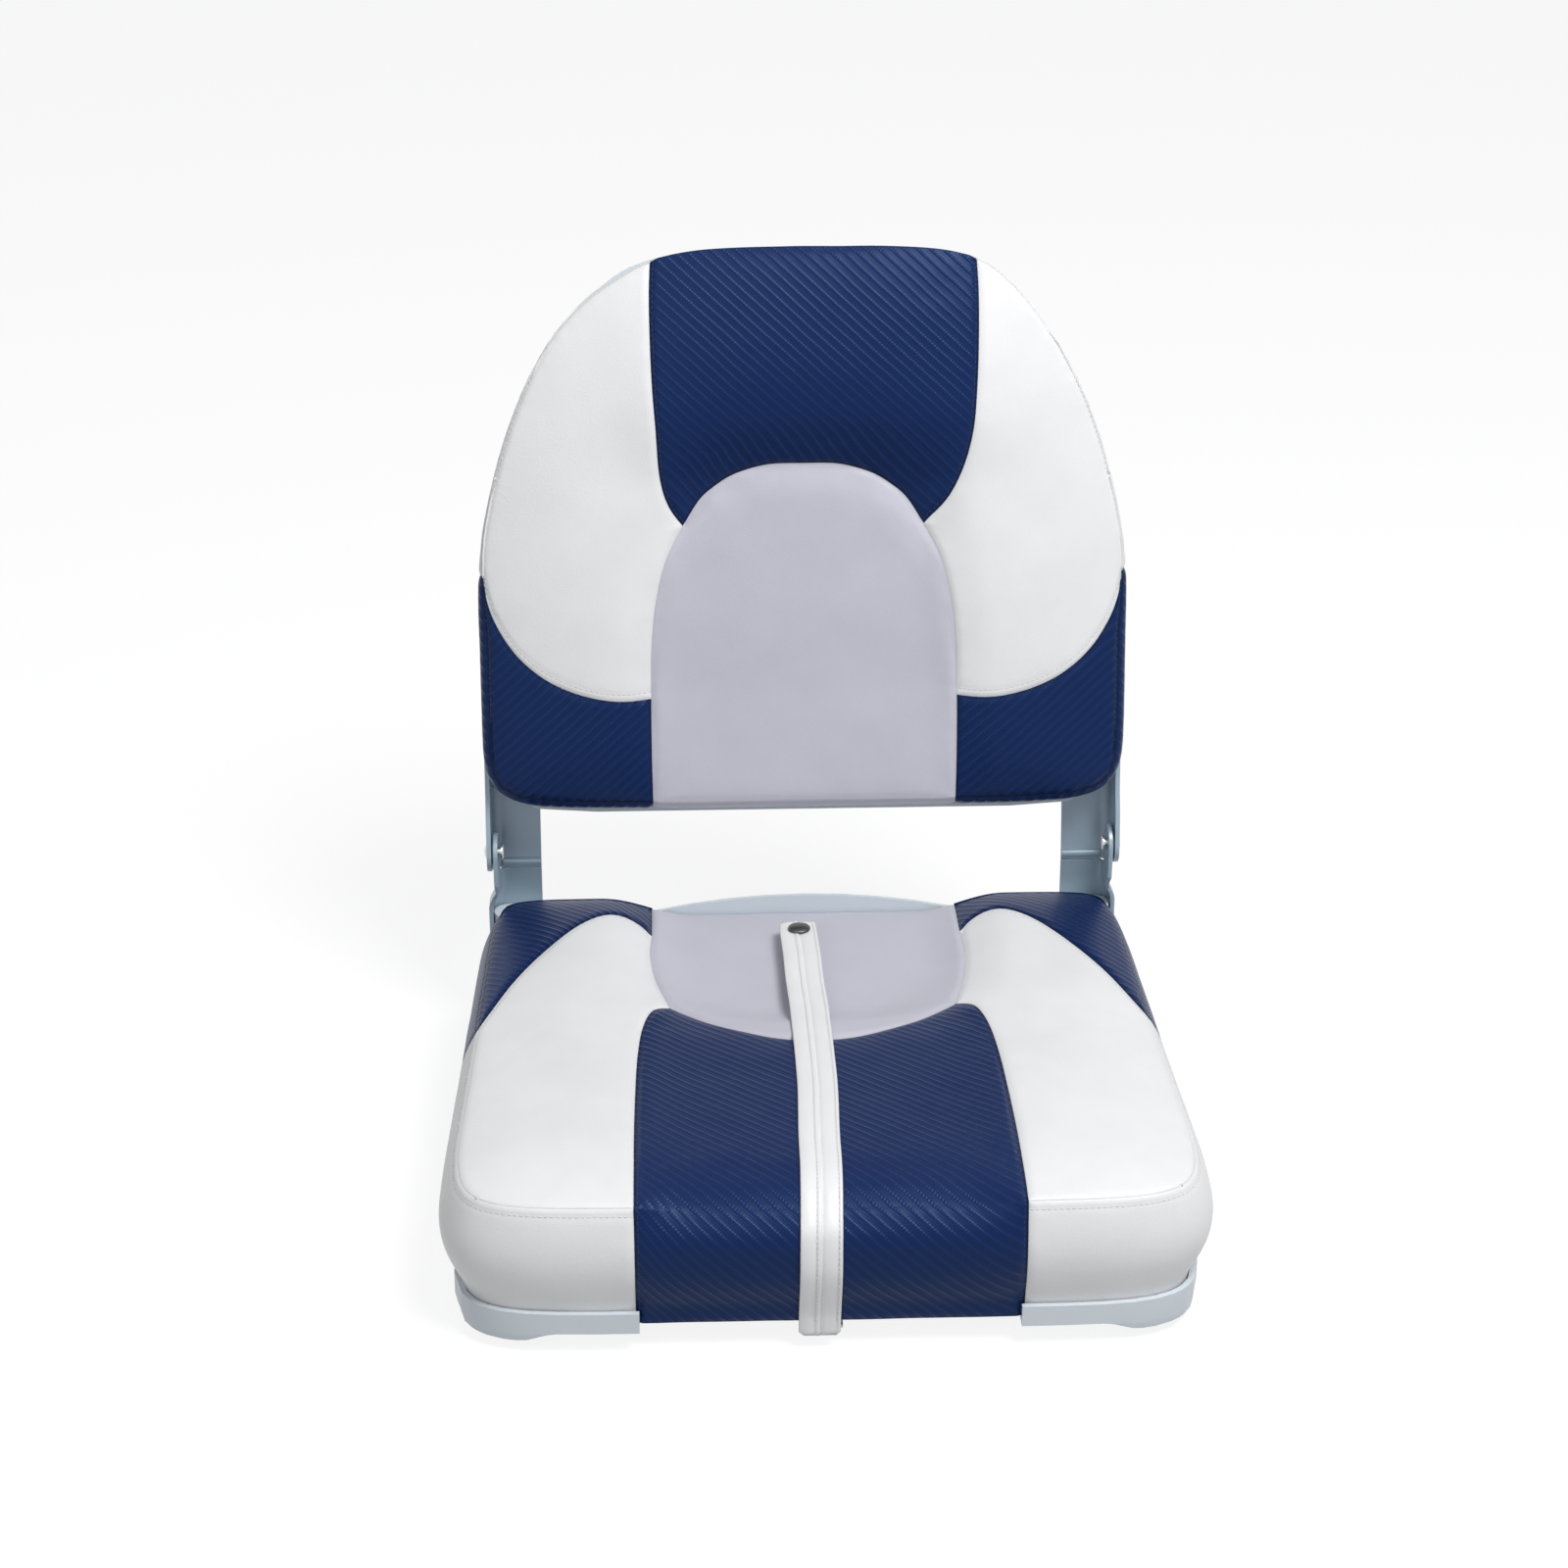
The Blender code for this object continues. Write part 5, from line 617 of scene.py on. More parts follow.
def seat_panels():
    long_side = (FRONT_TOP_STEPS, SCOOP_SIDE_STEPS)
    inner = in_steps((front_seam(1), FRONT_TOP_STEPS), (scoop_side(1), SCOOP_SIDE_STEPS))
    front_run = edge_run(FRONT_TURN, FRONT_CORNER_TURN, FRONT_CORNER_TURN)
    side_run = edge_run(FRONT_CORNER_TURN, SIDE_TURN, FRONT_CORNER_TURN)
    edges = (front_run, corner_seam(), inner, side_run)
    white = over_seat(evened(coons(edges, stations(SIDE_STEPS), stations(*long_side)), 0, SEAT_EVEN_REACH))
    tuck = smooth_line([(SCOOP_HALF, SCOOP_BEND_Y), tuple(seat_edge(REAR_TURN))])
    rear_run = edge_run(REAR_TURN, REAR_CORNER_TURN, REAR_CORNER_TURN)
    side_run = edge_run(SIDE_TURN, REAR_CORNER_TURN, REAR_CORNER_TURN)
    edges = (corner_seam(), rear_run, tuck, side_run)
    navy = over_seat(coons(edges, stations(SIDE_STEPS), stations(CORNER_STEPS)))
    white_steps = ((SIDE_STEPS,), long_side)
    navy_steps = ((CORNER_STEPS,), (SIDE_STEPS,))
    white_turns = (FRONT_TURN, FRONT_CORNER_TURN, SIDE_TURN)
    navy_turns = (SIDE_TURN, REAR_CORNER_TURN, REAR_TURN)
    right = [
        CoverPanel("seat_panel_white_right", "white_vinyl", white, flat_marks(white, 1)),
        CoverPanel("seat_panel_navy_right", "navy_vinyl", navy, flat_marks(navy, 1)),
        seat_band_panel("seat_band_white_right", "white_vinyl", white_steps, *white_turns),
        seat_band_panel("seat_band_navy_right", "navy_vinyl", navy_steps, *navy_turns),
    ]
    return [seat_front_panel(), seat_scoop_panel()] + right + [panel.mirrored() for panel in right]


# Back cushion surface, drawn as (x, z) with the front at -Y


def side_fade(z):
    """How far the side has stopped bulging, from the back's widest line up."""
    return smooth_step(z, BACK_WIDEST_Z, BULGE_FADE_Z)


def back_half_width(z):
    """Half the width that the seam would have at a height without its corners."""
    drawn = clamped((z - SHOULDER_LOW_Z) / (SHOULDER_HIGH_Z - SHOULDER_LOW_Z))
    return BACK_HALF_WIDTH + SHOULDER_GAIN * side_fade(z) - SHOULDER_DRAW * drawn**SHOULDER_POWER


def back_part(above):
    """The corner power and the height of the back above or below its widest line."""
    if above:
        return BACK_TOP_POWER, BACK_TOP_Z - BACK_WIDEST_Z
    return BACK_BOTTOM_POWER, BACK_WIDEST_Z - BACK_BOTTOM_Z


def back_edge_bare(turn):
    angle = math.radians(90 * (abs(turn) / 2 - 1))
    power, rise = back_part(angle > 0)
    u, v = abs(math.cos(angle)), math.sin(angle)
    size = rounded_reach(u, v, power)
    z = BACK_WIDEST_Z + rise * v / size
    x = back_half_width(z) * u / size
    return Vector((math.copysign(x, turn) if turn else x, z))


def back_edge(turn, out=0.0):
    """The seam round the front of the back: 0 is the middle of its foot and 4 of its top."""
    turn = min(max(turn, -BACK_TURN_END), BACK_TURN_END)
    return back_edge_bare(turn) + edge_normal(back_edge_bare, turn, BACK_NUDGE) * out


def back_reach(x, z):
    power, rise = back_part(z > BACK_WIDEST_Z)
    return rounded_reach(x / back_half_width(z), (z - BACK_WIDEST_Z) / rise, power)


def arch_reach(x, z):
    above = max(z - BACK_BOTTOM_Z, 0.0) / (ARCH_TOP_Z - BACK_BOTTOM_Z)
    return rounded_reach(x / ARCH_HALF, above, ARCH_POWER)


def back_front(x, z):
    """How far the cover's outer face stands ahead of the pivot line."""
    reach = min(back_reach(x, z), 1.0)
    outside = smooth_step(arch_reach(x, z), *ARCH_RIM)
    head = smooth_step(z / ARCH_TOP_Z, *HEAD_SWELL_RISE)
    head *= 1 - smooth_step(abs(x) / HEAD_PANEL_HALF, *HEAD_SWELL_FALL)
    crown = between(BACK_CENTRE_CROWN, BACK_CROWN, outside) + HEAD_CROWN * head
    return BACK_SEAM_FRONT + crown * (1 - reach**BACK_CROWN_POWER)


def gusset_point(turn, share):
    seam = back_edge(turn)
    bulge = BACK_BULGE * (1 - (1 - BULGE_KEPT) * side_fade(seam.y))
    flat = back_edge(turn, bulge * math.sin(math.pi * min(share * GUSSET_FULLNESS, 1.0)))
    return Vector((flat.x, -between(back_front(seam.x, seam.y), CUSHION_REAR, share), flat.y))


def on_back(rows):
    return [[Vector((p.x, -back_front(p.x, p.y), p.y)) for p in row] for row in rows]


HEAD_TURN = solve(lambda t: back_edge(t).x, HEAD_PANEL_HALF, 3.9, 2.5)
SIDE_SEAM_TURN = solve(lambda t: back_edge(t).y, LOWER_PANEL_SIDE_Z, 1.0, 3.0)
FOOT_TURN = solve(lambda t: back_edge(t).x, ARCH_HALF, 0.02, 0.9)
LOWER_CORNER_TURN = solve(lambda t: back_edge(t).y, LOWER_CORNER_Z, 0.4, 1.9)
SHOULDER_TURN = between(SIDE_SEAM_TURN, HEAD_TURN, SHOULDER_SHARE)
LOWER_ARCH = ((0.3, 0.3), (0.75, 0.65))
UPPER_ARCH = ((0.045, 0.3), (0.2, 0.58), (0.52, 0.82))
ARCH_TOP = ((0.0, 1.0), (0.285, 0.988), (0.55, 0.855), (0.7, 0.69), (0.85, 0.45))
HEAD_SEAM = ((0.859, 0.092), (0.932, 0.207), (0.97, 0.339), (0.9935, 0.517), (1.005, 0.7), (1.008, 0.885))
LOWER_SEAM = (
    (0.13, -0.01), (0.28, 0.005), (0.45, 0.06), (0.63, 0.17), (0.8, 0.36), (0.92, 0.6), (0.975, 0.8)
)


def lower_arch_side(side):
    return seam_line(side, back_edge(FOOT_TURN), (ARCH_HALF, LOWER_PANEL_Z), LOWER_ARCH)


def upper_arch_side(side):
    return seam_line(side, (ARCH_HALF, LOWER_PANEL_Z), (ARCH_SPLIT_X, ARCH_SPLIT_Z), UPPER_ARCH)


def arch_top():
    right = [(ARCH_SPLIT_X * a, between(ARCH_SPLIT_Z, ARCH_TOP_Z, b)) for a, b in ARCH_TOP]
    return mirrored_arc([*right, (ARCH_SPLIT_X, ARCH_SPLIT_Z)])


def head_seam(side):
    start, end = (ARCH_SPLIT_X, ARCH_SPLIT_Z), back_edge(HEAD_TURN)
    return seam_line(side, start, end, HEAD_SEAM, wide=HEAD_PANEL_HALF)


def lower_seam():
    return seam_line(1, (ARCH_HALF, LOWER_PANEL_Z), back_edge(SIDE_SEAM_TURN), LOWER_SEAM)


def back_run(start, end):
    return lambda share: back_edge(between(start, end, share))


def gusset_rows(turns):
    return [[gusset_point(turn, share) for turn in turns] for share in stations(GUSSET_STEPS)]


def back_band_panel(node, slot, steps, start, middle, end):
    turns = band_turns(
        steps, lambda share: between(start, middle, share), lambda share: between(middle, end, share)
    )
    rows = gusset_rows(turns)
    return CoverPanel(node, slot, rows, round_marks(rows, 1))


def head_panel():
    def top_edge(share):
        span = between(HEAD_TURN - 4, 4 - HEAD_TURN, share)
        point = back_edge(4 - abs(span))
        return Vector((math.copysign(point.x, span), point.y))

    across = stations(ARCH_STEPS)
    rows = on_back(coons((arch_top(), top_edge, head_seam(-1), head_seam(1)), across, stations(HEAD_STEPS)))
    spans = [between(HEAD_TURN - 4, 4 - HEAD_TURN, share) for share in across]
    for row in gusset_rows([4 - abs(span) for span in spans])[1:]:
        rows.append([Vector((math.copysign(p.x, span), p.y, p.z)) for p, span in zip(row, spans)])
    marks = wrapped_marks(rows, len(stations(HEAD_STEPS)), 2, 1)
    return CoverPanel("back_panel_navy_head", "navy_vinyl", rows, marks)


def arch_panel():
    def side(sign):
        upper, lower = turned_round(upper_arch_side(sign)), turned_round(lower_arch_side(sign))
        return in_steps((upper, ARCH_UPPER_STEPS), (lower, ARCH_LOWER_STEPS))

    across = stations(ARCH_STEPS)
    along = stations(ARCH_UPPER_STEPS, ARCH_LOWER_STEPS)
    rows = on_back(coons((arch_top(), back_run(-FOOT_TURN, FOOT_TURN), side(-1), side(1)), across, along))
    rows += gusset_rows([between(-FOOT_TURN, FOOT_TURN, share) for share in across])[1:]
    return CoverPanel("back_panel_grey", "grey_vinyl", rows, wrapped_marks(rows, len(along), 2, -1))


def back_panels():
    high = (ARCH_UPPER_STEPS, HEAD_STEPS)
    inner = in_steps((upper_arch_side(1), ARCH_UPPER_STEPS), (head_seam(1), HEAD_STEPS))
    edges = (lower_seam(), back_run(HEAD_TURN, SHOULDER_TURN), inner, back_run(SIDE_SEAM_TURN, SHOULDER_TURN))
    white = on_back(evened(coons(edges, stations(BACK_SIDE_STEPS), stations(*high)), -1, BACK_EVEN_REACH))
    edges = (
        back_run(FOOT_TURN, LOWER_CORNER_TURN),
        lower_seam(),
        lower_arch_side(1),
        back_run(LOWER_CORNER_TURN, SIDE_SEAM_TURN),
    )
    navy = on_back(coons(edges, stations(BACK_SIDE_STEPS), stations(ARCH_LOWER_STEPS)))
    low_steps = ((BACK_SIDE_STEPS,), (ARCH_LOWER_STEPS,))
    high_steps = (high, (BACK_SIDE_STEPS,))
    low_turns = (FOOT_TURN, LOWER_CORNER_TURN, SIDE_SEAM_TURN)
    high_turns = (SIDE_SEAM_TURN, SHOULDER_TURN, HEAD_TURN)
    right = [
        CoverPanel("back_panel_white_right", "white_vinyl", white, flat_marks(white, 2)),
        CoverPanel("back_panel_navy_right", "navy_vinyl", navy, flat_marks(navy, 2, -1)),
        back_band_panel("back_gusset_navy_right", "navy_vinyl", low_steps, *low_turns),
        back_band_panel("back_gusset_white_right", "white_vinyl", high_steps, *high_turns),
    ]
    panels = [head_panel(), arch_panel()] + right + [panel.mirrored() for panel in right]
    for panel in panels:
        panel.rows = [[tucked(head_leaned(arch_dipped(eased(point)))) for point in row] for row in panel.rows]
    return panels


def eased(point):
    """The low part of the back swells a little less, which leaves room over the seat when it is folded."""
    inside = max(1 - back_reach(point.x, point.z) ** BACK_CROWN_POWER, 0.0)
    share = inside * (1 - smooth_step(point.z, *LOW_EASE_FALL))
    return point + Vector((0, LOW_EASE * share, 0))


def arch_dipped(point):
    """The cover falls toward the seam over the arch, which the padded head swells above."""
    reach = arch_reach(point.x, point.z)
    fall = clamped((reach - ARCH_DIP_START) / ARCH_DIP_RUN)
    ease = max(1 - max(reach - ARCH_DIP_DEEPEST, 0.0) / ARCH_DIP_REACH, 0.0) ** 2
    share = fall * ease * smooth_step(point.z, *ARCH_DIP_RISE)
    depth = clamped((-point.y - CUSHION_REAR) / (BACK_SEAM_FRONT - CUSHION_REAR))
    return point + Vector((0, ARCH_DIP * share * depth, 0))


def head_leaned(point):
    """The head panel is sewn in leaning a little to the right, and its neighbours give way."""
    share = smooth_step(arch_reach(point.x, point.z), *HEAD_LEAN_RIM) * smooth_step(point.z, *HEAD_LEAN_RISE)
    share *= 1 - smooth_step(abs(point.x), HEAD_PANEL_HALF, HEAD_LEAN_END)
    return point + Vector((HEAD_LEAN * share, 0, 0))


def tucked(point):
    """Draws the top and the shoulders of the back in toward their rear."""
    share = smooth_step(point.z, *BACK_TUCK_RISE)
    return point - Vector((0, 0, BACK_TUCK * max(point.y + BACK_SEAM_FRONT, 0.0) * share))


def tucked_in_place(place):
    return BACK_TURN @ tucked(BACK_TURN.inverted() @ place)


def rounded_outline(made):
    """Splits the long facets of the back's rim and sets the new corners on the back's own curve."""
    long_edges, ends = [], []
    for edge in made.edges:
        first, last = (BACK_TURN.inverted() @ vertex.co for vertex in edge.verts)
        reaches = [back_reach(place.x, place.z) for place in (first, last)]
        high = min(first.z, last.z) > OUTLINE_FROM_Z and reaches[0] > OUTLINE_REACH
        level = abs(reaches[0] - reaches[1]) < OUTLINE_LEVEL and abs(first.y - last.y) < OUTLINE_DEPTH
        if high and level and edge.calc_length() > OUTLINE_STEP:
            long_edges.append(edge)
            ends.append((first, last, sum(reaches) / 2))
    made_by = bmesh.ops.subdivide_edges(made, edges=long_edges, cuts=OUTLINE_CUTS, use_grid_fill=True)
    for vertex in made_by["geom_inner"]:
        if isinstance(vertex, bmesh.types.BMVert):
            place = BACK_TURN.inverted() @ vertex.co
            wanted = min(ends, key=lambda run: off_line(place, run[0], run[1]))[2]
            away = Vector((place.x, 0, place.z - BACK_WIDEST_Z))
            share = wanted / max(back_reach(place.x, place.z), 1e-6)
            vertex.co = BACK_TURN @ (place + away * (share - 1))


def off_line(place, start, end):
    """How much longer the way from start to end is through this place."""
    return (place - start).length + (place - end).length - (end - start).length


# Making a sewn cover from its panels

SEWN_WITHIN = 0.05 * MM
SLIVER = 0.02 * MM
CREASE = math.radians(60)

# The cloth step, and the seams, gathers and dips that follow it
CLOTH_FRAMES = 20
CLOTH_SETTINGS = {
    "quality": 4,
    "mass": 0.25,
    "tension_stiffness": 18,
    "compression_stiffness": 18,
    "shear_stiffness": 8,
    "bending_stiffness": 1.2,
    "use_pressure": True,
}
SEAM_SAMPLE = 0.5 * MM
SEAM_FALL_POWER = 1.7
NO_SEAM = 10 * MM
GATHER_AWAY = 4 * MM
GATHER_SPREAD = 5 * MM
GATHER_START = 2 * MM
STITCH_SAMPLE = 0.7 * MM
STITCH_DIP = 0.45 * MM
STITCH_DIP_REACH = 1.3 * MM
RIPPLE_START = 25 * MM

# Noise in two layers: their scales, the share of the second and its shift
GATHER_NOISE = ((130, 260), 0.6, (3, 1, 7))
RIPPLE_NOISE = ((16, 38), 0.5, (9, 2, 4))


def deselect():
    if bpy.context.object and bpy.context.object.mode != "OBJECT":
        bpy.ops.object.mode_set(mode="OBJECT")
    bpy.ops.object.select_all(action="DESELECT")


def make_active(obj):
    deselect()
    obj.select_set(True)
    bpy.context.view_layer.objects.active = obj


def apply_step(obj, kind, **values):
    """Adds a modifier, sets it and applies it."""
    step = obj.modifiers.new(kind.title(), kind)
    for key, value in values.items():
        setattr(step, key, value)
    make_active(obj)
    bpy.ops.object.modifier_apply(modifier=step.name)


def linked(name, data):
    obj = bpy.data.objects.new(name, data)
    bpy.context.scene.collection.objects.link(obj)
    return obj


def made_piece(name, made):
    """A new object from a bmesh, which is then let go."""
    mesh = bpy.data.meshes.new(name)
    made.to_mesh(mesh)
    made.free()
    return linked(name, mesh)


def surface_of(obj):
    """The object's faces, ready for a search of the nearest one."""
    places = [vertex.co for vertex in obj.data.vertices]
    return BVHTree.FromPolygons(places, [face.vertices for face in obj.data.polygons])


def marked(obj, name, domain, values):
    """Keeps a number for each point or face, which the finishes read."""
    mark = obj.data.attributes.new(name, "FLOAT", domain)
    mark.data.foreach_set("value", np.asarray(values, np.float32))
    return obj


def joined_cover(name, panels, middle):
    """One mesh of all the panels, sewn at their shared points, with the panel's number on each face."""
    made = bmesh.new()
    layer = made.loops.layers.uv.new("cover")
    for index, panel in enumerate(panels):
        grid = [[made.verts.new(point) for point in row] for row in panel.rows]
        faces = []
        for i in range(len(grid) - 1):
            for j in range(len(grid[0]) - 1):
                corners = ((i, j), (i, j + 1), (i + 1, j + 1), (i + 1, j))
                face = made.faces.new([grid[row][column] for row, column in corners])
                face.material_index = index
                face.normal_update()
                for loop, (row, column) in zip(face.loops, corners):
                    loop[layer].uv = panel.marks[row][column]
                faces.append(face)
        outward = sum((face.calc_center_median() - middle).dot(face.normal) for face in faces)
        if outward < 0:
            bmesh.ops.reverse_faces(made, faces=faces)
    bmesh.ops.remove_doubles(made, verts=made.verts[:], dist=SEWN_WITHIN)
    bmesh.ops.dissolve_degenerate(made, edges=made.edges[:], dist=SLIVER)
    return made_piece(name, made)


def points_of(mesh):
    places = np.empty(len(mesh.vertices) * 3)
    mesh.vertices.foreach_get("co", places)
    return places.reshape(-1, 3)


def put_points(mesh, places):
    mesh.vertices.foreach_set("co", places.ravel())
    mesh.update()


def sewn_edges(mesh):
    """Pairs of points along each seam, and the points on the cover's open rim."""
    owner = {}
    for face in mesh.polygons:
        for key in face.edge_keys:
            owner.setdefault(key, []).append(face.material_index)
    seams = [key for key, used in owner.items() if len(set(used)) > 1]
    rim = {point for key, used in owner.items() if len(used) == 1 for point in key}
    return seams, rim


def swelled(obj, puff, pressure):
    """Stuffs the sewn cover: a cloth step under pressure, held at its seams and rim."""
    before = points_of(obj.data)
    normals = np.array([vertex.normal for vertex in obj.data.vertices])
    seams, rim = sewn_edges(obj.data)
    held = obj.vertex_groups.new(name="held")
    held.add(sorted({point for key in seams for point in key} | rim), 1.0, "REPLACE")
    cloth = obj.modifiers.new("Cloth", "CLOTH")
    for key, value in CLOTH_SETTINGS.items():
        setattr(cloth.settings, key, value)
    cloth.settings.uniform_pressure_force = pressure
    cloth.settings.effector_weights.gravity = 0
    cloth.settings.vertex_group_mass = "held"
    cloth.collision_settings.use_collision = False
    cloth.point_cache.frame_start = 1
    cloth.point_cache.frame_end = CLOTH_FRAMES
    for step in range(1, CLOTH_FRAMES + 1):
        bpy.context.scene.frame_set(step)
    make_active(obj)
    bpy.ops.object.modifier_apply(modifier=cloth.name)
    bpy.context.scene.frame_set(1)
    moved = points_of(obj.data) - before
    out = np.maximum((moved * normals).sum(axis=1, keepdims=True), 0.0)
    put_points(obj.data, before + normals * puff * np.tanh(out / puff))


def tree_of(points):
    tree = KDTree(len(points))
    for index, point in enumerate(points):
        tree.insert(point, index)
    tree.balance()
    return tree


def uneven(place, scales, share, shift):
    """Smooth noise in two layers, the second finer and weaker."""
    coarse, fine = scales
    return noise.noise(place * coarse) + share * noise.noise(place * fine + Vector(shift))


def drawn_in(obj, settings, stitch_points):
    """Sinks the seams and the stitch lines, and adds the small gathers beside them."""
    mesh = obj.data
    seams, _ = sewn_edges(mesh)
    places = [Vector(point) for point in points_of(mesh)]
    samples = []
    for first, second in seams:
        start, end = places[first], places[second]
        steps = max(int((end - start).length / SEAM_SAMPLE), 1)
        samples += [start.lerp(end, step / steps) for step in range(steps + 1)]
    seam_tree = tree_of(samples)
    stitch_tree = tree_of(stitch_points)
    away = np.zeros(len(places), np.float32)
    moved = []
    for index, vertex in enumerate(mesh.vertices):
        place, normal = places[index], vertex.normal
        nearest, _, distance = seam_tree.find(place)
        away[index] = distance
        near = max(1 - distance / settings.seam_reach, 0.0)
        sink = settings.seam_depth * near**SEAM_FALL_POWER
        fade = math.exp(-(((distance - GATHER_AWAY) / GATHER_SPREAD) ** 2))
        fade *= min(distance / GATHER_START, 1.0)
        gather = uneven(nearest, *GATHER_NOISE)
        _, _, to_stitch = stitch_tree.find(place)
        dip = STITCH_DIP * math.exp(-((to_stitch / STITCH_DIP_REACH) ** 2))
        rise = settings.ripple * uneven(place, *RIPPLE_NOISE) * min(distance / RIPPLE_START, 1.0)
        moved.append(place + normal * (settings.pucker * gather * fade + rise - sink - dip))
    put_points(mesh, np.array(moved))
    marked(obj, "seam_away", "POINT", away)


def cut_out(cover, index, name, slit):
    """One panel of the sewn cover as a mesh of its own, drawn back a hair from its seams."""
    made = bmesh.new()
    made.from_mesh(cover.data)
    others = [face for face in made.faces if face.material_index != index]
    bmesh.ops.delete(made, geom=others, context="FACES")
    for vertex in made.verts:
        if vertex.is_boundary:
            inside = Vector()
            for edge in vertex.link_edges:
                if not edge.is_boundary:
                    inside += (edge.other_vert(vertex).co - vertex.co).normalized()
            vertex.co += inside.normalized() * slit if inside.length > 1e-6 else Vector()
    for face in made.faces:
        face.material_index = 0
        face.smooth = True
    return made_piece(name, made)


def border(panel, side, offset):
    """A line on the panel at this distance from one of its four borders."""
    rows = panel.rows
    if side in ("inner", "outer"):
        lines = [row if side == "inner" else row[::-1] for row in rows]
    else:
        order = rows if side == "front" else rows[::-1]
        lines = [[row[j] for row in order] for j in range(len(rows[0]))]
    points = []
    for line in lines:
        reach = offset
        for start, end in zip(line, line[1:]):
            span = (end - start).length
            if reach <= span:
                points.append(start.lerp(end, reach / max(span, 1e-9)))
                break
            reach -= span
    return points


def evenly(points, pitch):
    """Points at an even spacing along a line."""
    placed, reach = [], pitch / 2
    for start, end in zip(points, points[1:]):
        span = (end - start).length
        while reach <= span:
            placed.append((start.lerp(end, reach / span), (end - start).normalized()))
            reach += pitch
        reach -= span
    return placed


# Rows of topstitching: the panel, the border that it follows and its distance from it
SEAT_STITCHES = (
    ("seat_band_white_right", "front", 5.6 * MM),
    ("seat_band_navy_right", "front", 5.0 * MM),
    ("seat_panel_white_right", "rear", 5.0 * MM),
    ("seat_panel_navy_front", "inner", 1.9 * MM),
    ("seat_panel_navy_front", "outer", 1.9 * MM),
)
BACK_STITCHES = (
    ("back_panel_white_right", "front", 5.0 * MM),
    ("back_panel_white_right", "outer", 1.3 * MM),
    ("back_panel_navy_right", "outer", 1.3 * MM),
    ("back_panel_navy_head", "inner", 1.9 * MM),
    ("back_panel_navy_head", "outer", 1.9 * MM),
)


def stitch_lines(panels, wanted):
    """Each row of stitches as (panel, points), on both sides of the seat."""
    named = {panel.node: panel for panel in panels}
    lines = []
    for node, side, offset in wanted:
        lines.append((named[node], border(named[node], side, offset)))
        if "right" in node:
            other = {"inner": "outer", "outer": "inner"}.get(side, side)
            twin = named[node.replace("right", "left")]
            lines.append((twin, border(twin, other, offset)))
    return lines


# A stitch along its length, as shares of its half length and of its radius
STITCH_PROFILE = ((-1.0, 0.35), (-0.8, 0.85), (-0.35, 1.0), (0.35, 1.0), (0.8, 0.85), (1.0, 0.35))
STITCH_SIDES = 6
STITCH_RISE = 0.35
STITCH_SAG = 1.1
STITCH_SAG_POWER = 4


def stitch_row(name, points, surface, sewing):
    """One row of stitches: short rounded threads that lie half sunk in the vinyl."""
    half, radius = sewing.length / 2, sewing.thread / 2
    sides, rings = STITCH_SIDES, len(STITCH_PROFILE)
    verts, faces = [], []
    for place, along in evenly(points, sewing.pitch):
        spot, normal, _, _ = surface.find_nearest(place)
        along = (along - normal * along.dot(normal)).normalized()
        across = normal.cross(along)
        base = len(verts)
        for run, size in STITCH_PROFILE:
            sag = -(run**STITCH_SAG_POWER) * radius * STITCH_SAG
            centre = spot + along * (half * run) + normal * (radius * STITCH_RISE + sag)
            for step in range(sides):
                angle = math.tau * step / sides
                verts.append(centre + (across * math.cos(angle) + normal * math.sin(angle)) * radius * size)
        for ring in range(rings - 1):
            for step in range(sides):
                a, b = base + ring * sides + step, base + ring * sides + (step + 1) % sides
                faces.append((a, b, b + sides, a + sides))
        faces.append(tuple(base + step for step in reversed(range(sides))))
        last = base + (rings - 1) * sides
        faces.append(tuple(last + step for step in range(sides)))
    mesh = bpy.data.meshes.new(name)
    mesh.from_pydata(verts, [], faces)
    made = bmesh.new()
    made.from_mesh(mesh)
    bmesh.ops.recalc_face_normals(made, faces=made.faces[:])
    made.to_mesh(mesh)
    made.free()
    mesh.shade_smooth()
    return linked(name, mesh)


def away_from_seams(obj):
    """Tells the vinyl's finish that no point of this piece lies in a seam, so no painted seam shade falls on
    it.
    """
    return marked(obj, "seam_away", "POINT", np.full(len(obj.data.vertices), NO_SEAM))


def dressed(obj, slot):
    """Gives the piece this finish and no other."""
    obj.data.materials.clear()
    obj.data.materials.append(FINISHES[slot])


def finished(obj, body, slot, *nodes):
    """Gives the piece its finish and its body, and hides the CAD nodes that it stands for."""
    dressed(obj, slot)
    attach(obj, body)
    slot if slot in RECORD_SLOTS else THREAD_SLOTS[slot]
    if nodes:
        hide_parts(*nodes)
    return obj


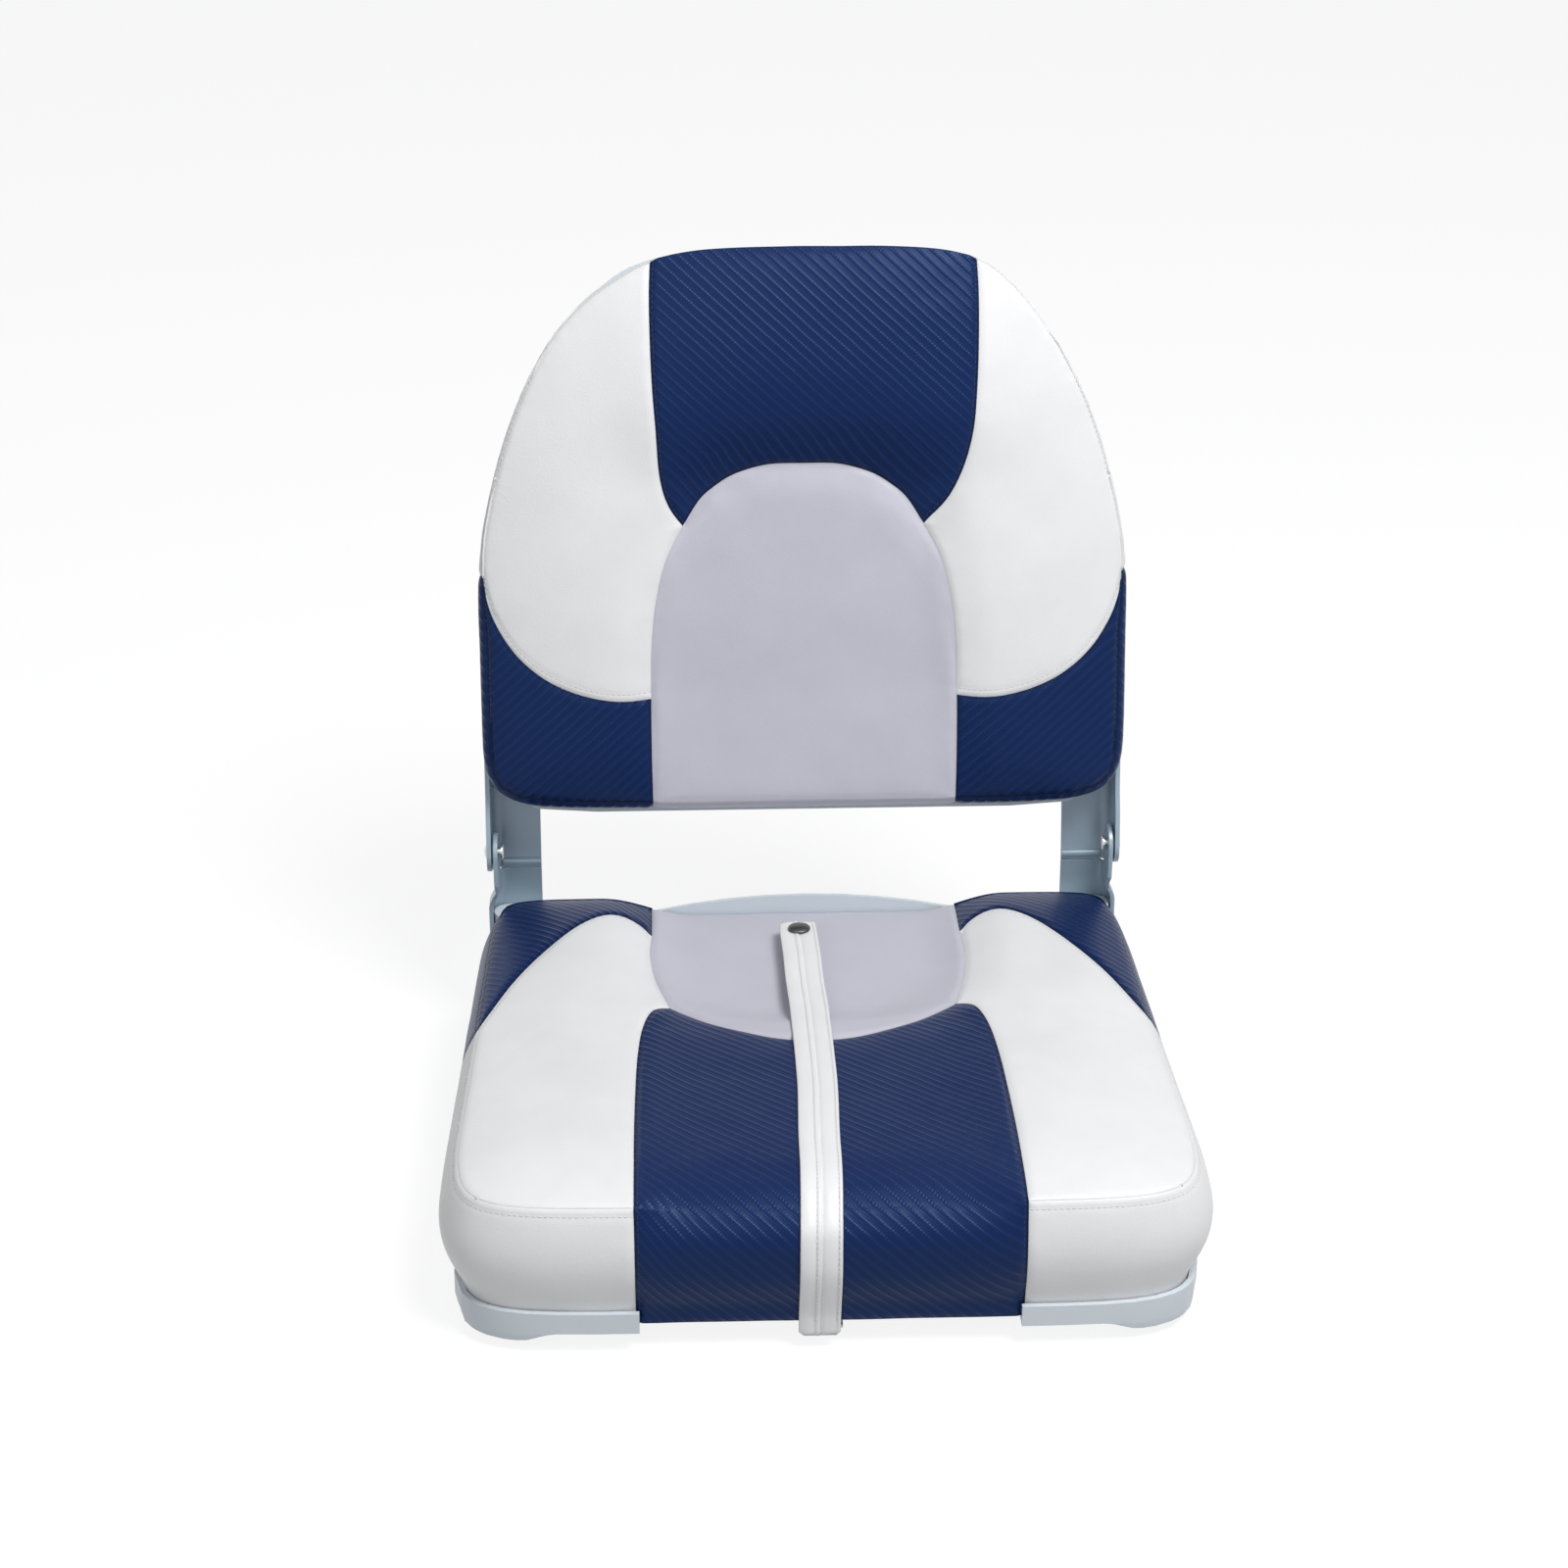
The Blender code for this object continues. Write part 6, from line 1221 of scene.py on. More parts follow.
def sewn_cushion(kind, panels, wanted, middle, turn, body, extra):
    """Makes one cushion's cover: sewn, stuffed, drawn in at its seams, cut into panels and stitched."""
    covers, sewing = bpy.context.scene.seat_covers, bpy.context.scene.seat_sewing
    cover = joined_cover(f"{kind}_cover", panels, middle)
    swelled(cover, covers.puff, covers.pressure)
    apply_step(cover, "SUBSURF", levels=1, render_levels=1)
    lines = stitch_lines(panels, wanted)
    dense = [point for _, line in lines for point, _ in evenly(line, STITCH_SAMPLE)]
    surface = surface_of(cover)
    drawn_in(cover, covers, [surface.find_nearest(point)[0] for point in dense])
    COVERED[kind] = surface_of(cover)
    surfaces = {}
    for index, panel in enumerate(panels):
        obj = cut_out(cover, index, f"{panel.node}_cover", covers.seam_slit)
        surfaces[panel.node] = surface_of(obj)
        apply_step(obj, "SOLIDIFY", thickness=VINYL, offset=-1.0, use_even_offset=False)
        obj.data.shade_smooth()
        obj.data.set_sharp_from_angle(angle=CREASE)
        obj.data.transform(turn)
        finished(obj, body, panel.slot, panel.node, *extra.get(panel.node, ()))
    for number, (panel, line) in enumerate(lines):
        row = stitch_row(f"{kind}_stitches_{number + 1}", line, surfaces[panel.node], sewing)
        row.data.transform(turn)
        finished(row, body, "thread_dark" if panel.slot == "navy_vinyl" else "thread_light")
    bpy.data.objects.remove(cover, do_unlink=True)


# Strap

STRAP_WIDTH = 25 * MM
STRAP = 2.6 * MM
STRAP_OFFSET_X = -5 * MM
STRAP_CLEAR = 0.5 * MM
STRAP_END_Y = 152 * MM
STRAP_END_LIFT = 12 * MM
STRAP_FOOT_Z = 9.5 * MM
SNAP_SET_BACK = 14 * MM
STRAP_STEP = 2.5 * MM
STRAP_SHARES = (-1.0, -0.5, 0.0, 0.5, 1.0)
FREE_SHARES = (0.25, 0.5, 0.75, 1.0)
ROWS_A_STATION = 3
STRAP_NUDGE = 0.004
STRAP_LOOK = 15
LIFT_EVENED = 3
LIFT_HELD = 2
STRAP_END_FROM = 0.965
STRAP_END_CURL = 0.9 * MM
STRAP_END_NARROW = 0.03
STRAP_END_SIZE = 0.8

# How far the strap strays to the right of its own line, by the share of its length
STRAP_STRAY = ((0.0, -1.6), (0.12, -1.0), (0.3, 0.6), (0.5, 2.6), (0.7, 2.2), (0.86, 0.6), (1.0, -0.8))

# The strap cut across, as shares of half its width and of its thickness, from its left edge
STRAP_SECTION = (
    (-1.0, 0.36),
    (-0.985, 0.6),
    (-0.93, 0.76),
    (-0.66, 0.8),
    (-0.3, 0.84),
    (-0.255, 0.68),
    (-0.215, 0.9),
    (-0.14, 1.0),
    (-0.04, 0.97),
    (0.0, 0.86),
    (0.018, 0.5),
    (0.05, 0.52),
    (0.09, 0.7),
    (0.3, 0.76),
    (0.72, 0.76),
    (0.79, 0.6),
    (0.84, 0.78),
    (0.93, 0.86),
    (0.98, 0.7),
    (1.0, 0.42),
    (0.97, 0.12),
    (0.88, 0.0),
    (0.3, 0.0),
    (-0.3, 0.0),
    (-0.88, 0.0),
    (-0.98, 0.12),
)
STRAP_STITCHES = (-0.255, 0.79)
STRAP_STITCHED = slice(4, -3)


def stray(share):
    """How far the strap lies to the right of its own line."""
    for (before, first), (after, second) in zip(STRAP_STRAY, STRAP_STRAY[1:]):
        if share <= after:
            return between(first, second, smooth_step(share, before, after)) * MM
    return STRAP_STRAY[-1][1] * MM


def strap_x(share, across, width=1.0):
    """The X of a place across the strap, from -1 at its left edge to 1 at its right."""
    return STRAP_OFFSET_X + stray(share) + across * STRAP_WIDTH / 2 * width


def strap_stations(front):
    """The strap's under face on its middle line, as (y, z), from its foot to its free end."""
    column = min(range(len(front.rows[0])), key=lambda j: abs(front.rows[0][j].x - STRAP_OFFSET_X))
    line = [Vector((row[column].y, row[column].z)) for row in reversed(front.rows)]
    over = []
    for index, point in enumerate(line):
        along = line[min(index + 1, len(line) - 1)] - line[max(index - 1, 0)]
        over.append(point + Vector((-along.y, along.x)).normalized() * STRAP_CLEAR)
    last, end = over[-1], Vector((STRAP_END_Y, seat_top(0, STRAP_END_Y) + STRAP_END_LIFT))
    flat_end = 1 - 2 * SNAP_SET_BACK / (end - last).length
    free = []
    for share in FREE_SHARES:
        point = last.lerp(end, flat_end * share)
        free.append(Vector((point.x, point.y - STRAP * math.sin(math.pi * share) ** 2)))
    return [Vector((over[0].x, STRAP_FOOT_Z))] + over[::ROWS_A_STATION] + [last] + free + [end]


def strap_frames(front):
    """Even steps along the strap: its place, the way out and the share of its length."""
    places = strap_stations(front)
    line = smooth_line([(0, point.x, point.y) for point in places])
    total = sum((b - a).length for a, b in zip(places, places[1:]))
    steps = round(total / STRAP_STEP)
    frames = []
    for index in range(steps + 1):
        share = index / steps
        along = (line(share + STRAP_NUDGE) - line(share - STRAP_NUDGE)).normalized()
        frames.append([line(share), Vector((0, -along.z, along.y)), share])
    lifts = []
    for place, out, share in frames:
        lift = 0.0
        for across in STRAP_SHARES:
            spot = place + Vector((strap_x(share, across), 0, 0))
            hit = COVERED["seat"].ray_cast(spot + out * STRAP_LOOK * MM, -out, 2 * STRAP_LOOK * MM)[0]
            if hit:
                lift = max(lift, (hit - spot).dot(out) + STRAP_CLEAR)
        lifts.append(lift)
    for index, item in enumerate(frames):
        near = range(max(index - LIFT_EVENED, 0), min(index + LIFT_EVENED + 1, len(lifts)))
        nearby = [max(lifts[max(i - LIFT_HELD, 0) : i + LIFT_HELD + 1]) for i in near]
        item[0] = item[0] + item[1] * (sum(nearby) / len(nearby))
    return frames, total


def strap_points(frames):
    """Rings of points round the strap."""
    rings = []
    for place, out, share in frames:
        near_end = smooth_step(share, STRAP_END_FROM, 1.0)
        ring = []
        for across, up in STRAP_SECTION:
            curl = -STRAP_END_CURL * near_end * max(-across, 0.0) ** 3
            x = strap_x(share, across, 1 - STRAP_END_NARROW * near_end)
            ring.append(place + Vector((x, 0, 0)) + out * (up * STRAP + curl))
        rings.append(ring)
    return rings


def strap_band(front):
    """The folded and stitched strap, closed at both ends."""
    frames, total = strap_frames(front)
    rings = strap_points(frames)
    for ring in (0, -1):
        middle = sum(rings[ring], Vector()) / len(rings[ring])
        rings[ring] = [middle + (point - middle) * STRAP_END_SIZE for point in rings[ring]]
    made = bmesh.new()
    verts = [[made.verts.new(point) for point in ring] for ring in rings]
    count = len(STRAP_SECTION)
    for first, second in zip(verts, verts[1:]):
        for j in range(count):
            made.faces.new((first[j], first[(j + 1) % count], second[(j + 1) % count], second[j]))
    made.faces.new(verts[0])
    made.faces.new(reversed(verts[-1]))
    bmesh.ops.recalc_face_normals(made, faces=made.faces[:])
    obj = made_piece("strap_vinyl", made)
    obj.data.shade_smooth()
    lines = []
    for across in STRAP_STITCHES:
        line = []
        for place, out, share in frames[STRAP_STITCHED]:
            line.append(place + out * 2 * STRAP + Vector((strap_x(share, across), 0, 0)))
        lines.append(line)
    return obj, lines, total


# Rigid pieces

SAME_POINT = 0.01 * MM
FLAT_ANGLE = math.radians(1)
SMOOTH_ANGLE = math.radians(32)
TURNED_ANGLE = math.radians(40)
SCREW_ANGLE = math.radians(35)
BRACKET_ANGLE = math.radians(30)
SHELL_ANGLE = math.radians(35)
BEVEL_SEGMENTS = 3
PAN_EDGE = 0.8 * MM
SHELL_EDGE = 0.7 * MM
BOARD_EDGE = 0.3 * MM
TAB_EDGE = 0.8 * MM
CROWN_POINT = 0.3 * MM

# Heads from the middle of the crown out, as shares of the radius and heights in millimetres
SCREW_HEAD = ((0.5, -0.12), (0.8, -0.45), (0.95, -1.0), (1.0, -1.6), (0.98, -2.1))
RIVET_HEAD = ((0.28, -0.1), (0.55, -0.5), (0.78, -1.3), (0.94, -2.5), (1.0, -3.3), (0.97, -3.6))
SNAP_HEAD = (
    (0.3, -0.08),
    (0.55, -0.35),
    (0.76, -0.9),
    (0.83, -1.2),
    (0.87, -1.1),
    (0.93, -1.3),
    (0.99, -1.8),
    (1.0, -2.3),
    (0.97, -2.6),
)

# The rivet's set foot, as radii and heights over its lower end in millimetres
RIVET_FOOT = ((2.6, 0.05), (4.6, 0.3), (5.3, 0.9), (5.4, 1.8), (3.0, 1.85))
RIVET_SHANK_TOP = ((3.0 * MM, -3.62 * MM),)
SCREW_SHANK = 1.9 * MM
SCREW_POINT = ((SCREW_SHANK, 2.0 * MM), (0.4 * MM, 0.0))
SCREW_NECK = ((SCREW_SHANK, -2.15 * MM),)
RECESS_LONG = 1.05
RECESS_WIDE = 0.2
RECESS_DEEP = 2.4 * MM
SNAP_POST = 2.0 * MM
SNAP_POST_TOP = -2.62 * MM


def broken_edges(name, slot, body, width, angle=BRACKET_ANGLE, shape=None, rounded=False):
    """A CAD piece with its edges broken: its facets joined, bevelled and smoothed."""
    made = bmesh.new()
    made.from_mesh(frame["nodes"][name].data)
    bmesh.ops.remove_doubles(made, verts=made.verts[:], dist=SAME_POINT)
    bmesh.ops.dissolve_limit(
        made,
        angle_limit=FLAT_ANGLE,
        verts=made.verts[:],
        edges=made.edges[:],
        use_dissolve_boundaries=False,
    )
    if rounded:
        rounded_outline(made)
        bmesh.ops.triangulate(made, faces=[face for face in made.faces if len(face.verts) > 4])
    if shape:
        for vertex in made.verts:
            vertex.co = shape(vertex.co)
    obj = made_piece(f"{name}_finished", made)
    apply_step(
        obj,
        "BEVEL",
        width=width,
        segments=BEVEL_SEGMENTS,
        limit_method="ANGLE",
        angle_limit=angle,
        miter_outer="MITER_ARC",
        material=1,
    )
    edges = np.empty(len(obj.data.polygons), np.int32)
    obj.data.polygons.foreach_get("material_index", edges)
    marked(obj, "edge_share", "FACE", edges)
    obj.data.polygons.foreach_set("material_index", np.zeros(len(edges), np.int32))
    make_active(obj)
    bpy.ops.object.shade_smooth_by_angle(angle=SMOOTH_ANGLE)
    apply_step(obj, "WEIGHTED_NORMAL", mode="FACE_AREA", keep_sharp=True)
    return finished(obj, body, slot, name)


def head_rings(radius, head):
    """The rings of a head, from the crown's middle out."""
    return ((CROWN_POINT, 0.0), *((radius * share, height * MM) for share, height in head))


def stood_along(axis):
    return Vector(axis).to_track_quat("Z", "Y").to_matrix().to_4x4()


def turned_piece(name, profile, place, axis, sides=48):
    """A round piece: a disc drawn out ring by ring along its profile of (radius, height)."""
    deselect()
    radius, height = profile[0]
    bpy.ops.mesh.primitive_circle_add(
        vertices=sides, radius=radius, fill_type="NGON", location=(0, 0, height)
    )
    obj = bpy.context.object
    obj.name = name
    bpy.ops.object.transform_apply()
    bpy.ops.object.mode_set(mode="EDIT")
    bpy.ops.mesh.select_all(action="SELECT")
    for next_radius, next_height in profile[1:]:
        bpy.ops.mesh.extrude_region_move(TRANSFORM_OT_translate={"value": (0, 0, next_height - height)})
        size = next_radius / radius
        bpy.ops.transform.resize(value=(size, size, 1), center_override=(0, 0, next_height))
        radius, height = next_radius, next_height
    bpy.ops.mesh.select_all(action="SELECT")
    bpy.ops.mesh.normals_make_consistent(inside=False)
    bpy.ops.object.mode_set(mode="OBJECT")
    obj.data.transform(Matrix.Translation(place) @ stood_along(axis))
    obj.data.name = name
    make_active(obj)
    bpy.ops.object.shade_smooth_by_angle(angle=TURNED_ANGLE)
    return obj


def along_axis(name, axis):
    """A round CAD piece's end and start along an axis, its middle line and its largest radius."""
    points = [vertex.co for vertex in frame["nodes"][name].data.vertices]
    runs = [point.dot(axis) for point in points]
    flat = [point - axis * run for point, run in zip(points, runs)]
    low = Vector([min(point[i] for point in flat) for i in range(3)])
    high = Vector([max(point[i] for point in flat) for i in range(3)])
    middle = (low + high) / 2
    return max(runs), min(runs), middle, max((point - middle).length for point in flat)


def screw_piece(name, axis, body):
    """A pan head screw with a cross recess, standing for the CAD node of that name."""
    top, tip, middle, head = along_axis(name, axis)
    point = [(radius, tip - top + height) for radius, height in SCREW_POINT]
    profile = (*head_rings(head, SCREW_HEAD), *SCREW_NECK, *point)
    place = middle + axis * top
    obj = turned_piece(f"{name}_finished", profile, place, axis, sides=32)
    for x, y in ((RECESS_WIDE, RECESS_LONG), (RECESS_LONG, RECESS_WIDE)):
        deselect()
        bpy.ops.mesh.primitive_cube_add(size=1.0)
        tool = bpy.context.object
        size = Matrix.Diagonal((head * x, head * y, RECESS_DEEP, 1))
        tool.data.transform(Matrix.Translation(place) @ stood_along(axis) @ size)
        apply_step(obj, "BOOLEAN", operation="DIFFERENCE", solver="EXACT", object=tool)
        bpy.data.objects.remove(tool, do_unlink=True)
    make_active(obj)
    bpy.ops.object.shade_smooth_by_angle(angle=SCREW_ANGLE)
    return finished(obj, body, "bright_steel", name)


def body_of(name):
    """The body that the record gives a node to."""
    for body, nodes in frame["record"]["behaviour"]["bodies"].items():
        if name in nodes:
            return body
    raise RuntimeError(f"no body holds {name}")


def rivet_piece(name, outward):
    """A hinge rivet: its domed head outside, its shank and its set foot inside."""
    top, foot, middle, head = along_axis(name, outward)
    length = foot - top
    foot_rings = [(radius * MM, length + height * MM) for radius, height in RIVET_FOOT]
    dome = reversed(head_rings(head, RIVET_HEAD))
    profile = ((CROWN_POINT, length), *foot_rings, *RIVET_SHANK_TOP, *dome)
    obj = turned_piece(f"{name}_finished", profile, middle + outward * top, outward)
    return finished(obj, body_of(name), "bright_steel", name)


def snap_axis():
    """The way out of the snap, square to the strap's end."""
    points = strap_stations(seat_front_panel())
    along = (points[-1] - points[-2]).normalized()
    return Vector((0, -along.y, along.x))


def snap_piece():
    """The snap's cap and post."""
    axis = snap_axis()
    top, foot, middle, rim = along_axis("snap_cap", axis)
    post = ((SNAP_POST, foot - top), (SNAP_POST, SNAP_POST_TOP))
    profile = (*post, *reversed(head_rings(rim, SNAP_HEAD)))
    obj = turned_piece("snap_cap_finished", profile, middle + axis * top, axis, sides=64)
    return finished(obj, "strap", "snap_metal", "snap_cap")


# Materials

RECORD_SLOTS = [material["slot"] for material in frame["record"]["materials"]]
THREAD_SLOTS = {"thread_light": "white_vinyl", "thread_dark": "navy_vinyl"}
# Painted highlight: the lighter navy painted on the crests of the embossed ribs
NAVY_RIB_HIGHLIGHT = (0.0065, 0.023, 0.100)
NAVY_GLOSS = (0.5, 0.66, 1.0)
WORN_PAINT = (0.55, 0.57, 0.60)
NYLON = (0.78, 0.77, 0.72)

# The navy vinyl's ribs: their slants in degrees, their pitches as shares of the main one, and their drift
RIB_SLANT = 42
CROSS_SLANT = -48
CROSS_PITCH = 0.36
FINE_PITCH = 0.25
RIB_POWER = 3.0
RIB_DRIFT = 0.0012

# How fine each texture is, and how the broken edges wear
GRAIN_SCALE = 900.0
SPARK_SCALE = 1500.0
THREAD_SCALE = 3000.0
WOOD_STRETCH = (8.0, 120.0, 120.0)
WEAR_PATCHES = (0.42, 0.62)
EDGE_WEAR = 0.5


def feed(tree, target, value):
    """Links a socket to an input, or sets the input to a plain value."""
    if isinstance(value, bpy.types.NodeSocket):
        tree.links.new(value, target)
    else:
        target.default_value = value


def node(tree, kind, **values):
    """Adds a node. A value goes to the input or the setting of that name, with _ for a space."""
    made = tree.nodes.new(kind)
    for key, value in values.items():
        label = key.replace("_", " ")
        if label in made.inputs:
            feed(tree, made.inputs[label], value)
        else:
            setattr(made, key, value)
    return made


def joined(tree, kind, *values, **settings):
    """The first output of a node that is fed in the order of its inputs."""
    made = node(tree, kind, **settings)
    for target, value in zip(made.inputs, values):
        feed(tree, target, value)
    return made.outputs[0]


def math_node(tree, operation, *values):
    return joined(tree, "ShaderNodeMath", *values, operation=operation)


def spread(tree, value, base, span):
    """The base, and the span on top where the value is 1."""
    return math_node(tree, "MULTIPLY_ADD", value, span, base)


def mixed(tree, share, first, second):
    """A colour between two, by a share."""
    made = node(tree, "ShaderNodeMix", data_type="RGBA")
    for index, value in ((0, share), (6, first), (7, second)):
        feed(tree, made.inputs[index], value)
    return made.outputs[2]


def ramp(tree, value, low, high):
    made = node(
        tree, "ShaderNodeMapRange", interpolation_type="SMOOTHSTEP", Value=value, From_Min=low, From_Max=high
    )
    return made.outputs["Result"]


def group(name, inputs, outputs):
    tree = bpy.data.node_groups.new(name, "ShaderNodeTree")
    for label, kind, default in inputs:
        socket = tree.interface.new_socket(label, in_out="INPUT", socket_type=kind)
        if default is not None:
            socket.default_value = default
    for label, kind in outputs:
        tree.interface.new_socket(label, in_out="OUTPUT", socket_type=kind)
    return tree, tree.nodes.new("NodeGroupInput").outputs, tree.nodes.new("NodeGroupOutput").inputs


def noise_mask(tree, place, scale, detail=2.0):
    return node(tree, "ShaderNodeTexNoise", Vector=place, Scale=scale, Detail=detail).outputs["Fac"]


def vinyl_grain_group():
    """Fine pebbled leather grain, and a broad tone."""
    tree, given, made = group(
        "vinyl_grain",
        (("Place", "NodeSocketVector", None), ("Size", "NodeSocketFloat", 1.0)),
        (("Height", "NodeSocketFloat"), ("Tone", "NodeSocketFloat")),
    )
    scale = math_node(tree, "DIVIDE", GRAIN_SCALE, given["Size"])
    pebbles = node(
        tree, "ShaderNodeTexVoronoi", feature="SMOOTH_F1", Vector=given["Place"], Scale=scale, Smoothness=0.7
    )
    fine = noise_mask(tree, given["Place"], scale=2600.0)
    feed(tree, made["Height"], spread(tree, fine, pebbles.outputs["Distance"], 0.35))
    feed(tree, made["Tone"], noise_mask(tree, given["Place"], scale=24.0, detail=3.0))


def twill_group():
    """Slanting ribs with a finer cross rib, embossed in the navy vinyl; Rib is the crests' mask, for their
    painted highlight and their roughness.
    """
    tree, given, made = group(
        "twill_emboss",
        (("Place", "NodeSocketVector", None), ("Pitch", "NodeSocketFloat", 0.0056)),
        (("Height", "NodeSocketFloat"), ("Rib", "NodeSocketFloat")),
    )
    parts = node(tree, "ShaderNodeSeparateXYZ", Vector=given["Place"])
    across, up = parts.outputs["X"], parts.outputs["Y"]
    wander = noise_mask(tree, given["Place"], scale=30.0, detail=1.0)
    drift = math_node(tree, "MULTIPLY", math_node(tree, "SUBTRACT", wander, 0.5), RIB_DRIFT)

    def ribs(slant, share):
        angle = math.radians(slant)
        run = math_node(tree, "MULTIPLY", across, math.sin(angle))
        run = math_node(tree, "ADD", math_node(tree, "MULTIPLY_ADD", up, math.cos(angle), run), drift)
        turns = math_node(tree, "DIVIDE", run, math_node(tree, "MULTIPLY", given["Pitch"], share))
        wave = math_node(tree, "SINE", math_node(tree, "MULTIPLY", turns, math.tau))
        return spread(tree, wave, 0.5, 0.5)

    main = math_node(tree, "POWER", ribs(RIB_SLANT, 1.0), RIB_POWER)
    cross = ribs(CROSS_SLANT, CROSS_PITCH)
    fine = ribs(RIB_SLANT, FINE_PITCH)
    height = math_node(tree, "MULTIPLY", main, spread(tree, cross, 0.6, 0.45))
    feed(tree, made["Height"], spread(tree, fine, height, 0.12))
    feed(tree, made["Rib"], math_node(tree, "MULTIPLY", main, spread(tree, cross, 0.6, 0.4)))


def wear_group():
    """Light scuffs along broken edges, in patches."""
    tree, given, made = group(
        "edge_wear",
        (
            ("Place", "NodeSocketVector", None),
            ("Edge", "NodeSocketFloat", 0.0),
            ("Amount", "NodeSocketFloat", 0.5),
        ),
        (("Wear", "NodeSocketFloat"),),
    )
    patches = ramp(tree, noise_mask(tree, given["Place"], scale=140.0, detail=4.0), *WEAR_PATCHES)
    wear = math_node(tree, "MULTIPLY", given["Edge"], patches)
    feed(tree, made["Wear"], math_node(tree, "MULTIPLY", wear, given["Amount"]))


def moulded_group():
    """The fine spark texture of a moulded surface."""
    tree, given, made = group(
        "moulded_texture",
        (("Place", "NodeSocketVector", None), ("Size", "NodeSocketFloat", 1.0)),
        (("Height", "NodeSocketFloat"), ("Tone", "NodeSocketFloat")),
    )
    scale = math_node(tree, "DIVIDE", SPARK_SCALE, given["Size"])
    feed(tree, made["Height"], noise_mask(tree, given["Place"], scale))
    feed(tree, made["Tone"], noise_mask(tree, given["Place"], scale=11.0))


def place_group(tree, name, **values):
    made = tree.nodes.new("ShaderNodeGroup")
    made.node_tree = bpy.data.node_groups[name]
    for key, value in values.items():
        feed(tree, made.inputs[key], value)
    return made.outputs


def new_finish(name):
    made = bpy.data.materials.new(name)
    made.use_nodes = True
    tree = made.node_tree
    FINISHES[name] = made
    return tree, tree.nodes["Principled BSDF"], tree.nodes.new("ShaderNodeTexCoord").outputs


def shaded(tree, shader, colour, rough, **plain):
    """Feeds a shader its colour, its roughness and other inputs, named with _ for a space."""
    for key, value in {"Base_Color": colour, "Roughness": rough, **plain}.items():
        feed(tree, shader.inputs[key.replace("_", " ")], value)


def bumped(tree, shader, height, distance, strength, under=None):
    """Gives the shader a relief of this height, over another where there is one."""
    bump = node(tree, "ShaderNodeBump", Strength=strength, Distance=distance, Height=height)
    if under:
        tree.links.new(under, bump.inputs["Normal"])
    tree.links.new(bump.outputs["Normal"], shader.inputs["Normal"])
    return bump.outputs["Normal"]


def rgba(colour, share=1.0):
    return (*(part * share for part in colour), 1.0)


def toned(tree, share, colour, low, high):
    """The colour between two depths of it, by a share."""
    return mixed(tree, share, rgba(colour, low), rgba(colour, high))


def seam_shade_share(tree, low, high):
    """0 in a seam and 1 from this distance away: the mask of the painted shade along the seams."""
    return ramp(tree, node(tree, "ShaderNodeAttribute", attribute_name="seam_away").outputs["Fac"], low, high)


def plain_vinyl(name, colour, grain):
    """Smooth upholstery vinyl: fine grain, faint handling tone, and a little painted shade in the seams."""
    tree, shader, place = new_finish(name)
    grains = place_group(tree, "vinyl_grain", Place=place["Object"], Size=grain)
    tone = toned(tree, ramp(tree, grains["Tone"], 0.3, 0.7), colour, 0.965, 1.0)
    # Painted shade: the vinyl is darkened to 92 % within 1.8 mm of a seam
    tone = mixed(tree, seam_shade_share(tree, 0.0, 0.0018), rgba(colour, 0.92), tone)
    rough = spread(tree, grains["Tone"], 0.36, 0.14)
    shaded(tree, shader, tone, rough, Specular_IOR_Level=0.42, Sheen_Weight=0.04)
    bumped(tree, shader, grains["Height"], distance=0.00012, strength=0.55)


def navy_vinyl(colour, pitch):
    """Navy vinyl embossed with a slanting twill, with painted highlights on its rib crests and a painted
    shadow along its seams.
    """
    tree, shader, place = new_finish("navy_vinyl")
    twill = place_group(tree, "twill_emboss", Place=place["UV"], Pitch=pitch)
    grains = place_group(tree, "vinyl_grain", Place=place["Object"], Size=0.8)
    # Painted highlight and shade: the rib crests are painted lighter and the hollows between them darker than
    # the navy
    tone = mixed(tree, twill["Rib"], rgba(colour, 0.88), rgba(NAVY_RIB_HIGHLIGHT))
    # Painted shadow: the navy is darkened to 55 % at its seams, fading out 3 mm away
    tone = mixed(tree, seam_shade_share(tree, 0.0004, 0.0030), rgba(colour, 0.55), tone)
    rough = spread(tree, twill["Rib"], 0.36, -0.06)
    shaded(tree, shader, tone, rough, Specular_IOR_Level=0.2, Specular_Tint=rgba(NAVY_GLOSS))
    under = bumped(tree, shader, twill["Height"], distance=0.00045, strength=0.7)
    bumped(tree, shader, grains["Height"], distance=0.00006, strength=0.4, under=under)


def thread_finish(name, colour):
    tree, shader, place = new_finish(name)
    twist = noise_mask(tree, place["Object"], THREAD_SCALE)
    shaded(tree, shader, toned(tree, twist, colour, 0.8, 1.1), 0.6)
    bumped(tree, shader, twist, distance=0.0001, strength=0.5)


def edge_scuffs(tree, place):
    """How far the paint or plastic is worn, along its broken edges."""
    edge = node(tree, "ShaderNodeAttribute", attribute_name="edge_share").outputs["Fac"]
    return place_group(tree, "edge_wear", Place=place["Object"], Edge=edge, Amount=EDGE_WEAR)["Wear"]


def moulded_plastic(name, colour, rough):
    tree, shader, place = new_finish(name)
    texture = place_group(tree, "moulded_texture", Place=place["Object"], Size=1.0)
    tone = toned(tree, texture["Tone"], colour, 0.95, 1.03)
    tone = mixed(tree, edge_scuffs(tree, place), tone, rgba(colour, 1.12))
    shaded(tree, shader, tone, spread(tree, texture["Tone"], rough, 0.12))
    bumped(tree, shader, texture["Height"], distance=0.00008, strength=0.5)


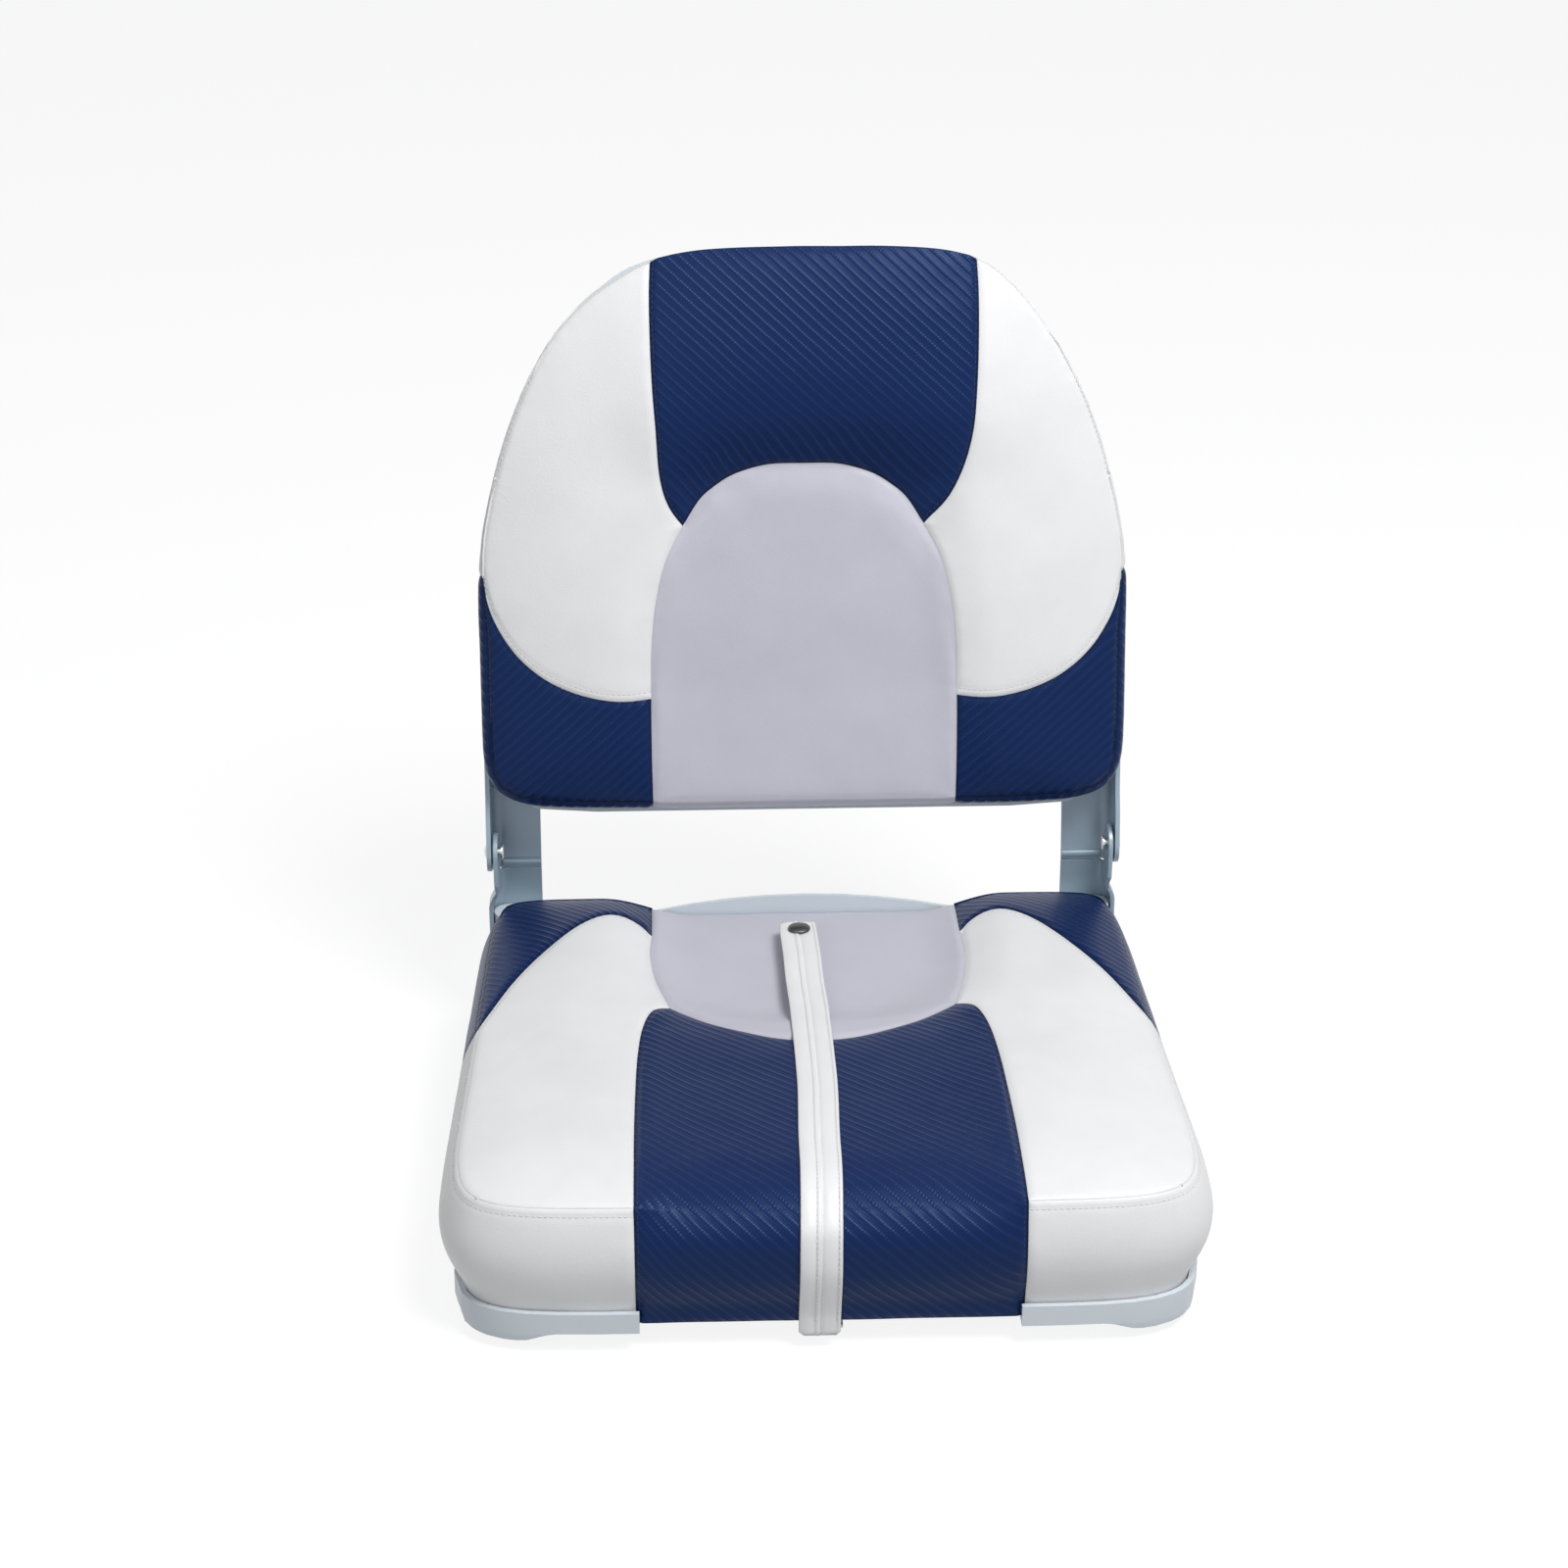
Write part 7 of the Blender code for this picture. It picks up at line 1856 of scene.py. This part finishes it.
def painted_metal(name, colour):
    tree, shader, place = new_finish(name)
    texture = place_group(tree, "moulded_texture", Place=place["Object"], Size=2.2)
    wear = edge_scuffs(tree, place)
    tone = mixed(tree, wear, toned(tree, texture["Tone"], colour, 0.92, 1.06), rgba(WORN_PAINT))
    rough, metal = spread(tree, texture["Tone"], 0.24, 0.14), spread(tree, wear, 0.12, 0.3)
    shaded(tree, shader, tone, rough, Metallic=metal, Coat_Weight=0.25, Coat_Roughness=0.25)
    bumped(tree, shader, texture["Height"], distance=0.00010, strength=0.35)


def bare_metal(name, colour, rough):
    tree, shader, place = new_finish(name)
    texture = place_group(tree, "moulded_texture", Place=place["Object"], Size=0.7)
    tone = toned(tree, texture["Tone"], colour, 0.9, 1.05)
    shaded(tree, shader, tone, spread(tree, texture["Height"], rough, 0.2), Metallic=1.0)
    bumped(tree, shader, texture["Height"], distance=0.00004, strength=0.4)


def plywood(name, colour):
    tree, shader, place = new_finish(name)
    stretch = node(tree, "ShaderNodeMapping", Vector=place["Object"], Scale=WOOD_STRETCH)
    grain = noise_mask(tree, stretch.outputs["Vector"], scale=4.0, detail=6.0)
    shaded(tree, shader, toned(tree, grain, colour, 0.55, 1.25), 0.75)
    bumped(tree, shader, grain, distance=0.0003, strength=0.5)


def make_finishes():
    covers, sewing = bpy.context.scene.seat_covers, bpy.context.scene.seat_sewing
    hardware = bpy.context.scene.seat_hardware
    for make_group in (vinyl_grain_group, twill_group, wear_group, moulded_group):
        make_group()
    plain_vinyl("white_vinyl", covers.white, grain=1.0)
    plain_vinyl("grey_vinyl", covers.grey, grain=0.9)
    navy_vinyl(covers.navy, covers.twill_pitch)
    thread_finish("thread_light", sewing.light)
    thread_finish("thread_dark", sewing.dark)
    moulded_plastic("shell_plastic", hardware.plastic, rough=0.34)
    moulded_plastic("nylon", NYLON, rough=0.4)
    painted_metal("bracket_paint", hardware.paint)
    bare_metal("bright_steel", hardware.steel, rough=0.2)
    bare_metal("snap_metal", hardware.snap, rough=0.3)
    plywood("board_ply", hardware.ply)


# Studio

FLOOR_SIZE = 14.0
WHITE = (1.0, 1.0, 1.0, 1.0)
FLOOR_LIT = (0.5, 0.5, 0.5, 1.0)
FLOOR_SEEN = (0.22, 0.22, 0.22, 1.0)
FLOOR_GLOW = 0.86
SKY_COLOUR = (0.97, 0.985, 1.0, 1.0)
LAMP_TARGET = Vector((0, 0.05, 0.25))
KEY_PLACE = (0.82, -0.97, 2.29)
KEY_SIZE = (1.0, 1.0)
FILL_PLACE = (-1.05, -1.8, 1.45)
FILL_SIZE = (1.4, 1.4)
CAMERA_TARGET = Vector((-18 * MM, 60 * MM, 245.5 * MM))
SENSOR = 36.0


def ray_mask(tree):
    """1 for rays from the camera and rays seen in gloss or through glass."""
    path = tree.nodes.new("ShaderNodeLightPath").outputs
    seen = math_node(tree, "MAXIMUM", path["Is Camera Ray"], path["Is Glossy Ray"])
    return math_node(tree, "MAXIMUM", seen, path["Is Transmission Ray"])


def shown_by_ray(tree, lit, seen, end):
    """Ends a tree with one shader that lights the object and one that camera, gloss and glass see."""
    mix = joined(tree, "ShaderNodeMixShader", ray_mask(tree), lit, seen)
    tree.links.new(mix, node(tree, end).inputs["Surface"])


def make_floor():
    deselect()
    bpy.ops.mesh.primitive_plane_add(size=FLOOR_SIZE, location=(0, 0, 0))
    floor = bpy.context.object
    floor.name = "floor"
    finish = bpy.data.materials.new("floor_white")
    finish.use_nodes = True
    tree = finish.node_tree
    tree.nodes.clear()
    lit = node(tree, "ShaderNodeBsdfDiffuse", Color=FLOOR_LIT).outputs[0]
    soft = node(tree, "ShaderNodeBsdfDiffuse", Color=FLOOR_SEEN).outputs[0]
    glow = node(tree, "ShaderNodeEmission", Color=WHITE, Strength=FLOOR_GLOW).outputs[0]
    shown_by_ray(tree, lit, joined(tree, "ShaderNodeAddShader", soft, glow), "ShaderNodeOutputMaterial")
    floor.data.materials.append(finish)


def make_surroundings(studio):
    world = bpy.context.scene.world or bpy.data.worlds.new("studio")
    bpy.context.scene.world = world
    world.use_nodes = True
    tree = world.node_tree
    tree.nodes.clear()
    lit = node(tree, "ShaderNodeBackground", Color=SKY_COLOUR, Strength=studio.sky).outputs[0]
    seen = node(tree, "ShaderNodeBackground", Color=WHITE, Strength=1.0).outputs[0]
    shown_by_ray(tree, lit, seen, "ShaderNodeOutputWorld")


def make_lamp(name, place, size, power):
    light = bpy.data.lights.new(name, "AREA")
    light.shape = "RECTANGLE"
    light.size, light.size_y = size
    light.energy = power
    lamp = linked(name, light)
    lamp.location = place
    lamp.rotation_euler = (LAMP_TARGET - Vector(place)).to_track_quat("-Z", "Y").to_euler()


def make_camera(studio):
    data = bpy.data.cameras.new("camera")
    data.lens = studio.lens
    data.sensor_width = SENSOR
    camera = linked("camera", data)
    flat = math.cos(studio.elevation)
    way = (math.sin(studio.azimuth) * flat, -math.cos(studio.azimuth) * flat, math.sin(studio.elevation))
    back = Vector(way)
    camera.location = CAMERA_TARGET + back * studio.distance
    camera.rotation_euler = (-back).to_track_quat("-Z", "Y").to_euler()
    bpy.context.scene.camera = camera


# Operators


class SEAT_OT_finishes(bpy.types.Operator):
    """Makes the materials of every piece"""

    bl_idname = "boat_seat.finishes"
    bl_label = "Finishes"

    def execute(self, context):
        make_finishes()
        return {"FINISHED"}


class SEAT_OT_seat_cushion(bpy.types.Operator):
    """Sews and stuffs the seat cushion's cover"""

    bl_idname = "boat_seat.seat_cushion"
    bl_label = "Seat cushion"

    def execute(self, context):
        extra = {"seat_panel_navy_front": ("seat_foam",)}
        sewn_cushion("seat", seat_panels(), SEAT_STITCHES, SEAT_MIDDLE, Matrix.Identity(4), "seat", extra)
        return {"FINISHED"}


class SEAT_OT_back_cushion(bpy.types.Operator):
    """Sews and stuffs the back cushion's cover"""

    bl_idname = "boat_seat.back_cushion"
    bl_label = "Back cushion"

    def execute(self, context):
        extra = {"back_panel_grey": ("back_foam",)}
        sewn_cushion("back", back_panels(), BACK_STITCHES, BACK_MIDDLE, BACK_TURN, "backrest", extra)
        return {"FINISHED"}


class SEAT_OT_hardware(bpy.types.Operator):
    """Gives the CAD pieces their finish, for those that keep their shape"""

    bl_idname = "boat_seat.hardware"
    bl_label = "Hardware"

    def execute(self, context):
        for part in frame["record"]["subparts"]:
            if part["material_slot"] in FINISHES:
                dressed(frame["nodes"][part["node"]], part["material_slot"])
        return {"FINISHED"}


class SEAT_OT_shells(bpy.types.Operator):
    """Breaks the edges of the moulded pan and the back shell"""

    bl_idname = "boat_seat.shells"
    bl_label = "Pan and shell"

    def execute(self, context):
        broken_edges("seat_pan", "shell_plastic", "seat", PAN_EDGE, SHELL_ANGLE)
        broken_edges(
            "back_shell", "shell_plastic", "backrest", SHELL_EDGE, SHELL_ANGLE, tucked_in_place, rounded=True
        )
        broken_edges("back_board", "board_ply", "backrest", BOARD_EDGE, SHELL_ANGLE, tucked_in_place)
        return {"FINISHED"}


class SEAT_OT_hinges(bpy.types.Operator):
    """Makes the hinge brackets, their rivets and their screws"""

    bl_idname = "boat_seat.hinges"
    bl_label = "Hinges"

    def execute(self, context):
        width = context.scene.seat_hardware.edge_round
        leaned = (BACK_TURN.to_3x3() @ Vector((0, 1, 0))).normalized()
        for tag, side in (("left", -1), ("right", 1)):
            broken_edges(f"hinge_lower_{tag}", "bracket_paint", "seat", width)
            broken_edges(f"hinge_upper_{tag}", "bracket_paint", "backrest", width)
            rivet_piece(f"hinge_rivet_{tag}", Vector((side, 0, 0)))
            for number in (1, 2, 3):
                screw_piece(f"upper_screw_{tag}_{number}", leaned, "backrest")
            for number in (1, 2):
                screw_piece(f"lower_screw_{tag}_{number}", Vector((0, 1, 0)), "seat")
        return {"FINISHED"}


class SEAT_OT_strap(bpy.types.Operator):
    """Lays the stitched strap over the seat, with its snap"""

    bl_idname = "boat_seat.strap"
    bl_label = "Strap"

    def execute(self, context):
        sewing = context.scene.seat_sewing
        band, lines, length = strap_band(seat_front_panel())
        surface = surface_of(band)
        finished(away_from_seams(band), "strap", "white_vinyl", "strap")
        for number, line in enumerate(lines):
            row = stitch_row(f"strap_stitches_{number + 1}", line, surface, sewing)
            finished(row, "strap", "thread_light")
        away_from_seams(broken_edges("strap_tab", "white_vinyl", "seat", TAB_EDGE))
        snap_piece()
        return {"FINISHED"}


class SEAT_OT_studio(bpy.types.Operator):
    """Makes the floor, the lamps, the surroundings and the camera"""

    bl_idname = "boat_seat.studio"
    bl_label = "Studio"

    def execute(self, context):
        studio = context.scene.seat_studio
        make_floor()
        make_surroundings(studio)
        make_lamp("key_lamp", KEY_PLACE, KEY_SIZE, studio.key)
        make_lamp("fill_lamp", FILL_PLACE, FILL_SIZE, studio.fill)
        make_camera(studio)
        return {"FINISHED"}


class SEAT_PT_sidebar(bpy.types.Panel):
    """Shows a button for each step of the boat seat, and its settings"""

    bl_idname = "SEAT_PT_sidebar"
    bl_label = "Boat Seat"
    bl_space_type = "VIEW_3D"
    bl_region_type = "UI"
    bl_category = "Boat Seat"

    def draw(self, context):
        for item in OPERATORS:
            self.layout.operator(item.bl_idname)
        for name in SETTINGS:
            settings = getattr(context.scene, name)
            column = self.layout.box().column()
            for key in settings.__annotations__:
                column.prop(settings, key)


OPERATORS = (
    SEAT_OT_finishes,
    SEAT_OT_hardware,
    SEAT_OT_shells,
    SEAT_OT_hinges,
    SEAT_OT_seat_cushion,
    SEAT_OT_back_cushion,
    SEAT_OT_strap,
    SEAT_OT_studio,
)
SETTINGS = {
    "seat_covers": CoverSettings,
    "seat_sewing": SewingSettings,
    "seat_hardware": HardwareSettings,
    "seat_studio": StudioSettings,
}


def register():
    for item in (*SETTINGS.values(), *OPERATORS, SEAT_PT_sidebar):
        bpy.utils.register_class(item)
    for name, item in SETTINGS.items():
        setattr(bpy.types.Scene, name, bpy.props.PointerProperty(type=item))


def unregister():
    for name in SETTINGS:
        delattr(bpy.types.Scene, name)
    for item in (SEAT_PT_sidebar, *reversed(OPERATORS), *reversed(list(SETTINGS.values()))):
        bpy.utils.unregister_class(item)


def main():
    register()
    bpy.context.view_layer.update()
    bpy.ops.boat_seat.finishes()
    bpy.ops.boat_seat.hardware()
    bpy.ops.boat_seat.shells()
    bpy.ops.boat_seat.hinges()
    bpy.ops.boat_seat.seat_cushion()
    bpy.ops.boat_seat.back_cushion()
    bpy.ops.boat_seat.strap()
    bpy.ops.boat_seat.studio()
    bpy.context.scene.view_settings.view_transform = "Standard"
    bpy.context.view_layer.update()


if __name__ == "__main__":
    main()
